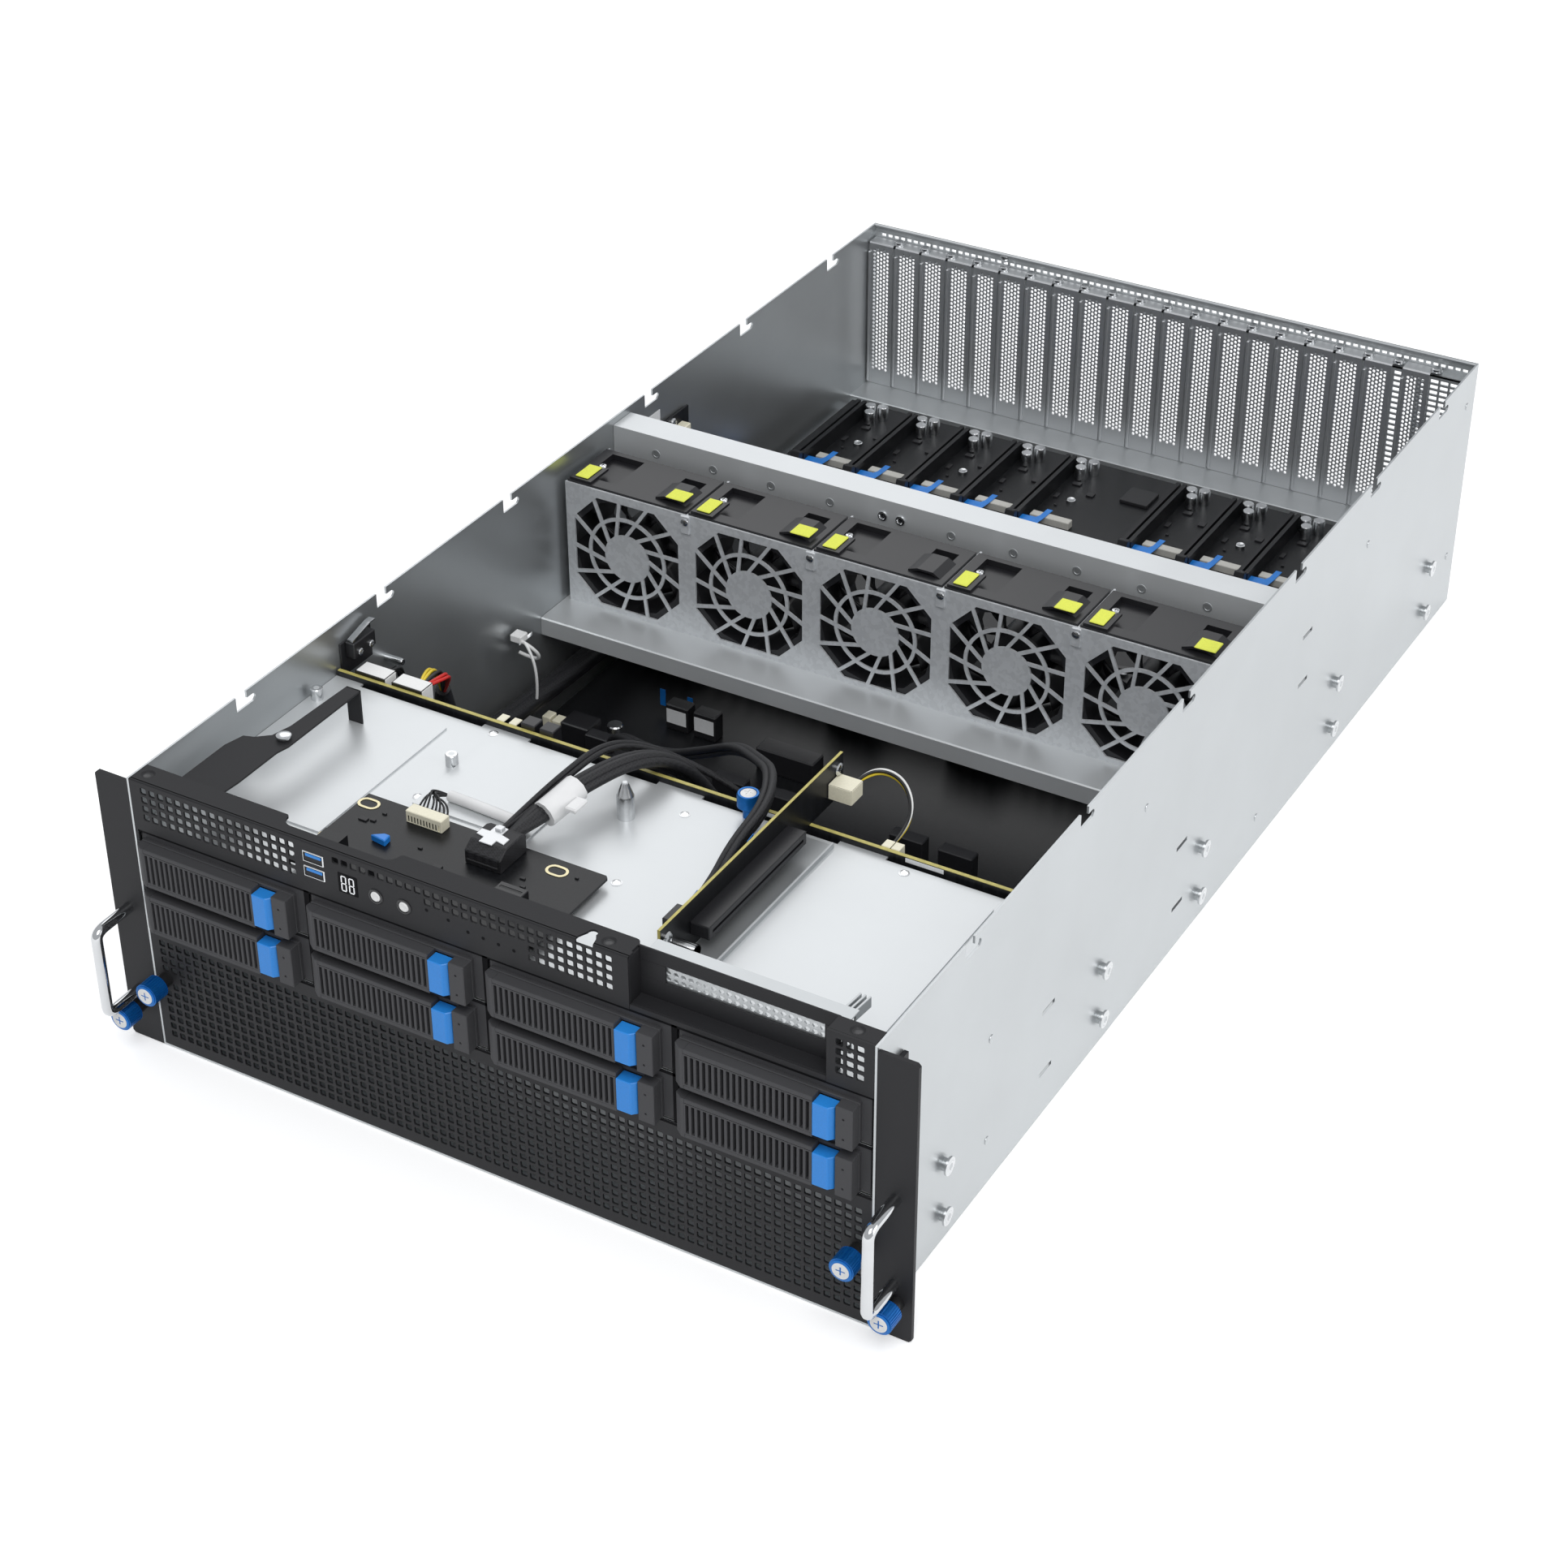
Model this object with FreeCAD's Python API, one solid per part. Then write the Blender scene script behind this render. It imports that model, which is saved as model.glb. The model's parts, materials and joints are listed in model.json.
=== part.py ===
"""Four-unit rack server with eight drive trays, five fan modules and a GPU bay.

Millimetres, +Z up. The origin is the centre of the chassis footprint on its underside.
The front faces -Y, and +X is to the right for someone who looks at the front.
Every function builds one named sub-part from the sizes in the first section.
"""
import FreeCAD, Part
import math
import os

from FreeCAD import Vector

# Chassis
CHASSIS_WIDTH = 439.5
CHASSIS_DEPTH = 800.0
CHASSIS_HEIGHT = 174.5
SHEET = 1.2
SEAT = 0.2
RUNNING = 0.3
FRONT = -CHASSIS_DEPTH / 2
WALL_X = CHASSIS_WIDTH / 2
INNER_X = WALL_X - SHEET
STUD_RADIUS = 3.5
STUD_LENGTH = 4.0
STUD_DEPTHS = (72.0, 254.5, 385.0, 587.0, 748.0)
STUD_HEIGHTS = (17.5, 50.5)
LEFT_STUD_SHIFT = 0.6
HOOK_DEPTHS = (88.0, 214.0, 340.0, 497.0, 614.0, 730.0)
HOOK_MOUTH = 9.0
HOOK_DROP = 9.0
HOOK_FOOT = 7.0
HOOK_FOOT_HEIGHT = 4.5
SIDE_SLOTS = ((180.5, 27.5), (180.5, 69.0), (348.0, 28.0), (348.0, 69.5), (520.0, 82.0), (520.0, 115.5))
SIDE_SLOT_LENGTH = 14.0
SIDE_SLOT_HEIGHT = 2.6

# GPU deck inside the chassis
SHELF_TOP = 50.4
SHELF_FRONT = 480.0
SHELF_REAR = 772.0

# Rear panel and expansion slots
SLOT_PITCH = 20.32
SLOT_COUNT = 19
SLOT_FIRST_X = -208.4
SLOT_EXTRA_GAP = 5.3
COVER_WIDTH = 18.4
COVER_SHEET = 1.0
COVER_FACE_DEPTH = 788.5
COVER_VENT_WIDTH = 9.5
COVER_VENT_BOTTOM = 80.0
TAB_SEAT_TOP = CHASSIS_HEIGHT - 10.1
COVER_VENT_TOP = TAB_SEAT_TOP - 8.4
LEDGE_TOP = 57.2
LEDGE_FRONT = 764.0
LEDGE_DROP = 6.2
WINDOW_WIDTH = 13.0
WINDOW_MARGIN = 7.0
REAR_HEM_DEPTH = 3.2
REAR_VENT_BOTTOM = CHASSIS_HEIGHT - 8.5
REAR_VENT_TOP = CHASSIS_HEIGHT - 5.5
REAR_VENT_COLUMNS = 8
REAR_VENT_MARGIN = 8.0
REAR_VENT_BAR = 6.0
PORT_COLUMNS = 4
PORT_ROWS = 2
PORT_BAR = 3.6
SIDE_VENTS = ((168.0, 174.0), (196.5, 210.0))
SLOT_SCREW_OFFSET = 11.8
SLOT_SCREW_RADIUS = 3.6
SLOT_SCREW_HEIGHT = 2.4
PORT_FIELD_WIDTH = 104.0
PORT_FIELD_HEIGHT = 30.0
PORT_FIELD_Z = 8.0

# Power supplies
SUPPLY_WIDTH = 73.5
SUPPLY_HEIGHT = 40.0
SUPPLY_LENGTH = 185.0
SUPPLY_PITCH = 76.5
SUPPLY_OUTER_X = 176.5
SUPPLY_PROUD = 0.5
SUPPLY_HANDLE_REACH = 18.0
SUPPLY_HANDLE_SPAN = (4.0, 34.0)
SUPPLY_HANDLE_BAR = 3.0
SUPPLY_HANDLE_DROP = 5.0
SUPPLY_INLET = (43.5, 67.5, 9.0, 27.0)
SUPPLY_INLET_DEPTH = 12.0
SUPPLY_VENT = (5.0, 38.75)
SUPPLY_VENT_COLUMNS = 3
SUPPLY_VENT_ROWS = 2
SUPPLY_VENT_BAR = 1.6
SUPPLY_TAB_SPAN = (57.5, 67.5)
SUPPLY_TAB_REACH = 8.0
SUPPLY_TAB_DROP = 6.0
SUPPLY_TAB_SHEET = 2.0

# Lower front grille
GRILLE_TOP = CHASSIS_HEIGHT - 93.5
GRILLE_FIELD_LEFT = -212.0
GRILLE_FIELD_RIGHT = 212.0
GRILLE_FIELD_BOTTOM = 7.2
GRILLE_FIELD_TOP = GRILLE_TOP - 7.2
GRILLE_COLUMNS = 16
GRILLE_ROWS = 3
GRILLE_BAR = 2.6

# Front panel with buttons and ports
PANEL_BOTTOM = CHASSIS_HEIGHT - 31.1
PANEL_MAIN_RIGHT = 85.0
PANEL_SIDE_LEFT = 193.0
PANEL_FLANGE = 15.0
PANEL_SIDE_FLANGE = 12.0
PANEL_SCOOP = (-126.6, -55.0, 7.5)
PANEL_SCOOP_SLOPE = 6.0
PANEL_SILL = 3.0
BAY_DEPTH = 11.0
BAY_WINDOW_LEFT = 99.0
BAY_WINDOW_RIGHT = 186.0
BAY_WINDOW_BOTTOM = CHASSIS_HEIGHT - 17.5
BAY_WINDOW_TOP = CHASSIS_HEIGHT - 7.8
VENT_SIZE = 8.4
VENT_BAR = 2.4
VENT_BOTTOM = CHASSIS_HEIGHT - 24.5
VENT_ROWS = 2
VENT_FIELDS_LEFT = (-212.5, 54.0)
VENT_FIELDS_COLUMNS = (7, 2)
SIDE_VENT_INSET = 6.0
SIDE_VENT_WIDTH = 12.6
USB_X = -101.0
USB_Z = CHASSIS_HEIGHT - 12.5
USB_WIDTH = 14.0
USB_HEIGHT = 17.0
DISPLAY_X = -80.0
DISPLAY_Z = CHASSIS_HEIGHT - 16.5
DISPLAY_WIDTH = 11.0
DISPLAY_HEIGHT = 9.0
BUTTON_RADIUS = 3.0
BUTTON_CLEARANCE = 0.3
BUTTON_PROUD = 0.8
BUTTON_LENGTH = 8.0
BUTTON_SIDES = 10
POWER_BUTTON_X = -46.2
LOCATE_BUTTON_X = -63.4
BUTTON_Z = CHASSIS_HEIGHT - 18.5
BUTTON_FLANGE = 1.2

# Drive cage
CAGE_SHEET = 1.0
DECK_TOP = CHASSIS_HEIGHT - 31.3
CAGE_FRONT = 1.4
CAGE_DEPTH = 172.6
CAGE_COLUMNS = 4
CAGE_ROWS = 2
ROW_HEIGHT = 30.4
EMBOSS_HEIGHT = 1.0
EMBOSSES = ((-206.0, -133.0, 44.0, 158.0), (-107.0, -36.0, 90.0, 158.0), (106.0, 200.0, 40.0, 158.0))
DECK_NOTCHES = ((-200.0, -118.0), (-88.0, -6.0), (22.0, 104.0), (132.0, 210.0))
DECK_NOTCH_DEPTH = 3.0
DECK_POSTS = ((-110.4, 131.0), (-213.0, 148.0))
DECK_POST_RADIUS = 3.2
DECK_POST_HEIGHT = 7.0
GUIDE_PIN_PLACE = (-3.5, 136.0)
GUIDE_PIN_RADIUS = 4.5
GUIDE_PIN_TIP_RADIUS = 1.4
GUIDE_PIN_SHOULDER = 14.0
GUIDE_PIN_HEIGHT = 22.0
GUIDE_PIN_SIDES = 8
DECK_KNOB_PLACE = (51.5, CAGE_DEPTH - 4.1)
DECK_KNOB_RADIUS = 6.0
DECK_KNOB_STEM_RADIUS = 3.0
DECK_KNOB_STEM = 6.8
DECK_KNOB_HEIGHT = 8.0
ARM_LEFT = -190.0
ARM_RIGHT = -177.0
ARM_SPAN = (35.0, 139.0)
ARM_TOP = CHASSIS_HEIGHT - 9.0
ARM_SCREW_DEPTH = 80.0
ARM_SCREW_RADIUS = 3.6
ARM_SCREW_HEIGHT = 3.0

# Drive trays
TRAY_BODY_WIDTH = 105.0
TRAY_HEIGHT = 27.4
TRAY_FACE_WIDTH = 98.5
TRAY_FACE_SETBACK = 3.2
TRAY_FACE_HEIGHT = 24.2
TRAY_BEZEL = 6.0
TRAY_RAIL = 1.6
DRIVE_WIDTH = 101.6
DRIVE_LENGTH = 147.0
DRIVE_HEIGHT = 25.4
LEVER_THICKNESS = 7.0
LEVER_LENGTH = 77.0
LEVER_WINDOWS = 6
LEVER_RAIL = 2.2
LEVER_SLAT = 1.6
LEVER_CHAMFER = 5.0
LATCH_WIDTH = 11.5
LATCH_GAP = 0.4
LATCH_POCKET = 4.0

# Backplane behind the drives
BOARD = 2.4
BACKPLANE_TOP = DECK_TOP + 3.4
BACKPLANE_RIGHT = 205.0
DRIVE_CONNECTOR_WIDTH = 34.0
DRIVE_CONNECTOR_HEIGHT = 7.0
DRIVE_CONNECTOR_DEPTH = 4.0
DRIVE_CONNECTOR_RISE = 4.0

# Front port board on the deck
STANDOFF = 4.0
STANDOFF_RADIUS = 2.6
THIN_BOARD = 1.6
PORT_BOARD_LEFT = -127.4
PORT_BOARD_RIGHT = 22.0
PORT_BOARD_FRONT = 12.0
PORT_BOARD_REAR = 80.3
PORT_BOARD_CHAMFER = 1.5
PORT_BOARD_POSTS = ((-119.0, 38.0), (-119.0, 72.0), (12.0, 38.0), (12.0, 72.0))
USB_DEPTH = 20.0
DISPLAY_DEPTH = 16.0
HEADER_BOX = (-95.0, -75.0, 69.0, 76.0)
HEADER_HEIGHT = 7.0
SOCKET_BOX = (-16.0, 0.0, 34.0, 41.0)
SMALL_SOCKET_HEIGHT = 8.0

# Riser and low-profile card bay
RISER_X = 84.0
RISER_FRONT = 28.0
RISER_REAR = 208.0
RISER_TOP = CHASSIS_HEIGHT - 2.5
RISER_SLOT_FRONT = 55.0
RISER_SLOT_LENGTH = 95.0
RISER_SLOT_Z = CHASSIS_HEIGHT - 21.5
RISER_STAND_REACH = 12.0
RISER_STAND_HEIGHT = 16.0
RISER_STAND_FRONT = 70.0
CAPACITOR_RADIUS = 4.0
CAPACITOR_SIDES = 8
CAPACITOR_LENGTH = 10.0
CAPACITOR_DEPTHS = (36.0, 45.0)
RISER_PLUG_REACH = 14.0
RISER_PLUG_LENGTH = 12.0
RISER_PLUG_BOTTOM = RISER_SLOT_Z - 1.0
RISER_PLUG_TOP = RISER_SLOT_Z + 8.0
SIDE_PLUG_REACH = 11.0
SIDE_PLUG_SPAN = (50.0, 64.0)
SIDE_PLUG_BOTTOM = RISER_SLOT_Z - 3.0
BAY_STRIP_LEFT = 89.0
BAY_STRIP_RIGHT = 199.0
BAY_STRIP_DROP = 4.0
BAY_STRIP_DEPTH = 9.0
BAY_CLIP_WIDTH = 8.0
BAY_CLIP_DEPTH = 22.0
BAY_CLIP_HEIGHT = 6.8
BAY_HOLES = 12
BAY_HOLE_BAR = 3.0
BAY_HOLE_MARGIN_X = 2.0
BAY_HOLE_MARGIN_Z = 1.0
BASE_PLATE_RIGHT = 104.0
BASE_PLATE_FRONT = 50.0
BASE_PLATE_REAR = 166.0
BASE_PLATE_LIP = 2.0
SLOT_BODY_WIDTH = 7.5
SLOT_BODY_HEIGHT = 11.0
SLOT_GROOVE = 1.8
SLOT_FLOOR = 3.0

# Fan wall
FAN_COUNT = 5
FAN_PITCH = 86.0
FAN_FLOOR = CHASSIS_HEIGHT - 97.5
FAN_AXIS_Z = FAN_FLOOR + 40.5
FAN_WALL_DEPTH = 400.0
FAN_WALL_TOP = FAN_FLOOR + 83.0
GUARD_HALF = 38.2
GUARD_CORNER = 13.0
GUARD_HUB_RADIUS = 15.8
GUARD_RING_RADIUS = 27.6
GUARD_BAR = 2.2
GUARD_SPOKES = 13
GUARD_SWIRL = 9.0
FAN_BEAM_FRONT = 372.0
FAN_BEAM_DROP = 12.0
FAN_BAY_DEPTH = 50.0
CROSS_BEAM_FRONT = 460.0
CROSS_BEAM_DEPTH = 20.0
CROSS_BEAM_TOP = CHASSIS_HEIGHT - 4.5
CROSS_BEAM_FACE = 22.0

# Fan modules
MODULE_WIDTH = 84.2
MODULE_DEPTH = 44.0
MODULE_HEIGHT = 84.0
BORE_RADIUS = 38.4
BORE_SIDES = 12
HUB_SIDES = 7
ROTOR_RADIUS = 36.8
ROTOR_HUB_RADIUS = 18.0
ROTOR_DEPTH = 24.0
ROTOR_BLADES = HUB_SIDES
BLADE_PITCH_DEG = 34.0
BLADE_THICKNESS = 1.8
ROOT_CHORD = 17.0
TIP_CHORD = 26.0
TIP_REAR_SHARE = 0.6
MOTOR_DEPTH = 8.0
STRUT_WIDTH = 3.0
STRUT_ANGLES = (20, 140, 260)
RECESS_DROP = 4.0
RECESS_FRONT = 8.0
LEFT_RECESS = (7.0, 30.0, 4.0)
RIGHT_RECESS = (62.0, 77.0, 8.0)
STRUT_DEPTH = 3.0
FLAT_TAB_PLACE = (1.4, 0.5)
CURVED_TAB_LEFT = 59.5
CURVED_TAB_FRONT = 5.5
CURVED_TAB_OUTER = ((0.0, 0.0), (0.0, 1.0), (6.0, 3.0), (16.0, 3.0), (21.0, 0.0))
CURVED_TAB_INNER = ((19.0, 0.0), (15.0, 1.6), (7.0, 1.6), (2.0, 0.0))
TAB_WIDTH = 15.0
TAB_DEPTH = 20.0
TAB_SHEET = 1.6

# GPU board
GPU_BOARD_BOTTOM = 54.9
GPU_BOARD_FRONT = 500.0
GPU_BOARD_REAR = 758.0
GPU_BOARD_HALF = 213.0
GPU_SLOT_FIRST_X = -196.5
GPU_SLOT_STEPS = (0, 2, 4, 6, 8, 12, 14, 16)
GPU_SLOT_FRONT = 653.0
GPU_SLOT_LENGTH = 89.0
FEED_OFFSET = 21.0
FEED_WIDTH = 28.0
FEED_FRONT = 664.0
FEED_DEPTH = 6.0
FEED_HEIGHT = 5.0
GPU_POST_INSET = 8.0

# Motherboard, coolers and memory
MAIN_BOARD_BOTTOM = 7.2
MAIN_BOARD_FRONT = 186.0
MAIN_BOARD_REAR = 590.0
MAIN_BOARD_HALF = 212.0
COOLER_WIDTH = 92.0
COOLER_LENGTH = 118.0
COOLER_BASE = 5.0
COOLER_FIN_HEIGHT = 22.0
COOLER_FINS = 9
COOLER_FIN = 1.6
COOLER_X = 108.0
COOLER_FRONT = 455.0
MEMORY_LENGTH = 133.35
MEMORY_HEIGHT = 31.0
MEMORY_THICKNESS = 4.0
MEMORY_PITCH = 9.5
MEMORY_PER_BANK = 4
MEMORY_GAP = 4.0
MEMORY_FRONT = 447.0
MAIN_POST_INSET = 9.0

# Rack ears, handles and thumbscrews
EAR_OUTER_X = WALL_X + 21.55
EAR_GAP = 0.2
EAR_SHEET = 2.4
EAR_HEIGHT = CHASSIS_HEIGHT - 2.5
EAR_FLANGE_DEPTH = 26.0
EAR_CORNER = 1.5
EAR_FLANGE_MARGIN = 17.0
RACK_HOLE_X = WALL_X + 12.8
RACK_HOLE_Z = 23.0
HANDLE_X = WALL_X + 11.25
HANDLE_LOW_Z = 34.0
HANDLE_HIGH_Z = 88.0
HANDLE_RADIUS = 3.2
HANDLE_REACH = 30.0
HANDLE_BEND = 10.0
HANDLE_SIDES = 6
THUMB_HEAD_RADIUS = 6.8
THUMB_HEAD_LENGTH = 10.0
THUMB_NECK_RADIUS = 4.2
THUMB_NECK_LENGTH = 7.0
THUMB_SIDES = 10
THUMB_WAIST_RADIUS = 1.9
THUMB_SHAFT_RADIUS = 2.4
THUMB_THREAD_LENGTH = 8.0
PANEL_THUMB_X = WALL_X - 8.25
PANEL_THUMB_Z = 47.5

# Cover switch on the left wall
SWITCH_DEPTH = CAGE_DEPTH + 8.4
SWITCH_LENGTH = 20.0
SWITCH_THICKNESS = 6.4
SWITCH_BOTTOM = CHASSIS_HEIGHT - 23.5
SWITCH_TOP = CHASSIS_HEIGHT - 13.5
SWITCH_LEVER_SHEET = 0.6
SWITCH_LEVER_RISE = 4.4
SWITCH_PLATE_MARGIN = 4.0
SWITCH_LEVER_INSET = 1.2
SWITCH_LEVER_END = 2.0

# Power board in front of the supplies
POWER_BOARD_TOP = 48.0
POWER_BOARD_INNER = 60.0
POWER_CONNECTOR_DEPTH = 5.0
POWER_CONNECTOR_HEIGHTS = (8.0, 20.0)
POWER_BOARD_GAP = 1.0
POWER_INLET_MARGIN = 6.0

# Cables, each as a radius and a route of (x, depth from the front, z)
CABLE_BEND_SHARE = 0.45
CABLE_SIDES = 4
SOCKET_HEIGHT = 12.0
PLUG_HEIGHT = 8.0
SOCKET_HALF_WIDTH = 9.0
SOCKET_HALF_DEPTH = 6.0
PORT_PLUG = (-43.0, -21.0, 46.0, 70.0)
PORT_PLUG_HEIGHT = 12.2
POWER_SOCKETS_X = (-197.0, -172.0)
POWER_SOCKET_HALF_WIDTH = 10.0
POWER_SOCKET_DEPTH = 11.0
POWER_SOCKET_BOTTOM = BACKPLANE_TOP - 12.0
POWER_SOCKET_TOP = BACKPLANE_TOP + 2.0
WIRE_SOCKETS_X = (-109.5, -101.5, 129.0)
WIRE_SOCKET_HALF_WIDTH = 2.5
WIRE_SOCKET_DEPTH = 6.4
WIRE_SOCKET_HEIGHT = 6.0
RISER_PLUG_DEPTH = 192.0
SOCKET_TOP = MAIN_BOARD_BOTTOM + BOARD + SOCKET_HEIGHT + PLUG_HEIGHT
BEHIND = CAGE_DEPTH + BOARD
POWER_PLUG_FACE = BEHIND + POWER_SOCKET_DEPTH
WIRE_PLUG_FACE = BEHIND + WIRE_SOCKET_DEPTH
RISER_PLUG_FACE = RISER_PLUG_DEPTH + RISER_PLUG_LENGTH
SIDE_PLUG_FACE = SIDE_PLUG_SPAN[1]
MAIN_ROUTE_RADIUS = 5.0
MAIN_ROUTE = (
    (-29, 70, DECK_TOP + 11.6),
    (-29, 94, DECK_TOP + 11.6),
    (-26, 118, DECK_TOP + 17.8),
    (-15, BEHIND - 15, DECK_TOP + 19.8),
    (-5, BEHIND + 12, DECK_TOP + 4.8),
    (2, BEHIND + 35, DECK_TOP - 27),
    (1, BEHIND + 59, DECK_TOP - 69),
    (-3, BEHIND + 87, SOCKET_TOP + 18.4),
    (-3, BEHIND + 87, SOCKET_TOP),
)
STRAND_ROUTE_RADIUS = 2.6
STRAND_ROUTE = (
    (-37.8, 70, DECK_TOP + 11.6),
    (-37.8, 96, DECK_TOP + 11.6),
    (-34, 122, DECK_TOP + 20.3),
    (-32, BEHIND - 15, DECK_TOP + 22.8),
    (-27, BEHIND + 15, DECK_TOP + 6.8),
    (-10, BEHIND + 35, DECK_TOP - 11),
    (12, BEHIND + 47, DECK_TOP - 27),
    (26, BEHIND + 65, DECK_TOP - 55),
    (31, BEHIND + 97, SOCKET_TOP + 18.4),
    (31, BEHIND + 97, SOCKET_TOP),
)
RISER_ROUTE_RADIUS = 4.0
RISER_ROUTE = (
    (78, SIDE_PLUG_FACE, RISER_SLOT_Z + 4),
    (78, SIDE_PLUG_FACE + 24, RISER_SLOT_Z + 4),
    (73, 118, RISER_SLOT_Z + 10),
    (72, BEHIND - 23, RISER_SLOT_Z + 14),
    (58, BEHIND + 7, RISER_SLOT_Z + 12),
    (34, BEHIND + 35, DECK_TOP + 5),
    (2, BEHIND + 65, DECK_TOP - 13),
    (-36, BEHIND + 93, DECK_TOP - 45),
    (-84, BEHIND + 119, DECK_TOP - 79),
    (-140, BEHIND + 151, SOCKET_TOP + 16.4),
    (-140, BEHIND + 151, SOCKET_TOP),
)
POWER_ROUTE_RADIUS = 3.5
POWER_ROUTE = (
    (POWER_SOCKETS_X[1], POWER_PLUG_FACE, DECK_TOP - 2.2),
    (POWER_SOCKETS_X[1], POWER_PLUG_FACE + 14, DECK_TOP - 2.2),
    (-178, POWER_PLUG_FACE + 32, DECK_TOP - 11),
    (-190, POWER_PLUG_FACE + 46, DECK_TOP - 45),
    (-199, POWER_PLUG_FACE + 64, DECK_TOP - 83),
    (-205, POWER_PLUG_FACE + 104, 38),
    (-206, 360, 32),
    (-204, 460, 31),
    (-204, 590, 31),
)
SECOND_POWER_RADIUS = 2.6
SECOND_POWER_ROUTE = (
    (POWER_SOCKETS_X[0], POWER_PLUG_FACE, DECK_TOP - 2.2),
    (POWER_SOCKETS_X[0], POWER_PLUG_FACE + 12, DECK_TOP - 2.2),
    (-204, POWER_PLUG_FACE + 26, DECK_TOP - 13),
    (-210, POWER_PLUG_FACE + 36, DECK_TOP - 45),
    (-213, POWER_PLUG_FACE + 58, DECK_TOP - 85),
    (-213.5, POWER_PLUG_FACE + 100, 36),
    (-214, 360, 30.5),
    (-212.5, 460, 30),
    (-212.5, 590, 30),
)
WIRE_RADIUS = 1.6
WIRE_ROUTE = (
    (94, RISER_PLUG_FACE, RISER_SLOT_Z + 3),
    (94, RISER_PLUG_FACE + 10, RISER_SLOT_Z + 3),
    (101, RISER_PLUG_FACE + 19, RISER_SLOT_Z + 4),
    (114, RISER_PLUG_FACE + 18, RISER_SLOT_Z + 2),
    (125, RISER_PLUG_FACE + 8, RISER_SLOT_Z - 4),
    (WIRE_SOCKETS_X[2], RISER_PLUG_FACE - 6, DECK_TOP + 0.4),
    (WIRE_SOCKETS_X[2], WIRE_PLUG_FACE, DECK_TOP + 0.4),
)


def block(x0, x1, d0, d1, z0, z1):
    """Box between two x, two depths from the front and two heights."""
    return Part.makeBox(x1 - x0, d1 - d0, z1 - z0, Vector(x0, FRONT + d0, z0))


def plate_xz(points, d0, d1):
    """Polygon of (x, z) points, pushed from depth d0 to depth d1."""
    corners = [Vector(x, FRONT + d0, z) for x, z in points]
    wire = Part.makePolygon(corners + corners[:1])
    return Part.Face(wire).extrude(Vector(0, d1 - d0, 0))


def plate_xd(points, z0, z1):
    """Polygon of (x, depth) points, pushed from height z0 to z1."""
    corners = [Vector(x, FRONT + d, z0) for x, d in points]
    wire = Part.makePolygon(corners + corners[:1])
    return Part.Face(wire).extrude(Vector(0, 0, z1 - z0))


def plate_dz(points, x0, x1):
    """Polygon of (depth, z) points, pushed from x0 to x1."""
    corners = [Vector(x0, FRONT + d, z) for d, z in points]
    wire = Part.makePolygon(corners + corners[:1])
    return Part.Face(wire).extrude(Vector(x1 - x0, 0, 0))


def pin(radius, length, x, d, z, direction):
    """Round bar from a point along a direction."""
    return Part.makeCylinder(radius, length, Vector(x, FRONT + d, z), direction)


def polygon_points(radius, sides, x, z, start_deg=0.0):
    """Corners of a regular polygon in the x-z plane."""
    step = 2 * math.pi / sides
    turn = math.radians(start_deg)
    angles = [turn + i * step for i in range(sides)]
    return [(x + radius * math.cos(angle), z + radius * math.sin(angle)) for angle in angles]


def fuse(shapes):
    """Join solids that touch into one."""
    result = shapes[0].multiFuse(shapes[1:]) if len(shapes) > 1 else shapes[0]
    return result.removeSplitter()


def cut(shape, tools):
    """Take a list of tools away from a shape."""
    return shape.cut(Part.makeCompound(tools)).removeSplitter()


def group(shapes):
    """Separate solids that share one node."""
    return Part.makeCompound(shapes)


def mirror_x(shape):
    """Copy of a shape on the other side of the centre plane."""
    return shape.mirror(Vector(0, 0, 0), Vector(1, 0, 0))


def openings_grid(left, right, bottom, top, columns, rows, bar, d0, d1):
    """Cutting blocks for a field of square-cornered openings with bars between them."""
    pitch_x = (right - left + bar) / columns
    pitch_z = (top - bottom + bar) / rows
    tools = []
    for column in range(columns):
        for row in range(rows):
            x = left + column * pitch_x
            z = bottom + row * pitch_z
            tools.append(block(x, x + pitch_x - bar, d0, d1, z, z + pitch_z - bar))
    return tools


def hook_notch(depth):
    """Opening in both wall tops where a cover tab drops in and slides to the rear."""
    top = CHASSIS_HEIGHT
    mouth_rear = depth + HOOK_MOUTH
    foot_rear = mouth_rear + HOOK_FOOT
    floor = top - HOOK_DROP
    foot_top = floor + HOOK_FOOT_HEIGHT
    points = [(depth, top + 1), (depth, floor), (foot_rear - 1.5, floor), (foot_rear, floor + 1.5)]
    points += [(foot_rear, foot_top - 1.5), (foot_rear - 1.5, foot_top)]
    points += [(mouth_rear, foot_top), (mouth_rear, top + 1)]
    return plate_dz(points, -WALL_X - 1, WALL_X + 1)


def rail_studs():
    """Round studs on both outer sides that carry the rack slides."""
    studs = []
    for depth in STUD_DEPTHS:
        for height in STUD_HEIGHTS:
            studs.append(pin(STUD_RADIUS, STUD_LENGTH, WALL_X, depth, height, Vector(1, 0, 0)))
            left_depth = depth + LEFT_STUD_SHIFT
            studs.append(pin(STUD_RADIUS, STUD_LENGTH, -WALL_X, left_depth, height, Vector(-1, 0, 0)))
    return studs


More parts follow.
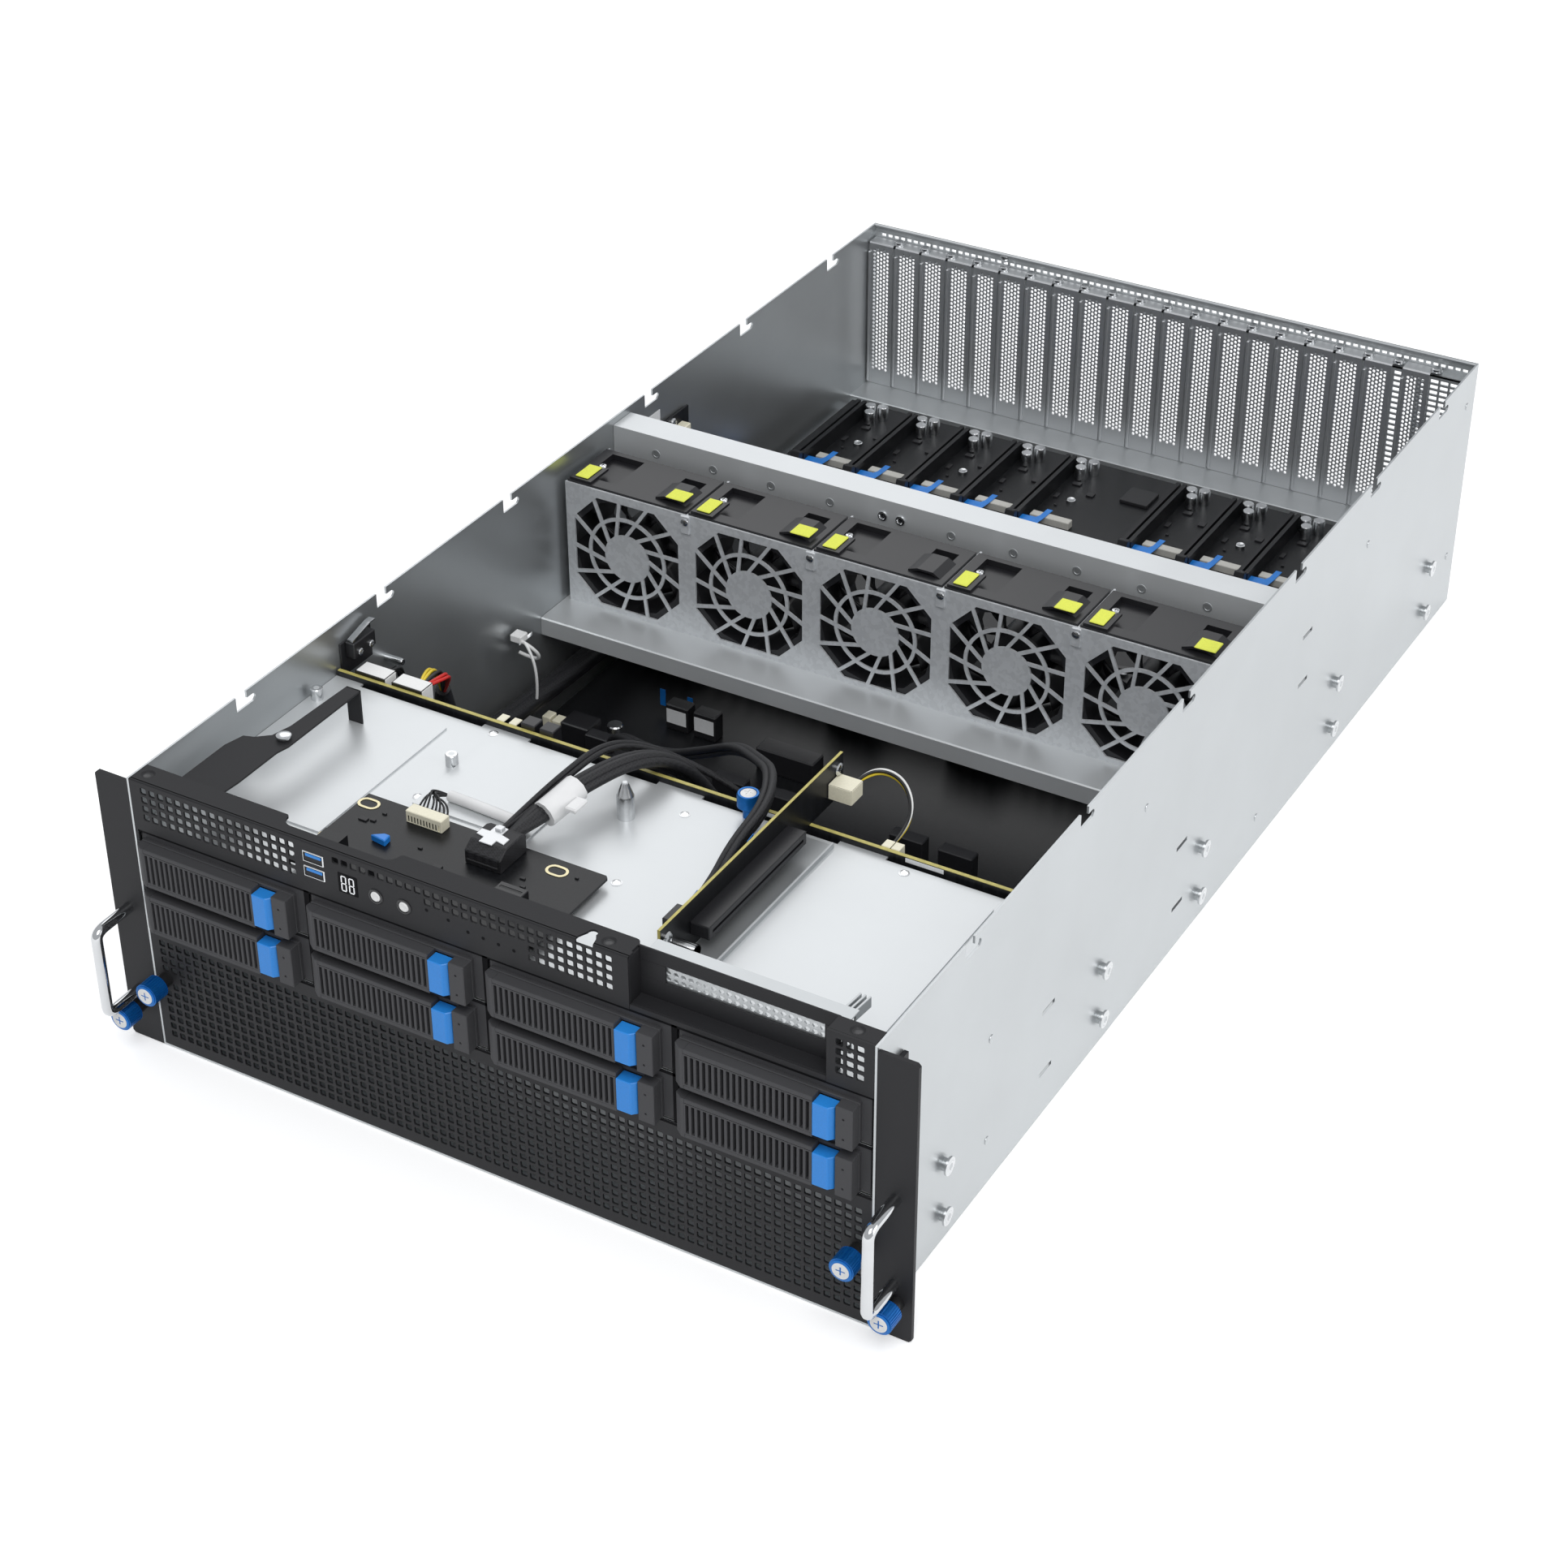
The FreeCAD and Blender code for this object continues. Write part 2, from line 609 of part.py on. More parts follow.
def chassis_pan():
    """Floor and two walls folded from one sheet, with studs, hook notches and the GPU shelf."""
    shell = block(-WALL_X, WALL_X, 0, CHASSIS_DEPTH, 0, CHASSIS_HEIGHT)
    hollow = block(-INNER_X, INNER_X, -1, CHASSIS_DEPTH + 1, SHEET, CHASSIS_HEIGHT + 1)
    tools = [hollow]
    tools += [hook_notch(depth) for depth in HOOK_DEPTHS]
    for depth, height in SIDE_SLOTS:
        tools.append(
            block(-WALL_X - 1, WALL_X + 1, depth, depth + SIDE_SLOT_LENGTH, height, height + SIDE_SLOT_HEIGHT)
        )
    pan = cut(shell, tools)
    shelf = block(-INNER_X, INNER_X, SHELF_FRONT, SHELF_REAR, SHELF_TOP - SHEET, SHELF_TOP)
    return fuse([pan, shelf] + rail_studs())


def slot_centres():
    """Centre x of every expansion slot cover."""
    centres = [SLOT_FIRST_X + i * SLOT_PITCH for i in range(SLOT_COUNT)]
    centres.append(centres[-1] + SLOT_PITCH + SLOT_EXTRA_GAP)
    return centres


def supply_centres():
    """Centre x of the four power supplies, two at each side."""
    inner = SUPPLY_OUTER_X - SUPPLY_PITCH
    return [-SUPPLY_OUTER_X, -inner, inner, SUPPLY_OUTER_X]


def rear_panel():
    """Folded rear wall: lower wall, ledge, recessed slot frame, tab seat and vented upper wall."""
    rear = CHASSIS_DEPTH
    inner = rear - SHEET
    frame_front = COVER_FACE_DEPTH + COVER_SHEET + SEAT
    frame_rear = frame_front + SHEET
    hem = rear - REAR_HEM_DEPTH
    fold = LEDGE_FRONT + SHEET
    top = CHASSIS_HEIGHT
    profile = [
        (inner, SHEET),
        (rear, SHEET),
        (rear, LEDGE_TOP),
        (frame_rear, LEDGE_TOP),
        (frame_rear, TAB_SEAT_TOP - SHEET),
        (rear, TAB_SEAT_TOP - SHEET),
        (rear, top),
        (hem, top),
        (hem, top - SHEET),
        (inner, top - SHEET),
        (inner, TAB_SEAT_TOP),
        (frame_front, TAB_SEAT_TOP),
        (frame_front, LEDGE_TOP),
        (LEDGE_FRONT, LEDGE_TOP),
        (LEDGE_FRONT, LEDGE_TOP - LEDGE_DROP),
        (fold, LEDGE_TOP - LEDGE_DROP),
        (fold, LEDGE_TOP - SHEET),
        (inner, LEDGE_TOP - SHEET),
    ]
    panel = plate_dz(profile, -INNER_X, INNER_X)
    window_bottom = LEDGE_TOP + WINDOW_MARGIN
    window_top = TAB_SEAT_TOP - SHEET - WINDOW_MARGIN
    spans = [(x - WINDOW_WIDTH / 2, x + WINDOW_WIDTH / 2) for x in slot_centres()]
    spans += list(SIDE_VENTS)
    tools = []
    for left, right in spans:
        tools.append(block(left, right, frame_front - 1, frame_rear + 1, window_bottom, window_top))
    for x in supply_centres():
        half = SUPPLY_WIDTH / 2 + RUNNING
        bay_top = SHEET + SUPPLY_HEIGHT + 2 * RUNNING
        tools.append(block(x - half, x + half, inner - 1, rear + 1, SHEET, bay_top))
    half = PORT_FIELD_WIDTH / 2
    port_top = PORT_FIELD_Z + PORT_FIELD_HEIGHT
    tools += openings_grid(
        -half, half, PORT_FIELD_Z, port_top, PORT_COLUMNS, PORT_ROWS, PORT_BAR, inner - 1, rear + 1
    )
    row_left = -INNER_X + REAR_VENT_MARGIN
    row_right = INNER_X - REAR_VENT_MARGIN
    row = (row_left, row_right, REAR_VENT_BOTTOM, REAR_VENT_TOP)
    tools += openings_grid(*row, REAR_VENT_COLUMNS, 1, REAR_VENT_BAR, inner - 1, rear + 1)
    return cut(panel, tools)


def slot_covers():
    """Bent covers that blank the expansion slots, vented, each with its hexagon screw."""
    face = COVER_FACE_DEPTH
    back = face + COVER_SHEET
    tab_rear = CHASSIS_DEPTH - SHEET - SEAT
    pieces = []
    for x in slot_centres():
        profile = [
            (face, LEDGE_TOP + SEAT),
            (back, LEDGE_TOP + SEAT),
            (back, TAB_SEAT_TOP),
            (tab_rear, TAB_SEAT_TOP),
            (tab_rear, TAB_SEAT_TOP + COVER_SHEET),
            (face, TAB_SEAT_TOP + COVER_SHEET),
        ]
        cover = plate_dz(profile, x - COVER_WIDTH / 2, x + COVER_WIDTH / 2)
        half = COVER_VENT_WIDTH / 2
        vent = block(x - half, x + half, face - 1, back + 1, COVER_VENT_BOTTOM, COVER_VENT_TOP)
        pieces.append(cover.cut(vent))
        head_bottom = TAB_SEAT_TOP + COVER_SHEET
        corners = polygon_points(SLOT_SCREW_RADIUS, 6, x + SLOT_SCREW_OFFSET, (back + tab_rear) / 2)
        pieces.append(plate_xd(corners, head_bottom, head_bottom + SLOT_SCREW_HEIGHT))
    return group(pieces)


def near_panel_thumbscrew(centre):
    """Whether a grille opening would lie behind a thumbscrew's neck."""
    across = abs(abs(centre.x) - PANEL_THUMB_X)
    return math.hypot(across, centre.z - PANEL_THUMB_Z) < THUMB_HEAD_RADIUS + GRILLE_BAR


def front_grille():
    """Lower front plate with its field of square openings."""
    plate = block(-INNER_X + SEAT, INNER_X - SEAT, 0, SHEET, SHEET, GRILLE_TOP)
    tools = openings_grid(
        GRILLE_FIELD_LEFT,
        GRILLE_FIELD_RIGHT,
        GRILLE_FIELD_BOTTOM,
        GRILLE_FIELD_TOP,
        GRILLE_COLUMNS,
        GRILLE_ROWS,
        GRILLE_BAR,
        -1,
        SHEET + 1,
    )
    open_tools = [tool for tool in tools if not near_panel_thumbscrew(tool.BoundBox.Center)]
    return cut(plate, open_tools)


def panel_vents(d0, d1):
    """Vent fields at the left, right and far right of the front panel."""
    pitch = VENT_SIZE + VENT_BAR
    tools = []
    for left, columns in zip(VENT_FIELDS_LEFT, VENT_FIELDS_COLUMNS):
        for column in range(columns):
            for row in range(VENT_ROWS):
                x = left + column * pitch
                z = VENT_BOTTOM + row * pitch
                tools.append(block(x, x + VENT_SIZE, d0, d1, z, z + VENT_SIZE))
    side_left = PANEL_SIDE_LEFT + SIDE_VENT_INSET
    for row in range(VENT_ROWS):
        z = VENT_BOTTOM + row * pitch
        tools.append(block(side_left, side_left + SIDE_VENT_WIDTH, d0, d1, z, z + VENT_SIZE))
    return tools


def bracket_arm():
    """Black arm beside the left wall, bent down to a foot at each end."""
    low_foot = DECK_TOP
    high_foot = DECK_TOP + EMBOSS_HEIGHT
    front, rear = ARM_SPAN
    profile = [
        (front, low_foot),
        (front + SHEET, low_foot),
        (front + SHEET, ARM_TOP - SHEET),
        (rear - SHEET, ARM_TOP - SHEET),
        (rear - SHEET, high_foot),
        (rear, high_foot),
        (rear, ARM_TOP),
        (front, ARM_TOP),
    ]
    arm = plate_dz(profile, ARM_LEFT, ARM_RIGHT)
    middle = (ARM_LEFT + ARM_RIGHT) / 2
    ring = polygon_points(ARM_SCREW_RADIUS, GUIDE_PIN_SIDES, middle, ARM_SCREW_DEPTH)
    return fuse([arm, plate_xd(ring, ARM_TOP, ARM_TOP + ARM_SCREW_HEIGHT)])


def front_io_panel():
    """Folded front panel with its vents, top flange and card bay, and the black arm on the deck."""
    top = CHASSIS_HEIGHT
    left = -INNER_X + SEAT
    right = INNER_X - SEAT
    face = block(left, PANEL_MAIN_RIGHT, 0, SHEET, PANEL_BOTTOM, top)
    side_face = block(PANEL_SIDE_LEFT, right, 0, SHEET, PANEL_BOTTOM, top)
    sill = block(PANEL_MAIN_RIGHT, PANEL_SIDE_LEFT, 0, SHEET, PANEL_BOTTOM, PANEL_BOTTOM + PANEL_SILL)
    scoop_left, scoop_right, scoop_depth = PANEL_SCOOP
    flange_outline = [
        (left, SHEET),
        (left, PANEL_FLANGE),
        (scoop_left, PANEL_FLANGE),
        (scoop_left + PANEL_SCOOP_SLOPE, scoop_depth),
        (scoop_right - PANEL_SCOOP_SLOPE, scoop_depth),
        (scoop_right, PANEL_FLANGE),
        (PANEL_MAIN_RIGHT, PANEL_FLANGE),
        (PANEL_MAIN_RIGHT, SHEET),
    ]
    flange = plate_xd(flange_outline, top - SHEET, top)
    side_flange = block(PANEL_SIDE_LEFT, right, SHEET, PANEL_SIDE_FLANGE, top - SHEET, top)
    low = PANEL_BOTTOM
    sill_top = low + PANEL_SILL
    bay_left = PANEL_MAIN_RIGHT - SHEET
    bay_right = PANEL_SIDE_LEFT + SHEET
    floor = block(PANEL_MAIN_RIGHT, PANEL_SIDE_LEFT, SHEET, BAY_DEPTH, sill_top - SHEET, sill_top)
    back = block(bay_left, bay_right, BAY_DEPTH, BAY_DEPTH + SHEET, low, top)
    cheek_left = block(bay_left, PANEL_MAIN_RIGHT, SHEET, BAY_DEPTH, low, top - SHEET)
    cheek_right = block(PANEL_SIDE_LEFT, bay_right, SHEET, BAY_DEPTH, low, top - SHEET)
    shell = fuse([face, side_face, sill, flange, side_flange, floor, back, cheek_left, cheek_right])
    tools = panel_vents(-1, SHEET + 1)
    window = (BAY_WINDOW_LEFT, BAY_WINDOW_RIGHT, BAY_DEPTH - 1, BAY_DEPTH + 3)
    tools.append(block(*window, BAY_WINDOW_BOTTOM, BAY_WINDOW_TOP))
    for x, z, width, height in (
        (USB_X, USB_Z, USB_WIDTH, USB_HEIGHT),
        (DISPLAY_X, DISPLAY_Z, DISPLAY_WIDTH, DISPLAY_HEIGHT),
    ):
        sides = (x - width / 2, x + width / 2)
        tools.append(block(*sides, -1, SHEET + 1, z - height / 2, z + height / 2))
    hole = BUTTON_RADIUS + BUTTON_CLEARANCE
    for x in (POWER_BUTTON_X, LOCATE_BUTTON_X):
        tools.append(plate_xz(polygon_points(hole, BUTTON_SIDES, x, BUTTON_Z), -1, SHEET + 1))
    return group([cut(shell, tools), bracket_arm()])


def front_button(x):
    """Round push button with a collar behind the panel."""
    cap_points = polygon_points(BUTTON_RADIUS, BUTTON_SIDES, x, BUTTON_Z)
    cap = plate_xz(cap_points, -BUTTON_PROUD, BUTTON_LENGTH - BUTTON_PROUD)
    collar_points = polygon_points(BUTTON_RADIUS + BUTTON_FLANGE, BUTTON_SIDES, x, BUTTON_Z)
    collar = plate_xz(collar_points, SHEET + SEAT, SHEET + SEAT + BUTTON_FLANGE)
    return fuse([cap, collar])


def column_edges():
    """Inner x limits of the drive columns."""
    pitch = 2 * INNER_X / CAGE_COLUMNS
    return [-INNER_X + i * pitch for i in range(CAGE_COLUMNS + 1)]


def row_floors():
    """Height of the floor under each drive row, top row first."""
    upper = DECK_TOP - CAGE_SHEET - ROW_HEIGHT + CAGE_SHEET
    return [upper - row * ROW_HEIGHT for row in range(CAGE_ROWS)]


def guide_pin():
    """Bullet-nosed pin on the deck that leads the lid into place."""
    x, d = GUIDE_PIN_PLACE
    shoulder = DECK_TOP + GUIDE_PIN_SHOULDER
    shank = plate_xd(polygon_points(GUIDE_PIN_RADIUS, GUIDE_PIN_SIDES, x, d), DECK_TOP, shoulder)
    rings = []
    for radius, z in ((GUIDE_PIN_RADIUS, shoulder), (GUIDE_PIN_TIP_RADIUS, DECK_TOP + GUIDE_PIN_HEIGHT)):
        corners = [Vector(px, FRONT + py, z) for px, py in polygon_points(radius, GUIDE_PIN_SIDES, x, d)]
        rings.append(Part.makePolygon(corners + corners[:1]))
    return fuse([shank, Part.makeLoft(rings, True, True)])


def drive_cage():
    """Galvanised cage with shelves, dividers and the embossed deck, its guide pin and standoffs."""
    left = -INNER_X + SEAT
    right = INNER_X - SEAT
    sheets = [block(left, right, CAGE_FRONT, CAGE_DEPTH, DECK_TOP - CAGE_SHEET, DECK_TOP)]
    for floor in row_floors():
        sheets.append(block(left, right, CAGE_FRONT, CAGE_DEPTH, floor - CAGE_SHEET, floor))
    lowest = row_floors()[-1] - CAGE_SHEET
    for x in column_edges()[1:-1]:
        sheets.append(block(x - CAGE_SHEET / 2, x + CAGE_SHEET / 2, CAGE_FRONT, CAGE_DEPTH, lowest, DECK_TOP))
    sheets.append(block(left, left + CAGE_SHEET, CAGE_FRONT, CAGE_DEPTH, lowest, DECK_TOP))
    sheets.append(block(right - CAGE_SHEET, right, CAGE_FRONT, CAGE_DEPTH, lowest, DECK_TOP))
    for x0, x1, d0, d1 in EMBOSSES:
        sheets.append(block(x0, x1, d0, d1, DECK_TOP, DECK_TOP + EMBOSS_HEIGHT))
    cage = fuse(sheets)
    notches = []
    for x0, x1 in DECK_NOTCHES:
        notch_front = CAGE_DEPTH - DECK_NOTCH_DEPTH
        notches.append(block(x0, x1, notch_front, CAGE_DEPTH + 1, DECK_TOP - CAGE_SHEET, DECK_TOP))
    cage = cut(cage, notches)
    posts = []
    for x, d in DECK_POSTS:
        ring = polygon_points(DECK_POST_RADIUS, 6, x, d)
        posts.append(plate_xd(ring, DECK_TOP, DECK_TOP + DECK_POST_HEIGHT))
    return group([cage, guide_pin()] + posts)


def tray_face_left(column):
    """Left edge of the tray face in a column."""
    return column_edges()[column] + TRAY_FACE_SETBACK


def tray_rows(row):
    """Bottom and top of the tray body in a row."""
    bottom = row_floors()[row] + RUNNING
    return bottom, bottom + TRAY_HEIGHT


def tray(column, row):
    """Drive carrier with its rails, bezel, lamp block and the drive it holds."""
    edges = column_edges()
    middle = (edges[column] + edges[column + 1]) / 2
    bottom, top = tray_rows(row)
    half = TRAY_BODY_WIDTH / 2
    face_left = tray_face_left(column)
    face_right = face_left + TRAY_FACE_WIDTH
    face_bottom = bottom
    face_top = face_bottom + TRAY_FACE_HEIGHT
    rear = CAGE_DEPTH - DRIVE_CONNECTOR_DEPTH - RUNNING
    floor = block(middle - half, middle + half, TRAY_BEZEL, rear, bottom, bottom + 1)
    left_rail = block(middle - half, middle - half + TRAY_RAIL, TRAY_BEZEL, rear, bottom, top)
    right_rail = block(middle + half - TRAY_RAIL, middle + half, TRAY_BEZEL, rear, bottom, top)
    bezel = block(face_left, face_right, 0, TRAY_BEZEL, face_bottom, face_top)
    latch_left = face_left + LEVER_LENGTH + LATCH_GAP
    latch_right = latch_left + LATCH_WIDTH
    lamp_left = latch_right + LATCH_GAP
    lamp = block(lamp_left, face_right, -LEVER_THICKNESS, 0, face_bottom, face_top)
    frame = fuse([floor, left_rail, right_rail, bezel, lamp])
    pocket = block(
        latch_left - LATCH_GAP,
        latch_right + LATCH_GAP,
        -1,
        LATCH_POCKET,
        face_bottom + LEVER_RAIL - LATCH_GAP,
        face_top - LEVER_RAIL + LATCH_GAP,
    )
    frame = cut(frame, [pocket])
    drive_front = rear - DRIVE_LENGTH
    drive_bottom = bottom + 1
    drive = block(
        middle - DRIVE_WIDTH / 2 + SEAT,
        middle + DRIVE_WIDTH / 2 - SEAT,
        drive_front,
        rear,
        drive_bottom,
        drive_bottom + DRIVE_HEIGHT - SEAT,
    )
    return group([frame, drive])


def tray_lever(column, row):
    """Slatted pull lever, hinged at its left end, with a bevelled left edge."""
    face_bottom = tray_rows(row)[0]
    face_top = face_bottom + TRAY_FACE_HEIGHT
    left = tray_face_left(column)
    right = left + LEVER_LENGTH
    front = -LEVER_THICKNESS
    back = -RUNNING
    outline = [
        (left, back),
        (left, front + LEVER_CHAMFER * 0.6),
        (left + LEVER_CHAMFER, front),
        (right, front),
        (right, back),
    ]
    body = plate_xd(outline, face_bottom, face_top)
    field_left = left + LEVER_CHAMFER + LEVER_SLAT
    slats = openings_grid(
        field_left,
        right - LEVER_SLAT,
        face_bottom + LEVER_RAIL,
        face_top - LEVER_RAIL,
        LEVER_WINDOWS,
        1,
        LEVER_SLAT,
        front - 1,
        1,
    )
    return cut(body, slats)


def tray_latch(column, row):
    """Release button beside the lever, pressed inwards."""
    face_bottom = tray_rows(row)[0] + LEVER_RAIL
    face_top = face_bottom + TRAY_FACE_HEIGHT - 2 * LEVER_RAIL
    left = tray_face_left(column) + LEVER_LENGTH + LATCH_GAP
    right = left + LATCH_WIDTH - LATCH_GAP
    front = -LEVER_THICKNESS - 1
    outline = [(left, 0), (left, front), (right - 2, front), (right, front + 2), (right, 0)]
    return plate_xd(outline, face_bottom, face_top)


def drive_backplane():
    """Upright board behind the drives with a connector for each and two power sockets."""
    board = block(
        -INNER_X + 1,
        BACKPLANE_RIGHT,
        CAGE_DEPTH,
        CAGE_DEPTH + BOARD,
        row_floors()[-1] - CAGE_SHEET,
        BACKPLANE_TOP,
    )
    rear = CAGE_DEPTH + BOARD
    pieces = []
    edges = column_edges()
    for row in range(CAGE_ROWS):
        bottom, top = tray_rows(row)
        z = bottom + DRIVE_CONNECTOR_RISE
        for column in range(CAGE_COLUMNS):
            middle = (edges[column] + edges[column + 1]) / 2
            x0 = middle - DRIVE_CONNECTOR_WIDTH / 2
            pieces.append(
                block(
                    x0,
                    x0 + DRIVE_CONNECTOR_WIDTH,
                    CAGE_DEPTH - DRIVE_CONNECTOR_DEPTH,
                    CAGE_DEPTH,
                    z,
                    z + DRIVE_CONNECTOR_HEIGHT,
                )
            )
    for x in POWER_SOCKETS_X:
        half = POWER_SOCKET_HALF_WIDTH
        pieces.append(
            block(x - half, x + half, rear, rear + POWER_SOCKET_DEPTH, POWER_SOCKET_BOTTOM, POWER_SOCKET_TOP)
        )
    half = WIRE_SOCKET_HALF_WIDTH
    for x in WIRE_SOCKETS_X:
        pieces.append(
            block(x - half, x + half, rear, WIRE_PLUG_FACE, BACKPLANE_TOP - WIRE_SOCKET_HEIGHT, BACKPLANE_TOP)
        )
    return group([board, *pieces])


def board_bottom():
    """Underside of the port board on its standoffs."""
    return DECK_TOP + STANDOFF


def front_io_board():
    """Port board on the deck with its standoffs, sockets and cable header."""
    bottom = board_bottom()
    top = bottom + THIN_BOARD
    outline = [
        (PORT_BOARD_LEFT, PORT_BOARD_FRONT),
        (PORT_BOARD_RIGHT, PORT_BOARD_FRONT),
        (PORT_BOARD_RIGHT, PORT_BOARD_REAR - PORT_BOARD_CHAMFER),
        (PORT_BOARD_RIGHT - PORT_BOARD_CHAMFER, PORT_BOARD_REAR),
        (PORT_BOARD_LEFT, PORT_BOARD_REAR),
    ]
    board = plate_xd(outline, bottom, top)
    posts = []
    for x, d in PORT_BOARD_POSTS:
        posts.append(plate_xd(polygon_points(STANDOFF_RADIUS, 6, x, d), DECK_TOP, bottom))
    usb_low = USB_Z - USB_HEIGHT / 2 + RUNNING
    usb_high = USB_Z + USB_HEIGHT / 2 - RUNNING
    usb_back = SHEET + SEAT
    usb = plate_dz(
        [
            (SEAT, usb_low),
            (usb_back, usb_low),
            (usb_back, top),
            (USB_DEPTH, top),
            (USB_DEPTH, usb_high),
            (SEAT, usb_high),
        ],
        USB_X - USB_WIDTH / 2 + RUNNING,
        USB_X + USB_WIDTH / 2 - RUNNING,
    )
    display = block(
        DISPLAY_X - DISPLAY_WIDTH / 2 + RUNNING,
        DISPLAY_X + DISPLAY_WIDTH / 2 - RUNNING,
        SHEET,
        DISPLAY_DEPTH,
        top,
        DISPLAY_Z + DISPLAY_HEIGHT / 2 - RUNNING,
    )
    header = block(*HEADER_BOX, top, top + HEADER_HEIGHT)
    socket = block(*SOCKET_BOX, top, top + SMALL_SOCKET_HEIGHT)
    return group([board, *posts, usb, display, header, socket])


def slot_body(x, d0, d1, z0):
    """Edge-card connector with its card groove, open upwards."""
    half = SLOT_BODY_WIDTH / 2
    groove = SLOT_GROOVE / 2
    top = z0 + SLOT_BODY_HEIGHT
    points = [
        (x - half, z0),
        (x + half, z0),
        (x + half, top),
        (x + groove, top),
        (x + groove, z0 + SLOT_FLOOR),
        (x - groove, z0 + SLOT_FLOOR),
        (x - groove, top),
        (x - half, top),
    ]
    return plate_xz(points, d0, d1)


def riser_card():
    """Upright riser board with its card connector, held by a stand on the deck."""
    foot = DECK_TOP + EMBOSS_HEIGHT
    board = plate_dz(
        [
            (RISER_FRONT, foot),
            (CAGE_DEPTH - 1, foot),
            (CAGE_DEPTH - 1, BACKPLANE_TOP + SEAT),
            (RISER_REAR, BACKPLANE_TOP + SEAT),
            (RISER_REAR, RISER_TOP),
            (RISER_FRONT, RISER_TOP),
        ],
        RISER_X,
        RISER_X + THIN_BOARD,
    )
    half = SLOT_BODY_WIDTH / 2
    groove = SLOT_GROOVE / 2
    x0 = RISER_X + THIN_BOARD
    x1 = x0 + SLOT_BODY_HEIGHT
    z = RISER_SLOT_Z + half
    points = [
        (x0, z - half),
        (x1, z - half),
        (x1, z - groove),
        (x0 + SLOT_FLOOR, z - groove),
        (x0 + SLOT_FLOOR, z + groove),
        (x1, z + groove),
        (x1, z + half),
        (x0, z + half),
    ]
    connector = plate_xz(points, RISER_SLOT_FRONT, RISER_SLOT_FRONT + RISER_SLOT_LENGTH)
    stand = plate_xz(
        [
            (RISER_X - RISER_STAND_REACH, DECK_TOP),
            (RISER_X - SEAT, DECK_TOP),
            (RISER_X - SEAT, DECK_TOP + RISER_STAND_HEIGHT),
            (RISER_X - SEAT - SHEET, DECK_TOP + RISER_STAND_HEIGHT),
            (RISER_X - SEAT - SHEET, DECK_TOP + SHEET),
            (RISER_X - RISER_STAND_REACH, DECK_TOP + SHEET),
        ],
        RISER_STAND_FRONT,
        RISER_SLOT_FRONT + RISER_SLOT_LENGTH,
    )
    capacitors = []
    for depth in CAPACITOR_DEPTHS:
        points = polygon_points(CAPACITOR_RADIUS, CAPACITOR_SIDES, depth, RISER_PLUG_BOTTOM)
        ring = [(FRONT + y, z) for y, z in points]
        corners = [Vector(x0, y, z) for y, z in ring]
        face = Part.Face(Part.makePolygon(corners + corners[:1]))
        capacitors.append(face.extrude(Vector(CAPACITOR_LENGTH, 0, 0)))
    plug_rear = RISER_PLUG_DEPTH + RISER_PLUG_LENGTH
    plug = block(x0, x0 + RISER_PLUG_REACH, RISER_PLUG_DEPTH, plug_rear, RISER_PLUG_BOTTOM, RISER_PLUG_TOP)
    side_plug = block(RISER_X - SIDE_PLUG_REACH, RISER_X, *SIDE_PLUG_SPAN, SIDE_PLUG_BOTTOM, RISER_PLUG_TOP)
    return group([board, connector, stand, plug, side_plug, *capacitors])


def riser_bay():
    """Perforated blank and top strip of the low-profile card bay, and its base plate on the deck."""
    back = BAY_DEPTH + SHEET
    rear = back + BAY_STRIP_DEPTH
    low = BAY_WINDOW_BOTTOM - BAY_STRIP_DROP
    high = CHASSIS_HEIGHT - SHEET
    strip = plate_dz(
        [
            (back + SEAT, low),
            (back + SEAT + SHEET, low),
            (back + SEAT + SHEET, high - SHEET),
            (rear, high - SHEET),
            (rear, high),
            (back + SEAT, high),
        ],
        BAY_STRIP_LEFT,
        BAY_STRIP_RIGHT,
    )
    holes = openings_grid(
        BAY_WINDOW_LEFT + BAY_HOLE_MARGIN_X,
        BAY_WINDOW_RIGHT - BAY_HOLE_MARGIN_X,
        BAY_WINDOW_BOTTOM + BAY_HOLE_MARGIN_Z,
        BAY_WINDOW_TOP - BAY_HOLE_MARGIN_Z,
        BAY_HOLES,
        1,
        BAY_HOLE_BAR,
        back - 1,
        back + SEAT + SHEET + 1,
    )
    clip_left = BAY_STRIP_RIGHT - BAY_CLIP_WIDTH
    clip = block(clip_left, BAY_STRIP_RIGHT, rear, back + BAY_CLIP_DEPTH, high - BAY_CLIP_HEIGHT, high)
    strip = fuse([cut(strip, holes), clip])
    base_left = RISER_X + THIN_BOARD + SEAT
    base_top = DECK_TOP + SHEET
    base = plate_xz(
        [
            (base_left, DECK_TOP),
            (BASE_PLATE_RIGHT, DECK_TOP),
            (BASE_PLATE_RIGHT, base_top + BASE_PLATE_LIP),
            (BASE_PLATE_RIGHT - SHEET, base_top + BASE_PLATE_LIP),
            (BASE_PLATE_RIGHT - SHEET, base_top),
            (base_left, base_top),
        ],
        BASE_PLATE_FRONT,
        BASE_PLATE_REAR,
    )
    return group([strip, base])


def fan_centres():
    """Centre x of each fan."""
    first = -FAN_PITCH * (FAN_COUNT - 1) / 2
    return [first + i * FAN_PITCH for i in range(FAN_COUNT)]


def spoke_polygon(radius, x, d0, d1):
    """Disc of the guard as a polygon whose corners lie on the spokes."""
    start = math.degrees(math.acos(GUARD_SWIRL / radius))
    return plate_xz(polygon_points(radius, GUARD_SPOKES, x, FAN_AXIS_Z, start), d0, d1)


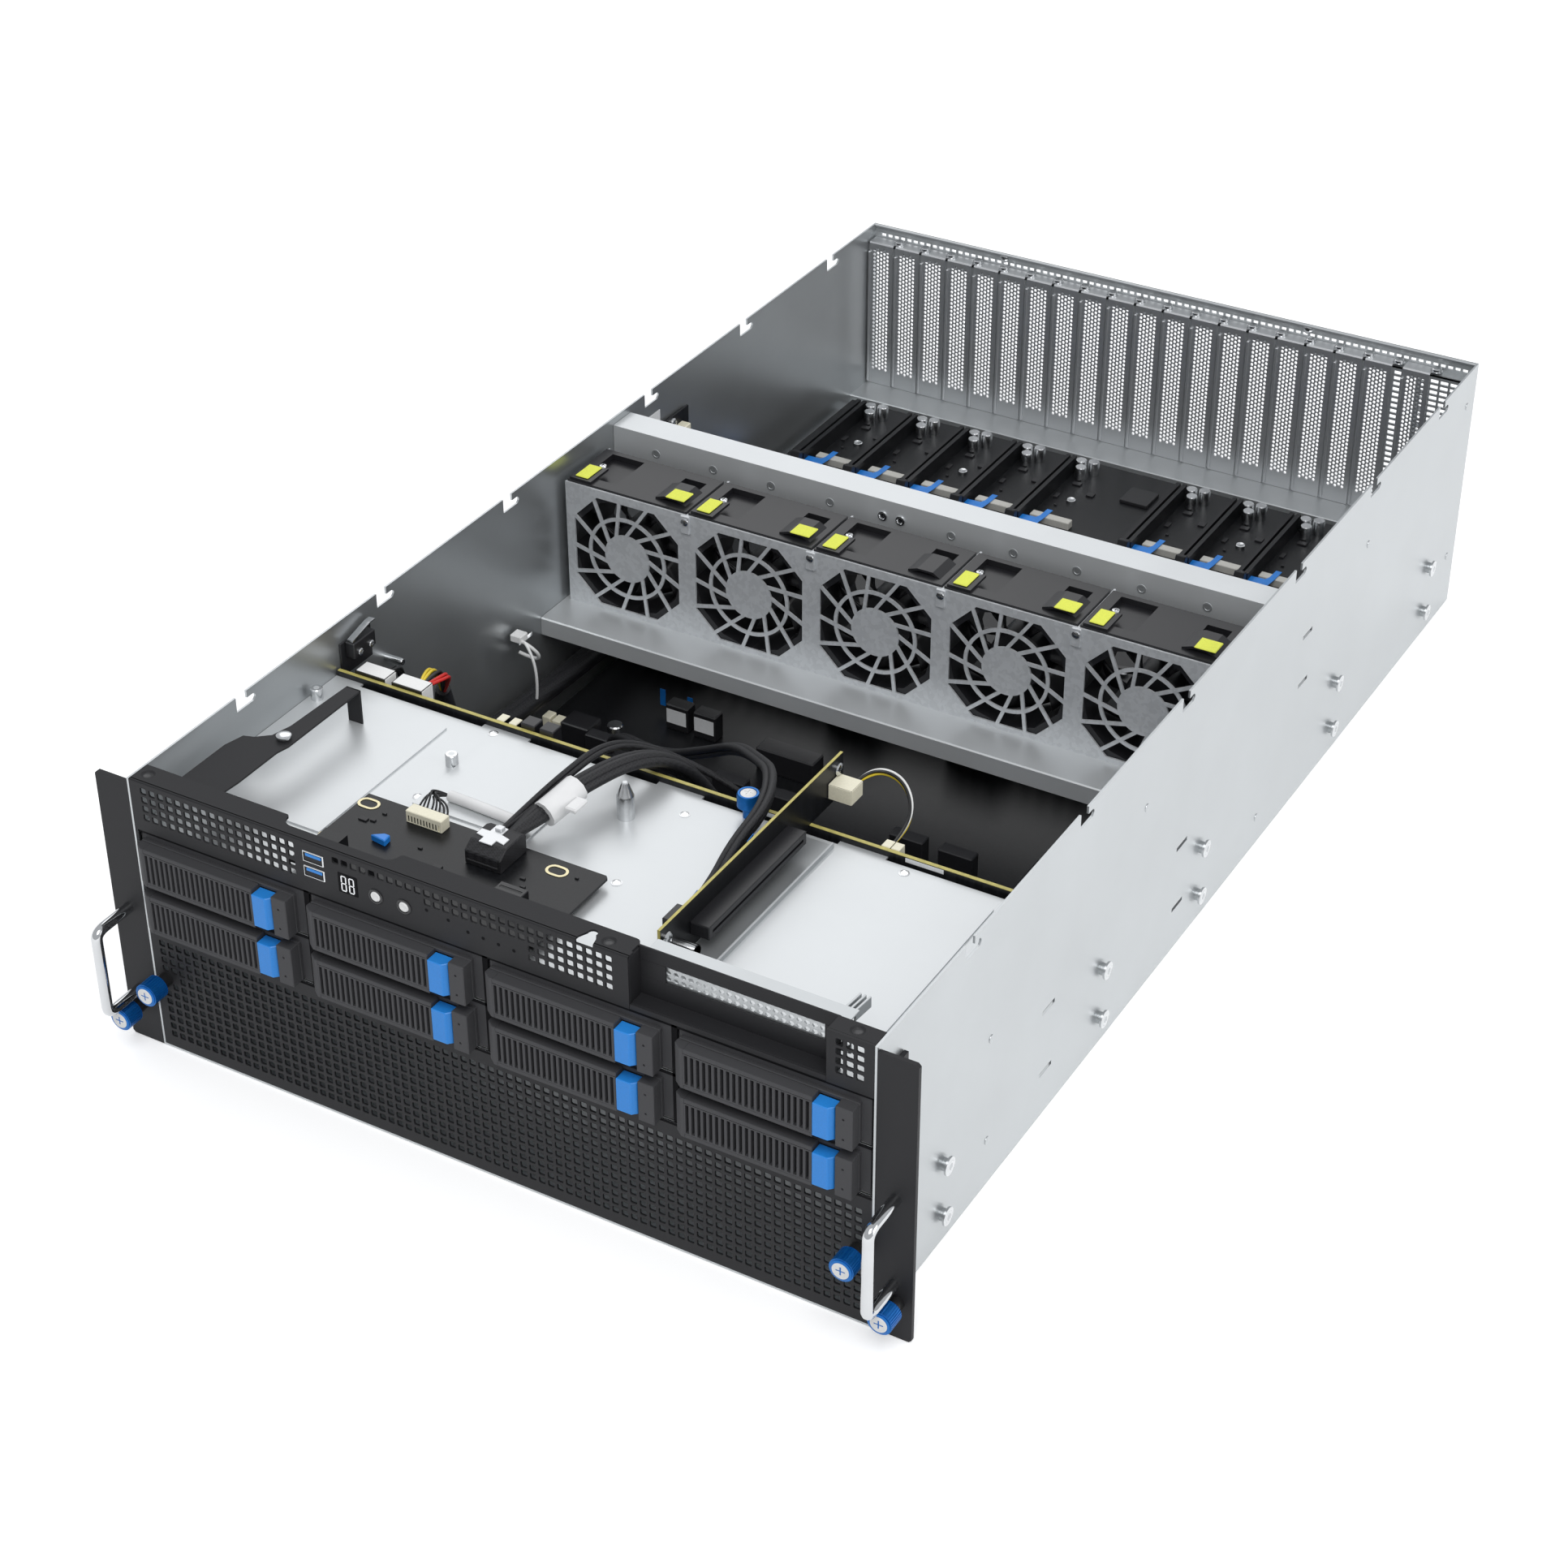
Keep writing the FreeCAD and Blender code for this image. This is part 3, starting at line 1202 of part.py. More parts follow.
def guard_openings(x):
    """Openings of one punched guard: a cut-cornered window less its hub, ring and swirled spokes."""
    z = FAN_AXIS_Z
    d0 = FAN_WALL_DEPTH - 1
    d1 = FAN_WALL_DEPTH + SHEET + 1
    half = GUARD_HALF
    straight = GUARD_HALF - GUARD_CORNER
    window = [
        (x - half, z - straight),
        (x - straight, z - half),
        (x + straight, z - half),
        (x + half, z - straight),
        (x + half, z + straight),
        (x + straight, z + half),
        (x - straight, z + half),
        (x - half, z + straight),
    ]
    hub = spoke_polygon(GUARD_HUB_RADIUS, x, d0, d1)
    ring_outer = spoke_polygon(GUARD_RING_RADIUS, x, d0, d1)
    ring_inner = spoke_polygon(GUARD_RING_RADIUS - GUARD_BAR, x, d0 - 1, d1 + 1)
    bars = [hub, ring_outer.cut(ring_inner)]
    reach = GUARD_HALF * 1.6
    for i in range(GUARD_SPOKES):
        spoke = plate_xz(
            [
                (x + GUARD_SWIRL - GUARD_BAR / 2, z),
                (x + GUARD_SWIRL + GUARD_BAR / 2, z),
                (x + GUARD_SWIRL + GUARD_BAR / 2, z + reach),
                (x + GUARD_SWIRL - GUARD_BAR / 2, z + reach),
            ],
            d0,
            d1,
        )
        spoke.rotate(Vector(x, 0, z), Vector(0, 1, 0), i * 360.0 / GUARD_SPOKES)
        bars.append(spoke)
    return plate_xz(window, d0 + 0.5, d1 - 0.5).cut(Part.makeCompound(bars))


def fan_wall():
    """Galvanised wall with five punched guards, standing on its folded beam, and the walls between fans."""
    centres = fan_centres()
    left = centres[0] - FAN_PITCH / 2
    right = centres[-1] + FAN_PITCH / 2
    wall = block(left, right, FAN_WALL_DEPTH, FAN_WALL_DEPTH + SHEET, FAN_FLOOR, FAN_WALL_TOP)
    wall = cut(wall, [guard_openings(x) for x in centres])
    rear = FAN_WALL_DEPTH + FAN_BAY_DEPTH
    beam = block(-INNER_X + SEAT, INNER_X - SEAT, FAN_BEAM_FRONT, rear, FAN_FLOOR - SHEET, FAN_FLOOR)
    lip = block(
        -INNER_X + SEAT,
        INNER_X - SEAT,
        FAN_BEAM_FRONT,
        FAN_BEAM_FRONT + SHEET,
        FAN_FLOOR - FAN_BEAM_DROP,
        FAN_FLOOR - SHEET,
    )
    sides = []
    for i in range(FAN_COUNT + 1):
        x = left + i * FAN_PITCH
        x0 = max(x - SHEET / 2, left)
        x1 = min(x + SHEET / 2, right)
        sides.append(block(x0, x1, FAN_WALL_DEPTH + SHEET, rear, FAN_FLOOR, FAN_WALL_TOP))
    return group([wall, fuse([beam, lip])] + sides)


def module_front():
    """Depth of the front face of a fan module."""
    return FAN_WALL_DEPTH + SHEET + RUNNING


def fan_module(x):
    """Fan frame with its bore, motor mount on struts, finger recesses and two pull tabs."""
    front = module_front()
    rear = front + MODULE_DEPTH
    bottom = FAN_FLOOR + RUNNING
    top = bottom + MODULE_HEIGHT
    half = MODULE_WIDTH / 2
    body = block(x - half, x + half, front, rear, bottom, top)
    bore = plate_xz(polygon_points(BORE_RADIUS, BORE_SIDES, x, FAN_AXIS_Z), front - 1, rear + 1)
    left = x - half
    recesses = []
    for near, far, rear_margin in (LEFT_RECESS, RIGHT_RECESS):
        recess_sides = (left + near, left + far)
        recess_span = (front + RECESS_FRONT, rear - rear_margin)
        recesses.append(block(*recess_sides, *recess_span, top - RECESS_DROP, top + 1))
    frame = cut(body, [bore] + recesses)
    mount_front = rear - MOTOR_DEPTH
    mount = plate_xz(polygon_points(ROTOR_HUB_RADIUS, HUB_SIDES, x, FAN_AXIS_Z), mount_front, rear)
    struts = []
    for angle in STRUT_ANGLES:
        strut_sides = (x - STRUT_WIDTH / 2, x + STRUT_WIDTH / 2)
        strut_tip = FAN_AXIS_Z + BORE_RADIUS + 1
        strut = block(*strut_sides, rear - STRUT_DEPTH, rear, FAN_AXIS_Z, strut_tip)
        strut.rotate(Vector(x, 0, FAN_AXIS_Z), Vector(0, 1, 0), angle)
        struts.append(strut)
    frame = fuse([frame, mount] + struts)
    tab_left = left + FLAT_TAB_PLACE[0]
    tab_front = front + FLAT_TAB_PLACE[1]
    flat_tab = block(tab_left, tab_left + TAB_WIDTH, tab_front, tab_front + TAB_DEPTH, top, top + TAB_SHEET)
    curve = [(left + CURVED_TAB_LEFT + dx, top + dz) for dx, dz in CURVED_TAB_OUTER + CURVED_TAB_INNER]
    curved_front = front + CURVED_TAB_FRONT
    curved_tab = plate_xz(curve, curved_front, curved_front + TAB_DEPTH)
    return fuse([frame, flat_tab, curved_tab])


def fan_rotor(x):
    """Hub with pitched blades, just ahead of the motor mount."""
    hub_rear = module_front() + MODULE_DEPTH - MOTOR_DEPTH - RUNNING
    hub_front = hub_rear - ROTOR_DEPTH
    hub = plate_xz(polygon_points(ROTOR_HUB_RADIUS, HUB_SIDES, x, FAN_AXIS_Z), hub_front, hub_rear)
    middle = (hub_front + hub_rear) / 2
    root = FAN_AXIS_Z + ROTOR_HUB_RADIUS * math.cos(math.pi / HUB_SIDES) - 1
    tip = FAN_AXIS_Z + math.sqrt(ROTOR_RADIUS**2 - (TIP_CHORD * TIP_REAR_SHARE) ** 2)
    blades = []
    for i in range(ROTOR_BLADES):
        outline = [
            (middle - ROOT_CHORD / 2, root),
            (middle + ROOT_CHORD / 2, root),
            (middle + TIP_CHORD * TIP_REAR_SHARE, tip),
            (middle - TIP_CHORD * (1 - TIP_REAR_SHARE), tip),
        ]
        blade = plate_dz(outline, x - BLADE_THICKNESS / 2, x + BLADE_THICKNESS / 2)
        blade.rotate(Vector(x, FRONT + middle, FAN_AXIS_Z), Vector(0, 0, 1), 90 - BLADE_PITCH_DEG)
        blade.rotate(Vector(x, 0, FAN_AXIS_Z), Vector(0, 1, 0), 90 + (i + 0.5) * 360.0 / ROTOR_BLADES)
        blades.append(blade)
    return fuse([hub] + blades)


def cross_beam():
    """Folded channel behind the fans that stiffens the walls."""
    rear = CROSS_BEAM_FRONT + CROSS_BEAM_DEPTH
    top = CROSS_BEAM_TOP
    profile = [
        (CROSS_BEAM_FRONT, top),
        (rear, top),
        (rear, top - CROSS_BEAM_FACE / 2),
        (rear - SHEET, top - CROSS_BEAM_FACE / 2),
        (rear - SHEET, top - SHEET),
        (CROSS_BEAM_FRONT + SHEET, top - SHEET),
        (CROSS_BEAM_FRONT + SHEET, top - CROSS_BEAM_FACE),
        (CROSS_BEAM_FRONT, top - CROSS_BEAM_FACE),
    ]
    return plate_dz(profile, -INNER_X + SEAT, INNER_X - SEAT)


def gpu_slot_centres():
    """Centre x of the eight card connectors, on double-width slots."""
    return [GPU_SLOT_FIRST_X + step * SLOT_PITCH for step in GPU_SLOT_STEPS]


def gpu_board():
    """Board on the GPU deck with eight card connectors, cable sockets, capacitors and standoffs."""
    top = GPU_BOARD_BOTTOM + BOARD
    board = block(-GPU_BOARD_HALF, GPU_BOARD_HALF, GPU_BOARD_FRONT, GPU_BOARD_REAR, GPU_BOARD_BOTTOM, top)
    pieces = []
    for x in gpu_slot_centres():
        pieces.append(slot_body(x, GPU_SLOT_FRONT, GPU_SLOT_FRONT + GPU_SLOT_LENGTH, top))
        feed_left = x + FEED_OFFSET - FEED_WIDTH / 2
        feed_rear = FEED_FRONT + FEED_DEPTH
        pieces.append(block(feed_left, feed_left + FEED_WIDTH, FEED_FRONT, feed_rear, top, top + FEED_HEIGHT))
    posts = []
    inset = GPU_POST_INSET
    for x in (-GPU_BOARD_HALF + inset, 0, GPU_BOARD_HALF - inset):
        for d in (GPU_BOARD_FRONT + inset, GPU_BOARD_REAR - inset):
            posts.append(plate_xd(polygon_points(STANDOFF_RADIUS, 6, x, d), SHELF_TOP, GPU_BOARD_BOTTOM))
    return group([board, *pieces, *posts])


def cooler(x):
    """Finned processor cooler on its base."""
    top = MAIN_BOARD_BOTTOM + BOARD
    x0 = x - COOLER_WIDTH / 2
    pitch = (COOLER_WIDTH - COOLER_FIN) / (COOLER_FINS - 1)
    points = [(x0, top), (x0, top + COOLER_BASE + COOLER_FIN_HEIGHT)]
    for i in range(COOLER_FINS):
        fin_left = x0 + i * pitch
        if i > 0:
            points.append((fin_left, top + COOLER_BASE))
            points.append((fin_left, top + COOLER_BASE + COOLER_FIN_HEIGHT))
        points.append((fin_left + COOLER_FIN, top + COOLER_BASE + COOLER_FIN_HEIGHT))
        if i < COOLER_FINS - 1:
            points.append((fin_left + COOLER_FIN, top + COOLER_BASE))
    points.append((x0 + COOLER_WIDTH, top))
    return plate_xz(points, COOLER_FRONT, COOLER_FRONT + COOLER_LENGTH)


def cable_socket(x, d, z0, z1):
    """Upright rectangular socket or plug around a cable's end."""
    return block(
        x - SOCKET_HALF_WIDTH, x + SOCKET_HALF_WIDTH, d - SOCKET_HALF_DEPTH, d + SOCKET_HALF_DEPTH, z0, z1
    )


def motherboard():
    """Main board in the lower tunnel with two coolers, memory banks and cable sockets."""
    top = MAIN_BOARD_BOTTOM + BOARD
    board = block(
        -MAIN_BOARD_HALF, MAIN_BOARD_HALF, MAIN_BOARD_FRONT, MAIN_BOARD_REAR, MAIN_BOARD_BOTTOM, top
    )
    pieces = [cooler(-COOLER_X), cooler(COOLER_X)]
    bank_width = MEMORY_PITCH * (MEMORY_PER_BANK - 1) + MEMORY_THICKNESS
    for side in (-COOLER_X, COOLER_X):
        near = COOLER_WIDTH / 2 + MEMORY_GAP
        for bank_left in (side - near - bank_width, side + near):
            for i in range(MEMORY_PER_BANK):
                x = bank_left + i * MEMORY_PITCH
                rear = MEMORY_FRONT + MEMORY_LENGTH
                pieces.append(block(x, x + MEMORY_THICKNESS, MEMORY_FRONT, rear, top, top + MEMORY_HEIGHT))
    for x, d, _ in (MAIN_ROUTE[-1], STRAND_ROUTE[-1], RISER_ROUTE[-1]):
        pieces.append(cable_socket(x, d, top, top + SOCKET_HEIGHT))
    supply_front = CHASSIS_DEPTH + SUPPLY_PROUD - SUPPLY_LENGTH
    board_rear = supply_front - RUNNING - POWER_CONNECTOR_DEPTH
    for left in (-INNER_X + POWER_BOARD_GAP, POWER_BOARD_INNER):
        right = left + INNER_X - POWER_BOARD_GAP - POWER_BOARD_INNER
        pieces.append(block(left, right, board_rear - BOARD, board_rear, SHEET, POWER_BOARD_TOP))
    for x in supply_centres():
        half = SUPPLY_WIDTH / 4
        connector_rear = board_rear + POWER_CONNECTOR_DEPTH
        pieces.append(block(x - half, x + half, board_rear, connector_rear, *POWER_CONNECTOR_HEIGHTS))
    power_x, power_d, power_z = POWER_ROUTE[-1]
    inlet_left = -INNER_X + 2 * POWER_BOARD_GAP
    inlet_right = power_x + POWER_INLET_MARGIN
    inlet_low = power_z - POWER_INLET_MARGIN
    inlet_high = power_z + POWER_INLET_MARGIN
    pieces.append(block(inlet_left, inlet_right, power_d, board_rear - BOARD, inlet_low, inlet_high))
    posts = []
    inset = MAIN_POST_INSET
    for x in (-MAIN_BOARD_HALF + inset, MAIN_BOARD_HALF - inset):
        for d in (MAIN_BOARD_FRONT + inset, MAIN_BOARD_REAR - inset):
            posts.append(plate_xd(polygon_points(STANDOFF_RADIUS, 6, x, d), SHEET, MAIN_BOARD_BOTTOM))
    return group([board, *pieces, *posts])


def power_supply(x):
    """Plug-in power supply with a fan grille, mains inlet, release tab and pull handle."""
    half = SUPPLY_WIDTH / 2
    bottom = SHEET + RUNNING
    top = bottom + SUPPLY_HEIGHT
    rear = CHASSIS_DEPTH + SUPPLY_PROUD
    case = block(x - half, x + half, rear - SUPPLY_LENGTH, rear, bottom, top)
    left = x - half
    inlet_left, inlet_right, inlet_low, inlet_high = SUPPLY_INLET
    inlet_front = rear - SUPPLY_INLET_DEPTH
    inlet_heights = (bottom + inlet_low, bottom + inlet_high)
    inlet = block(left + inlet_left, left + inlet_right, inlet_front, rear + 1, *inlet_heights)
    vent_left, vent_right = SUPPLY_VENT
    intake = openings_grid(
        left + vent_left,
        left + vent_right,
        bottom + vent_left,
        top - vent_left,
        SUPPLY_VENT_COLUMNS,
        SUPPLY_VENT_ROWS,
        SUPPLY_VENT_BAR,
        rear - 2,
        rear + 1,
    )
    case = cut(case, [inlet] + intake)
    reach = rear + SUPPLY_HANDLE_REACH
    near, far = SUPPLY_HANDLE_SPAN
    bar = SUPPLY_HANDLE_BAR
    handle = [
        (left + near, rear),
        (left + near, reach),
        (left + far, reach),
        (left + far, rear),
        (left + far - bar, rear),
        (left + far - bar, reach - bar),
        (left + near + bar, reach - bar),
        (left + near + bar, rear),
    ]
    loop_low = top - SUPPLY_HANDLE_DROP
    loop = plate_xd(handle, loop_low, loop_low + bar)
    tab_left, tab_right = SUPPLY_TAB_SPAN
    tab_low = top - SUPPLY_TAB_DROP
    tab_sides = (left + tab_left, left + tab_right)
    tab = block(*tab_sides, rear, rear + SUPPLY_TAB_REACH, tab_low, tab_low + SUPPLY_TAB_SHEET)
    return fuse([case, loop, tab])


def rack_ears():
    """Angled rack ears with clipped outer corners, screwed to both walls."""
    inner = WALL_X + EAR_GAP
    corner = EAR_CORNER
    face = plate_xz(
        [
            (inner, 0),
            (EAR_OUTER_X - corner, 0),
            (EAR_OUTER_X, corner),
            (EAR_OUTER_X, EAR_HEIGHT - corner),
            (EAR_OUTER_X - corner, EAR_HEIGHT),
            (inner, EAR_HEIGHT),
        ],
        0,
        EAR_SHEET,
    )
    flange_top = EAR_HEIGHT - EAR_FLANGE_MARGIN
    flange = block(inner, inner + EAR_SHEET, 0, EAR_FLANGE_DEPTH, EAR_FLANGE_MARGIN, flange_top)
    hole_points = polygon_points(THUMB_SHAFT_RADIUS + BUTTON_CLEARANCE, THUMB_SIDES, RACK_HOLE_X, RACK_HOLE_Z)
    hole = plate_xz(hole_points, -1, EAR_SHEET + 1)
    ear = cut(fuse([face, flange]), [hole])
    return group([ear, mirror_x(ear)])


def ear_handle():
    """Bent rod handle with two feet on the ear."""
    reach = HANDLE_REACH - HANDLE_RADIUS
    low = HANDLE_LOW_Z
    high = HANDLE_HIGH_Z
    bend = HANDLE_BEND
    root_half = math.sqrt(0.5)
    start = Vector(HANDLE_X, FRONT, low)
    a = Vector(HANDLE_X, FRONT - reach + bend, low)
    a_mid = Vector(HANDLE_X, FRONT - reach + bend - bend * root_half, low + bend - bend * root_half)
    b = Vector(HANDLE_X, FRONT - reach, low + bend)
    c = Vector(HANDLE_X, FRONT - reach, high - bend)
    c_mid = Vector(HANDLE_X, FRONT - reach + bend - bend * root_half, high - bend + bend * root_half)
    e = Vector(HANDLE_X, FRONT - reach + bend, high)
    end = Vector(HANDLE_X, FRONT, high)
    edges = [
        Part.LineSegment(start, a).toShape(),
        Part.Arc(a, a_mid, b).toShape(),
        Part.LineSegment(b, c).toShape(),
        Part.Arc(c, c_mid, e).toShape(),
        Part.LineSegment(e, end).toShape(),
    ]
    path = Part.Wire(edges)
    ring = polygon_points(HANDLE_RADIUS, HANDLE_SIDES, HANDLE_X, low, 22.5)
    corners = [Vector(x, FRONT, z) for x, z in ring]
    return path.makePipe(Part.Face(Part.makePolygon(corners + corners[:1])))


def ear_handles():
    """Handle on each ear."""
    right = ear_handle()
    return group([right, mirror_x(right)])


def thumbscrew(x, z):
    """Captive thumbscrew on the front plane: neck and many-sided head."""
    neck_front = -THUMB_NECK_LENGTH
    neck = plate_xz(polygon_points(THUMB_NECK_RADIUS, THUMB_SIDES, x, z), neck_front, 0)
    head_points = polygon_points(THUMB_HEAD_RADIUS, THUMB_SIDES, x, z)
    head = plate_xz(head_points, neck_front - THUMB_HEAD_LENGTH, neck_front)
    return fuse([neck, head])


def thumbscrews():
    """Two rack screws with waisted shafts in the ears, two that hold the front panel, one on the deck."""
    waist_length = EAR_SHEET + SEAT
    waist = pin(THUMB_WAIST_RADIUS, waist_length, RACK_HOLE_X, 0, RACK_HOLE_Z, Vector(0, 1, 0))
    rearward = Vector(0, 1, 0)
    thread = pin(THUMB_SHAFT_RADIUS, THUMB_THREAD_LENGTH, RACK_HOLE_X, waist_length, RACK_HOLE_Z, rearward)
    rack = fuse([thumbscrew(RACK_HOLE_X, RACK_HOLE_Z), waist, thread])
    panel = thumbscrew(PANEL_THUMB_X, PANEL_THUMB_Z)
    x, d = DECK_KNOB_PLACE
    knob_bottom = DECK_TOP + DECK_KNOB_STEM
    stem = plate_xd(polygon_points(DECK_KNOB_STEM_RADIUS, THUMB_SIDES, x, d), DECK_TOP, knob_bottom)
    knob_points = polygon_points(DECK_KNOB_RADIUS, THUMB_SIDES, x, d)
    knob = plate_xd(knob_points, knob_bottom, knob_bottom + DECK_KNOB_HEIGHT)
    return group([rack, mirror_x(rack), panel, mirror_x(panel), fuse([stem, knob])])


def cover_switch():
    """Housing of the cover switch, on its plate at the left wall."""
    x0 = -INNER_X
    rear = SWITCH_DEPTH + SWITCH_LENGTH
    margin = SWITCH_PLATE_MARGIN
    plate = block(x0, x0 + SHEET, SWITCH_DEPTH - margin, rear + margin, SWITCH_BOTTOM - margin, SWITCH_TOP)
    housing = block(x0 + SHEET, x0 + SHEET + SWITCH_THICKNESS, SWITCH_DEPTH, rear, SWITCH_BOTTOM, SWITCH_TOP)
    return fuse([plate, housing])


def switch_lever():
    """Thin sprung lever above the switch, with its roller end to the rear."""
    x0 = -INNER_X + SHEET + SWITCH_LEVER_INSET
    x1 = x0 + SWITCH_THICKNESS - 2 * SWITCH_LEVER_INSET
    low = SWITCH_TOP + RUNNING
    rise = low + SWITCH_LEVER_RISE
    sheet = SWITCH_LEVER_SHEET
    rear = SWITCH_DEPTH + SWITCH_LENGTH
    end = SWITCH_LEVER_END
    arm = plate_dz(
        [
            (SWITCH_DEPTH + 1, low),
            (SWITCH_DEPTH + 2, low),
            (rear - end, rise),
            (rear + end, rise),
            (rear + end, rise + sheet),
            (rear - end - 0.4, rise + sheet),
            (SWITCH_DEPTH + 1, low + sheet + 0.4),
        ],
        x0,
        x1,
    )
    return arm


def route_path(points):
    """Straight runs joined by tangent arcs, each as large as its two runs allow."""
    nodes = [Vector(x, FRONT + d, z) for x, d, z in points]
    edges = []
    radii = []
    last = nodes[0]
    for i in range(1, len(nodes) - 1):
        before = nodes[i] - nodes[i - 1]
        after = nodes[i + 1] - nodes[i]
        turn = before.getAngle(after)
        trim = CABLE_BEND_SHARE * min(before.Length, after.Length)
        bend = trim / math.tan(turn / 2)
        u = Vector(before).normalize()
        v = Vector(after).normalize()
        start = nodes[i] - u * trim
        end = nodes[i] + v * trim
        inward = (v - u).normalize()
        centre = nodes[i] + inward * (bend / math.cos(turn / 2))
        middle = centre - inward * bend
        edges.append(Part.LineSegment(last, start).toShape())
        edges.append(Part.Arc(start, middle, end).toShape())
        radii.append(bend)
        last = end
    edges.append(Part.LineSegment(last, nodes[-1]).toShape())
    print("cable radii", [round(value, 1) for value in radii])
    return Part.Wire(edges)


def route_tube(points, radius):
    """Cable bundle as a tube of few sides along its route, with the volume of a round one."""
    path = route_path(points)
    start = Vector(points[0][0], FRONT + points[0][1], points[0][2])
    heading = (Vector(points[1][0], FRONT + points[1][1], points[1][2]) - start).normalize()
    across = heading.cross(Vector(0, 0, 1)).normalize()
    upward = across.cross(heading)
    step = 2 * math.pi / CABLE_SIDES
    reach = radius * math.sqrt(step / math.sin(step))
    corners = []
    for i in range(CABLE_SIDES):
        angle = (i + 0.5) * step
        corners.append(start + across * (reach * math.cos(angle)) + upward * (reach * math.sin(angle)))
    ring = Part.makePolygon(corners + corners[:1])
    tube = path.makePipe(Part.Face(ring))
    if tube.Volume < 0:
        tube.reverse()
    share = tube.Volume / (math.pi * radius**2 * path.Length)
    print("cable length", round(path.Length, 1), "volume share", round(share, 4), len(tube.Solids))
    return tube


def cables():
    """Signal and power cables between the boards, with the plugs on their ends."""
    board_top = board_bottom() + THIN_BOARD
    x0, x1, d0, d1 = PORT_PLUG
    pieces = [block(x0, x1, d0, d1, board_top, board_top + PORT_PLUG_HEIGHT)]
    pieces.append(route_tube(MAIN_ROUTE, MAIN_ROUTE_RADIUS))
    pieces.append(route_tube(STRAND_ROUTE, STRAND_ROUTE_RADIUS))
    pieces.append(route_tube(RISER_ROUTE, RISER_ROUTE_RADIUS))
    pieces.append(route_tube(POWER_ROUTE, POWER_ROUTE_RADIUS))
    pieces.append(route_tube(SECOND_POWER_ROUTE, SECOND_POWER_RADIUS))
    pieces.append(route_tube(WIRE_ROUTE, WIRE_RADIUS))
    for x, d, z in (MAIN_ROUTE[-1], STRAND_ROUTE[-1], RISER_ROUTE[-1]):
        pieces.append(cable_socket(x, d, z - PLUG_HEIGHT, z))
    return group(pieces)


def build():
    """Every sub-part by node name."""
    parts = {
        "chassis_pan": chassis_pan(),
        "rear_panel": rear_panel(),
        "slot_covers": slot_covers(),
        "front_grille": front_grille(),
        "front_io_panel": front_io_panel(),
        "power_button": front_button(POWER_BUTTON_X),
        "locate_button": front_button(LOCATE_BUTTON_X),
        "drive_cage": drive_cage(),
        "drive_backplane": drive_backplane(),
        "front_io_board": front_io_board(),
        "riser_card": riser_card(),
        "riser_bay": riser_bay(),
        "fan_wall": fan_wall(),
        "cross_beam": cross_beam(),
        "gpu_board": gpu_board(),
        "motherboard": motherboard(),
        "rack_ears": rack_ears(),
        "ear_handles": ear_handles(),
        "thumbscrews": thumbscrews(),
        "cover_switch": cover_switch(),
        "switch_lever": switch_lever(),
        "cables": cables(),
    }
    number = 0
    for row in range(CAGE_ROWS):
        for column in range(CAGE_COLUMNS):
            number += 1
            parts[f"tray_{number}"] = tray(column, row)
            parts[f"tray_lever_{number}"] = tray_lever(column, row)
            parts[f"tray_latch_{number}"] = tray_latch(column, row)
    for number, x in enumerate(fan_centres(), start=1):
        parts[f"fan_module_{number}"] = fan_module(x)
        parts[f"fan_rotor_{number}"] = fan_rotor(x)
    for number, x in enumerate(supply_centres(), start=1):
        parts[f"power_supply_{number}"] = power_supply(x)
    return parts


def main():
    """Write one STEP file for each sub-part."""
    os.makedirs("parts", exist_ok=True)
    for name, shape in build().items():
        shape.exportStep(f"parts/{name}.step")
        print(name, len(shape.Solids), round(shape.Volume), shape.isValid())


if __name__ == "__main__":
    main()
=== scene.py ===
"""Looks of a four-unit rack server with drive trays, a guarded fan wall and a GPU bay.

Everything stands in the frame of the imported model, in metres. Sizes in the classes are
in millimetres: x to the right of the centre plane, depth from the front plane, and
height above the underside.
"""

import json
import logging
import math
from collections.abc import Callable, Iterable, Iterator, Sequence
from contextlib import contextmanager
from dataclasses import dataclass
from enum import Enum

import bpy
from mathutils import Euler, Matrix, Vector

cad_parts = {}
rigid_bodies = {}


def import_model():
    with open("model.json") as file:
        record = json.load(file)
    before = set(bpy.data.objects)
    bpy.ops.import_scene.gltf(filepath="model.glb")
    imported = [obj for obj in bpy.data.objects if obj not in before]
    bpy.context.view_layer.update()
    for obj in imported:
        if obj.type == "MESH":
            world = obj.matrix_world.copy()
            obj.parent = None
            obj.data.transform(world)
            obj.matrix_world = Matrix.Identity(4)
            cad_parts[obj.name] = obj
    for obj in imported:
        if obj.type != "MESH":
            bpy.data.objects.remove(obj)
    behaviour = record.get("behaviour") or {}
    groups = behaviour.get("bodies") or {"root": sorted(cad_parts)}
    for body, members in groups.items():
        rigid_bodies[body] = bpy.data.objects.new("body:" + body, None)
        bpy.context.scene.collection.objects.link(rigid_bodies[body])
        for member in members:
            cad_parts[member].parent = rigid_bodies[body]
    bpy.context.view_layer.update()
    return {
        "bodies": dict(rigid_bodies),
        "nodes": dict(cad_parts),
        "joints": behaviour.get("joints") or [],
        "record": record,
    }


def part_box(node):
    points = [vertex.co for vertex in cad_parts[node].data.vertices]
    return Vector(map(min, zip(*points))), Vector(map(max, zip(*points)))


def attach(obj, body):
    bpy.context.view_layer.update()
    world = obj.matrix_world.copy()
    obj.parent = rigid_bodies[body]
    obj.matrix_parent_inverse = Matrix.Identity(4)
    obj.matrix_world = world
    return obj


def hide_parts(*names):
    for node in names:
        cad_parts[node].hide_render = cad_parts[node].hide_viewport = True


LOG = logging.getLogger("server")
MM = 0.001
# Depth of the frame's origin behind the front plane.
FRONT = 400.0
ROOT_BODY = "chassis"
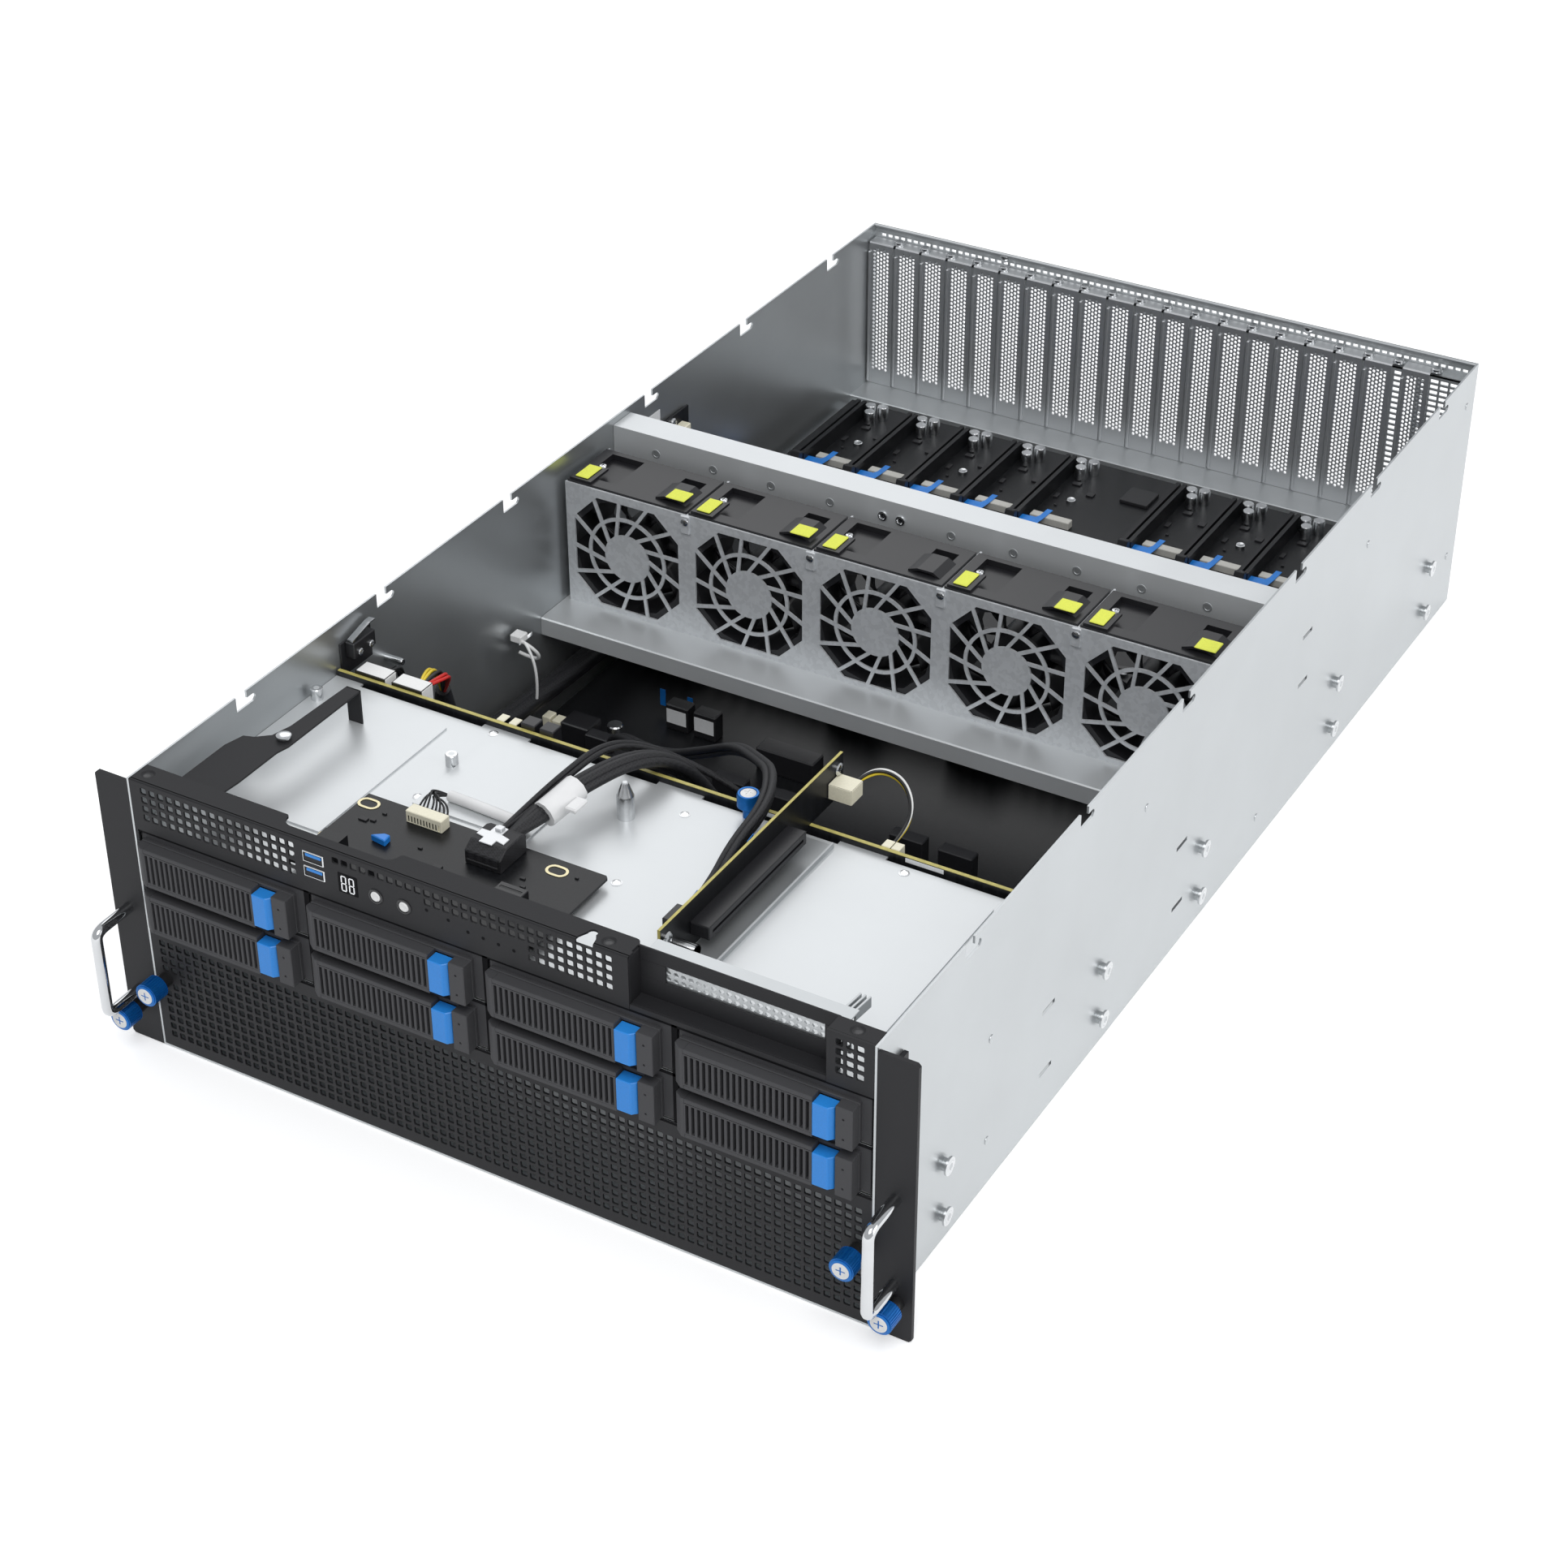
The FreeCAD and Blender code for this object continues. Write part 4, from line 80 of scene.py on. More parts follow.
# Thickness of the steel sheet, height of the deck, and x and height of the panel's thumbscrews.
SHEET = 1.2
DECK_TOP = 143.2
PANEL_KNOB = (211.5, 47.5)

Point = tuple[float, float, float]
Outline = Sequence[tuple[float, float]]
Rect = tuple[float, float, float, float]
Piece = bpy.types.Object
Socket = bpy.types.NodeSocket


class Axis(Enum):
    """Direction in which an outline is pushed or a turned piece grows."""

    RIGHT = 0
    REAR = 1
    UP = 2


class Pattern(Enum):
    """Fine pattern of a finish."""

    CLOUD = "cloud"
    SPANGLE = "spangle"
    BRUSHED = "brushed"
    GRAINED = "grained"
    BRAIDED = "braided"
    TRACED = "traced"


NOISE = "ShaderNodeTexNoise"
TEXTURES: dict[Pattern, tuple[str, dict[str, object]]] = {
    Pattern.CLOUD: (NOISE, {"Detail": 4.0}),
    Pattern.BRUSHED: (NOISE, {"Detail": 2.0}),
    Pattern.GRAINED: (NOISE, {"Detail": 2.0}),
    Pattern.SPANGLE: ("ShaderNodeTexVoronoi", {"Randomness": 1.0}),
    Pattern.BRAIDED: ("ShaderNodeTexChecker", {}),
    Pattern.TRACED: (
        "ShaderNodeTexBrick",
        {
            "Color1": (0.2, 0.2, 0.2, 1.0),
            "Color2": (0.8, 0.8, 0.8, 1.0),
            "Mortar": (0.0, 0.0, 0.0, 1.0),
            "Mortar Size": 0.03,
        },
    ),
}


@dataclass(frozen=True)
class Finish:
    """Colour, gloss and fine pattern of one material."""

    name: str
    colour: tuple[float, float, float]
    metallic: float = 0.0
    roughness: float = 0.5
    pattern: Pattern = Pattern.GRAINED
    scale: float = 900.0
    tint: float = 0.08
    relief: float = 0.1
    coat: float = 0.0
    glow: float = 0.0
    specular: float = 0.5

    def material(self) -> bpy.types.Material:
        """Make the material, or return it if it is there already.

        Returns:
            The material with its colour, roughness and relief nodes.
        """
        found = bpy.data.materials.get(self.name)
        if found is not None:
            return found
        made = bpy.data.materials.new(self.name)
        made.use_nodes = True
        nodes = made.node_tree.nodes
        shader = nodes["Principled BSDF"]
        shader.inputs["Metallic"].default_value = self.metallic
        shader.inputs["Coat Weight"].default_value = self.coat
        shader.inputs["Specular IOR Level"].default_value = self.specular
        if self.glow:
            shader.inputs["Emission Color"].default_value = (*self.colour, 1.0)
            shader.inputs["Emission Strength"].default_value = self.glow
        factor, height = self.pattern_nodes(made.node_tree)
        self.shade(made.node_tree, shader, factor, height)
        return made

    def pattern_nodes(self, tree: bpy.types.NodeTree) -> tuple[Socket, Socket]:
        """Add the nodes that draw the pattern.

        Args:
            tree: The material's node tree.

        Returns:
            The socket that varies colour and gloss, and the socket that gives the relief.
        """
        place = tree.nodes.new("ShaderNodeTexCoord")
        mapping = tree.nodes.new("ShaderNodeMapping")
        tree.links.new(place.outputs["Object"], mapping.inputs["Vector"])
        kind, settings = TEXTURES[self.pattern]
        texture = tree.nodes.new(kind)
        texture.inputs["Scale"].default_value = self.scale
        for key, value in settings.items():
            texture.inputs[key].default_value = value
        tree.links.new(mapping.outputs["Vector"], texture.inputs["Vector"])
        if self.pattern is Pattern.BRUSHED:
            mapping.inputs["Scale"].default_value = (1.0, 1.0, 0.04)
        if self.pattern is Pattern.BRAIDED:
            mapping.inputs["Rotation"].default_value = (0.6, 0.5, 0.8)
        if self.pattern is Pattern.SPANGLE:
            separate = tree.nodes.new("ShaderNodeSeparateColor")
            tree.links.new(texture.outputs["Color"], separate.inputs["Color"])
            return separate.outputs["Red"], separate.outputs["Green"]
        factor = "Color" if self.pattern is Pattern.TRACED else "Fac"
        return texture.outputs[factor], texture.outputs["Fac"]

    def shade(self, tree: bpy.types.NodeTree, shader: bpy.types.Node, factor: Socket, height: Socket) -> None:
        """Link the pattern to colour, roughness and relief.

        Args:
            tree: The material's node tree.
            shader: The surface shader.
            factor: Socket that varies colour and gloss.
            height: Socket that gives the relief.
        """
        ramp = tree.nodes.new("ShaderNodeValToRGB")
        ramp.color_ramp.elements[0].position = 0.3
        ramp.color_ramp.elements[1].position = 0.7
        low = [channel * (1.0 - self.tint) for channel in self.colour]
        high = [min(1.0, channel * (1.0 + self.tint)) for channel in self.colour]
        ramp.color_ramp.elements[0].color = (*low, 1.0)
        ramp.color_ramp.elements[1].color = (*high, 1.0)
        tree.links.new(factor, ramp.inputs["Fac"])
        tree.links.new(ramp.outputs["Color"], shader.inputs["Base Color"])
        gloss = tree.nodes.new("ShaderNodeMapRange")
        gloss.inputs["To Min"].default_value = max(0.02, self.roughness - 0.05)
        gloss.inputs["To Max"].default_value = min(1.0, self.roughness + 0.05)
        tree.links.new(factor, gloss.inputs["Value"])
        tree.links.new(gloss.outputs["Result"], shader.inputs["Roughness"])
        if self.relief:
            bump = tree.nodes.new("ShaderNodeBump")
            bump.inputs["Strength"].default_value = self.relief
            bump.inputs["Distance"].default_value = 0.2 * MM
            tree.links.new(height, bump.inputs["Height"])
            tree.links.new(bump.outputs["Normal"], shader.inputs["Normal"])


@dataclass(frozen=True)
class Palette:
    """Every finish of the server."""

    zinc: Finish = Finish("zinc_sheet", (0.52, 0.54, 0.55), 0.7, 0.38, Pattern.CLOUD, 26.0, 0.05, 0.0)
    wall_zinc: Finish = Finish("wall_zinc", (0.5, 0.52, 0.53), 0.85, 0.33, Pattern.CLOUD, 14.0, 0.04, 0.0)
    # Lighter copy of the galvanised sheet for the deck, the cross beam and the fan beam: painted light where the
    # lamps catch them.
    deck_zinc: Finish = Finish("deck_zinc", (0.68, 0.7, 0.71), 0.5, 0.4, Pattern.CLOUD, 18.0, 0.035, 0.0)
    fan_zinc: Finish = Finish("fan_wall_zinc", (0.66, 0.68, 0.7), 0.4, 0.42, Pattern.SPANGLE, 420.0, 0.05, 0.04)
    cover_steel: Finish = Finish("cover_steel", (0.5, 0.48, 0.45), 0.95, 0.26, Pattern.BRUSHED, 700.0, 0.08, 0.04)
    screw_steel: Finish = Finish("screw_steel", (0.66, 0.67, 0.68), 1.0, 0.24, Pattern.CLOUD, 500.0, 0.06, 0.0)
    dark_steel: Finish = Finish("dark_screw", (0.06, 0.06, 0.062), 0.8, 0.35, Pattern.CLOUD, 500.0, 0.06, 0.0)
    chrome: Finish = Finish("polished_chrome", (0.6, 0.61, 0.62), 1.0, 0.1, Pattern.CLOUD, 60.0, 0.03, 0.0)
    black_paint: Finish = Finish(
        "textured_black_paint", (0.02, 0.02, 0.022), 0.0, 0.55, Pattern.GRAINED, 2600.0, 0.12, 0.3, specular=0.25
    )
    tray_black: Finish = Finish(
        "tray_plastic", (0.009, 0.009, 0.01), 0.0, 0.5, Pattern.GRAINED, 2200.0, 0.1, 0.2, specular=0.15
    )
    # Near-black for the display glass, and painted shade in the port pockets, the lamp holes and the gaps between the
    # carriers.
    recess_black: Finish = Finish(
        "recess_black", (0.006, 0.006, 0.007), 0.0, 0.7, Pattern.GRAINED, 1800.0, 0.1, 0.1, specular=0.1
    )
    board_black: Finish = Finish(
        "solder_mask", (0.0085, 0.009, 0.0105), 0.0, 0.38, Pattern.TRACED, 330.0, 0.3, 0.12, specular=0.35
    )
    part_black: Finish = Finish("moulded_black", (0.014, 0.014, 0.016), 0.0, 0.36, Pattern.GRAINED, 1500.0, 0.1, 0.1)
    chip_black: Finish = Finish("chip_black", (0.02, 0.02, 0.022), 0.0, 0.5, Pattern.GRAINED, 3000.0, 0.1, 0.1)
    edge_yellow: Finish = Finish("board_edge", (0.5, 0.44, 0.13), 0.0, 0.5, Pattern.CLOUD, 300.0, 0.15, 0.0)
    cream: Finish = Finish("cream_nylon", (0.83, 0.79, 0.62), 0.0, 0.42, Pattern.GRAINED, 900.0, 0.04, 0.05)
    feed_grey: Finish = Finish("feed_grey", (0.55, 0.54, 0.5), 0.0, 0.42, Pattern.GRAINED, 900.0, 0.04, 0.05)
    white: Finish = Finish("white_nylon", (0.86, 0.86, 0.85), 0.0, 0.4, Pattern.GRAINED, 900.0, 0.03, 0.05)
    plate_white: Finish = Finish("bare_white_plate", (0.78, 0.79, 0.8), 0.0, 0.5, Pattern.GRAINED, 900.0, 0.03, 0.02)
    latch_blue: Finish = Finish("latch_blue", (0.022, 0.255, 0.75), 0.0, 0.38, Pattern.GRAINED, 1800.0, 0.05, 0.08)
    knob_blue: Finish = Finish("anodised_blue", (0.006, 0.14, 0.46), 0.55, 0.3, Pattern.CLOUD, 400.0, 0.08, 0.02)
    film_blue: Finish = Finish("blue_film", (0.012, 0.2, 0.66), 0.0, 0.3, Pattern.CLOUD, 120.0, 0.1, 0.02)
    pad_yellow: Finish = Finish("yellow_pad", (0.78, 0.83, 0.1), 0.0, 0.7, Pattern.GRAINED, 1400.0, 0.06, 0.3)
    sleeve: Finish = Finish("braided_sleeve", (0.014, 0.014, 0.016), 0.0, 0.55, Pattern.BRAIDED, 900.0, 0.5, 0.35)
    wrap: Finish = Finish("white_wrap", (0.8, 0.8, 0.8), 0.0, 0.55, Pattern.CLOUD, 80.0, 0.04, 0.05)
    wire_red: Finish = Finish("wire_red", (0.62, 0.02, 0.015), 0.0, 0.35, Pattern.CLOUD, 200.0, 0.05, 0.0)
    wire_yellow: Finish = Finish("wire_yellow", (0.8, 0.6, 0.03), 0.0, 0.35, Pattern.CLOUD, 200.0, 0.05, 0.0)
    wire_black: Finish = Finish("wire_black", (0.012, 0.012, 0.013), 0.0, 0.35, Pattern.CLOUD, 200.0, 0.1, 0.0)
    wire_white: Finish = Finish("wire_white", (0.8, 0.8, 0.78), 0.0, 0.35, Pattern.CLOUD, 200.0, 0.05, 0.0)
    brass: Finish = Finish("tinned_ring", (0.62, 0.56, 0.36), 0.9, 0.3, Pattern.CLOUD, 300.0, 0.08, 0.0)
    fin_aluminium: Finish = Finish("fin_aluminium", (0.62, 0.63, 0.64), 0.9, 0.35, Pattern.BRUSHED, 600.0, 0.06, 0.03)
    supply_case: Finish = Finish("supply_case", (0.5, 0.52, 0.53), 0.85, 0.36, Pattern.CLOUD, 30.0, 0.05, 0.0)
    digit: Finish = Finish("digit_bar", (0.75, 0.76, 0.78), 0.0, 0.5, Pattern.GRAINED, 900.0, 0.02, 0.0, 0.0, 0.4)


PALETTE = Palette()


def spot(x: float, depth: float, height: float) -> Vector:
    """Point of the frame in metres from millimetres and a depth from the front."""
    return Vector((x * MM, (depth - FRONT) * MM, height * MM))


def deselect() -> None:
    """Leave edit mode and clear the selection."""
    if bpy.context.object is not None and bpy.context.object.mode != "OBJECT":
        bpy.ops.object.mode_set(mode="OBJECT")
    bpy.ops.object.select_all(action="DESELECT")


def take(piece: Piece) -> None:
    """Make a piece the only selected one."""
    deselect()
    piece.select_set(True)
    bpy.context.view_layer.objects.active = piece


@contextmanager
def editing() -> Iterator[None]:
    """Edit mode for the active piece while the block runs."""
    bpy.ops.object.mode_set(mode="EDIT")
    yield
    bpy.ops.object.mode_set(mode="OBJECT")


def face_outward() -> None:
    """Turn every normal of the piece in edit mode to the outside."""
    bpy.ops.mesh.select_all(action="SELECT")
    bpy.ops.mesh.normals_make_consistent(inside=False)


def settle(piece: Piece, name: str) -> Piece:
    """Apply a piece's place and turn to its mesh, and name it.

    Args:
        piece: Object that was just made.
        name: Name for the object and its mesh.

    Returns:
        The same object, at the origin.
    """
    take(piece)
    bpy.ops.object.transform_apply(location=True, rotation=True, scale=True)
    piece.name = name
    piece.data.name = name
    return piece


def modify(piece: Piece, kind: str, **settings: object) -> None:
    """Add a modifier, set it and apply it.

    Args:
        piece: Object to change.
        kind: Type of the modifier.
        settings: Values of the modifier's properties.
    """
    take(piece)
    modifier = piece.modifiers.new(kind.lower(), kind)
    for key, value in settings.items():
        setattr(modifier, key, value)
    bpy.ops.object.modifier_apply(modifier=modifier.name)


def soften(piece: Piece, width: float) -> Piece:
    """Round the sharp edges of a piece.

    Args:
        piece: Object to change.
        width: Width of the rounding.

    Returns:
        The same object.
    """
    if width > 0:
        modify(piece, "BEVEL", width=width * MM, segments=1, limit_method="ANGLE", angle_limit=0.6)
    return piece


def box_piece(name: str, low: Point, high: Point, edge: float = 0.3) -> Piece:
    """Block with softened edges between two corners.

    Args:
        name: Name of the piece.
        low: Left, front, bottom corner.
        high: Right, rear, top corner.
        edge: Width of the softened edges.

    Returns:
        The block.
    """
    deselect()
    a = spot(*low)
    b = spot(*high)
    bpy.ops.mesh.primitive_cube_add(size=1.0, location=(a + b) / 2)
    piece = bpy.context.object
    piece.scale = b - a
    settle(piece, name)
    return soften(piece, edge)


def outline_point(axis: Axis, u: float, v: float, along: float) -> Vector:
    """Point of an outline on its plane.

    Args:
        axis: Direction in which the outline is pushed.
        u: First coordinate, x or depth.
        v: Second coordinate, depth or height.
        along: Place of the plane along the axis.

    Returns:
        The point in metres.
    """
    if axis is Axis.RIGHT:
        return spot(along, u, v)
    if axis is Axis.REAR:
        return spot(u, along, v)
    return spot(u, v, along)


def outline_piece(name: str, points: Outline, axis: Axis, start: float, stop: float, edge: float = 0.0) -> Piece:
    """Flat outline pushed along an axis into a solid.

    Args:
        name: Name of the piece.
        points: Corners of the outline, as (depth, height), (x, height) or (x, depth).
        axis: Direction of the push.
        start: Place of the first face along the axis.
        stop: Place of the last face along the axis.
        edge: Width of the softened edges.

    Returns:
        The solid.
    """
    deselect()
    bpy.ops.mesh.primitive_circle_add(vertices=len(points), radius=1.0, fill_type="NGON")
    piece = bpy.context.object
    for vertex, (u, v) in zip(piece.data.vertices, points):
        vertex.co = outline_point(axis, u, v, start)
    push = outline_point(axis, 0, 0, stop) - outline_point(axis, 0, 0, start)
    with editing():
        bpy.ops.mesh.select_all(action="SELECT")
        bpy.ops.mesh.extrude_region_move(TRANSFORM_OT_translate={"value": push})
        face_outward()
    settle(piece, name)
    return soften(piece, edge)


def arc(
    centre: tuple[float, float], radius: float, start: float, stop: float, steps: int = 8
) -> list[tuple[float, float]]:
    """Points of an arc in an outline's plane.

    Args:
        centre: Centre of the arc.
        radius: Radius of the arc.
        start: First angle in degrees.
        stop: Last angle in degrees.
        steps: Number of stretches.

    Returns:
        The points from the first angle to the last.
    """
    angles = [math.radians(start + (stop - start) * i / steps) for i in range(steps + 1)]
    return [(centre[0] + radius * math.cos(a), centre[1] + radius * math.sin(a)) for a in angles]


def turned_piece(name: str, foot: Point, axis: Axis, rings: Outline, sides: int = 24) -> Piece:
    """Turned piece that grows ring by ring from its foot.

    Args:
        name: Name of the piece.
        foot: Centre of the first ring.
        axis: Direction in which it grows.
        rings: Radius and distance from the foot of each ring.
        sides: Number of sides.

    Returns:
        The piece.
    """
    deselect()
    bpy.ops.mesh.primitive_circle_add(vertices=sides, radius=rings[0][0] * MM, fill_type="NGON")
    piece = bpy.context.object
    radius, reach = rings[0]
    for vertex in piece.data.vertices:
        vertex.co.z = reach * MM
    with editing():
        bpy.ops.mesh.select_all(action="SELECT")
        for next_radius, next_reach in rings[1:]:
            step = (0.0, 0.0, (next_reach - reach) * MM)
            bpy.ops.mesh.extrude_region_move(TRANSFORM_OT_translate={"value": step})
            share = next_radius / radius
            centre = (0.0, 0.0, next_reach * MM)
            bpy.ops.transform.resize(value=(share, share, 1.0), center_override=centre)
            radius, reach = next_radius, next_reach
        face_outward()
    turns = {Axis.UP: (0.0, 0.0, 0.0), Axis.REAR: (-math.pi / 2, 0.0, 0.0), Axis.RIGHT: (0.0, math.pi / 2, 0.0)}
    piece.rotation_euler = Euler(turns[axis])
    piece.location = spot(*foot)
    settle(piece, name)
    bpy.ops.object.shade_smooth_by_angle(angle=0.6)
    return piece


def select_faces(piece: Piece, wanted: Callable[[bpy.types.MeshPolygon], bool]) -> None:
    """Select faces of a piece by their place or normal.

    Args:
        piece: Object in object mode.
        wanted: Test of a face.
    """
    take(piece)
    bpy.context.tool_settings.mesh_select_mode = (False, False, True)
    mesh = piece.data
    mesh.vertices.foreach_set("select", [False] * len(mesh.vertices))
    mesh.edges.foreach_set("select", [False] * len(mesh.edges))
    for polygon in mesh.polygons:
        polygon.select = wanted(polygon)


def perforated_sheet(
    name: str,
    low: tuple[float, float],
    high: tuple[float, float],
    depth: float,
    cells: tuple[int, int],
    bar: float,
    sheet: float,
    corner: float = 0.0,
    opened: Callable[[int, int], bool] | None = None,
) -> Piece:
    """Upright sheet that faces the front, with a field of holes.

    Args:
        name: Name of the piece.
        low: Left x and bottom height of the field.
        high: Right x and top height of the field.
        depth: Depth of the front face.
        cells: Columns and rows.
        bar: Width of metal left between two holes.
        sheet: Thickness.
        corner: Chamfer of each hole's corners.
        opened: Whether the cell of a column and row is punched.

    Returns:
        The sheet.
    """
    deselect()
    columns, rows = cells
    bpy.ops.mesh.primitive_grid_add(x_subdivisions=columns, y_subdivisions=rows, size=1.0)
    piece = bpy.context.object
    width = (high[0] - low[0]) * MM
    height = (high[1] - low[1]) * MM
    piece.scale = (width, height, 1.0)
    bpy.ops.object.transform_apply(location=False, rotation=False, scale=True)

    def punched(polygon: bpy.types.MeshPolygon) -> bool:
        """Whether a cell's face is to be punched."""
        column = int((polygon.center.x / width + 0.5) * columns)
        row = int((polygon.center.y / height + 0.5) * rows)
        return opened is None or opened(column, row)

    select_faces(piece, punched)
    with editing():
        bpy.ops.mesh.inset(thickness=bar / 2 * MM, depth=0.0, use_individual=True)
        if corner > 0:
            bpy.ops.mesh.bevel(offset=corner * MM, segments=1, affect="VERTICES")
            bpy.ops.mesh.select_all(action="DESELECT")
            bpy.ops.mesh.select_face_by_sides(number=8, type="EQUAL", extend=False)
        bpy.ops.mesh.delete(type="FACE")
    piece.rotation_euler = Euler((math.pi / 2, 0.0, 0.0))
    piece.location = spot((low[0] + high[0]) / 2, depth, (low[1] + high[1]) / 2)
    settle(piece, name)
    modify(piece, "SOLIDIFY", thickness=sheet * MM, offset=-1.0)
    return piece


def framed_field(
    outer: Rect,
    inner: Rect,
    cells: tuple[int, int],
    bar: float,
    corner: float,
    opened: Callable[[int, int], bool] | None = None,
) -> list[Piece]:
    """Field of holes in the front plane, with the plain strips around it.

    Args:
        outer: Left, bottom, right and top of the plate.
        inner: Left, bottom, right and top of the field.
        cells: Columns and rows.
        bar: Width of metal left between two holes.
        corner: Chamfer of each hole's corners.
        opened: Whether the cell of a column and row is punched.

    Returns:
        The field and its lower, upper, left and right strip.
    """
    x0, z0, x1, z1 = outer
    left, low, right, top = inner
    pieces = [perforated_sheet("field", (left, low), (right, top), 0.0, cells, bar, SHEET, corner, opened)]
    strips = ((x0, z0, x1, low), (x0, top, x1, z1), (x0, low, left, top), (right, low, x1, top))
    for xa, za, xb, zb in strips:
        pieces.append(box_piece("strip", (xa, 0, za), (xb, SHEET, zb), 0.0))
    return pieces


def blocks(rows: Iterable[Sequence[float]], floor: float, edge: float) -> list[Piece]:
    """Loose blocks that stand on a board.

    Args:
        rows: Left x, front depth, width, length and height of each block.
        floor: Height of the board's face.
        edge: Width of the softened edges.

    Returns:
        The blocks.
    """
    made = []
    for x, depth, width, length, height in rows:
        made.append(box_piece("block", (x, depth, floor), (x + width, depth + length, floor + height), edge))
    return made


def join(name: str, pieces: Iterable[Piece]) -> Piece:
    """Join pieces into one object.

    Args:
        name: Name of the joined piece.
        pieces: Objects to join.

    Returns:
        The joined object.
    """
    parts = list(pieces)
    take(parts[0])
    for part in parts[1:]:
        part.select_set(True)
    if len(parts) > 1:
        bpy.ops.object.join()
    made = bpy.context.view_layer.objects.active
    made.name = name
    made.data.name = name
    return made


def copies(name: str, pattern: Piece, offsets: Iterable[Point]) -> Piece:
    """One object made of copies of a piece, which is used up.

    Args:
        name: Name of the joined piece.
        pattern: Piece to copy.
        offsets: Shift of each copy in millimetres.

    Returns:
        The joined copies.
    """
    made = []
    for x, depth, height in offsets:
        twin = pattern.copy()
        twin.data = pattern.data.copy()
        bpy.context.collection.objects.link(twin)
        twin.location = Vector((x, depth, height)) * MM
        made.append(settle(twin, name))
    bpy.data.objects.remove(pattern, do_unlink=True)
    return join(name, made)


def carve(piece: Piece, tools: Iterable[Piece]) -> Piece:
    """Take solids away from a piece.

    Args:
        piece: Object to cut.
        tools: Solids that are used up.

    Returns:
        The cut object.
    """
    for tool in tools:
        modify(piece, "BOOLEAN", operation="DIFFERENCE", solver="EXACT", object=tool)
        bpy.data.objects.remove(tool, do_unlink=True)
    return piece


def dress(piece: Piece, finish: Finish, body: str = ROOT_BODY, stands_for: Sequence[str] = ()) -> Piece:
    """Give a piece its finish and its body, and hide the nodes that it stands for.

    Args:
        piece: Finished piece.
        finish: Its finish.
        body: Body that it moves with.
        stands_for: CAD nodes that it replaces.

    Returns:
        The same piece.
    """
    piece.data.materials.clear()
    piece.data.materials.append(finish.material())
    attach(piece, body)
    if stands_for:
        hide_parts(*stands_for)
    LOG.info("piece %s on %s", piece.name, body)
    return piece


def strand(name: str, route: Sequence[Point], radius: float, shift: Point = (0.0, 0.0, 0.0)) -> Piece:
    """Cable along a smooth curve through the room between its control points.

    Args:
        name: Name of the piece.
        route: Control points of the curve.
        radius: Radius of the cable.
        shift: Offset of the inner points from the route.

    Returns:
        The cable as a mesh tube.
    """
    deselect()
    curve = bpy.data.curves.new(name, "CURVE")
    curve.dimensions = "3D"
    curve.bevel_depth = radius * MM
    curve.bevel_resolution = 3
    curve.resolution_u = 10
    curve.use_fill_caps = True
    spline = curve.splines.new("NURBS")
    spline.points.add(len(route) - 1)
    for number, (point, (x, depth, height)) in enumerate(zip(spline.points, route)):
        share = 0.0 if number in (0, len(route) - 1) else 1.0
        place = spot(x + shift[0] * share, depth + shift[1] * share, height + shift[2] * share)
        point.co = (*place, 1.0)
    spline.order_u = 3
    spline.use_endpoint_u = True
    piece = bpy.data.objects.new(name, curve)
    bpy.context.collection.objects.link(piece)
    take(piece)
    bpy.ops.object.convert(target="MESH")
    piece = bpy.context.object
    piece.name = name
    bpy.ops.object.shade_smooth()
    return piece


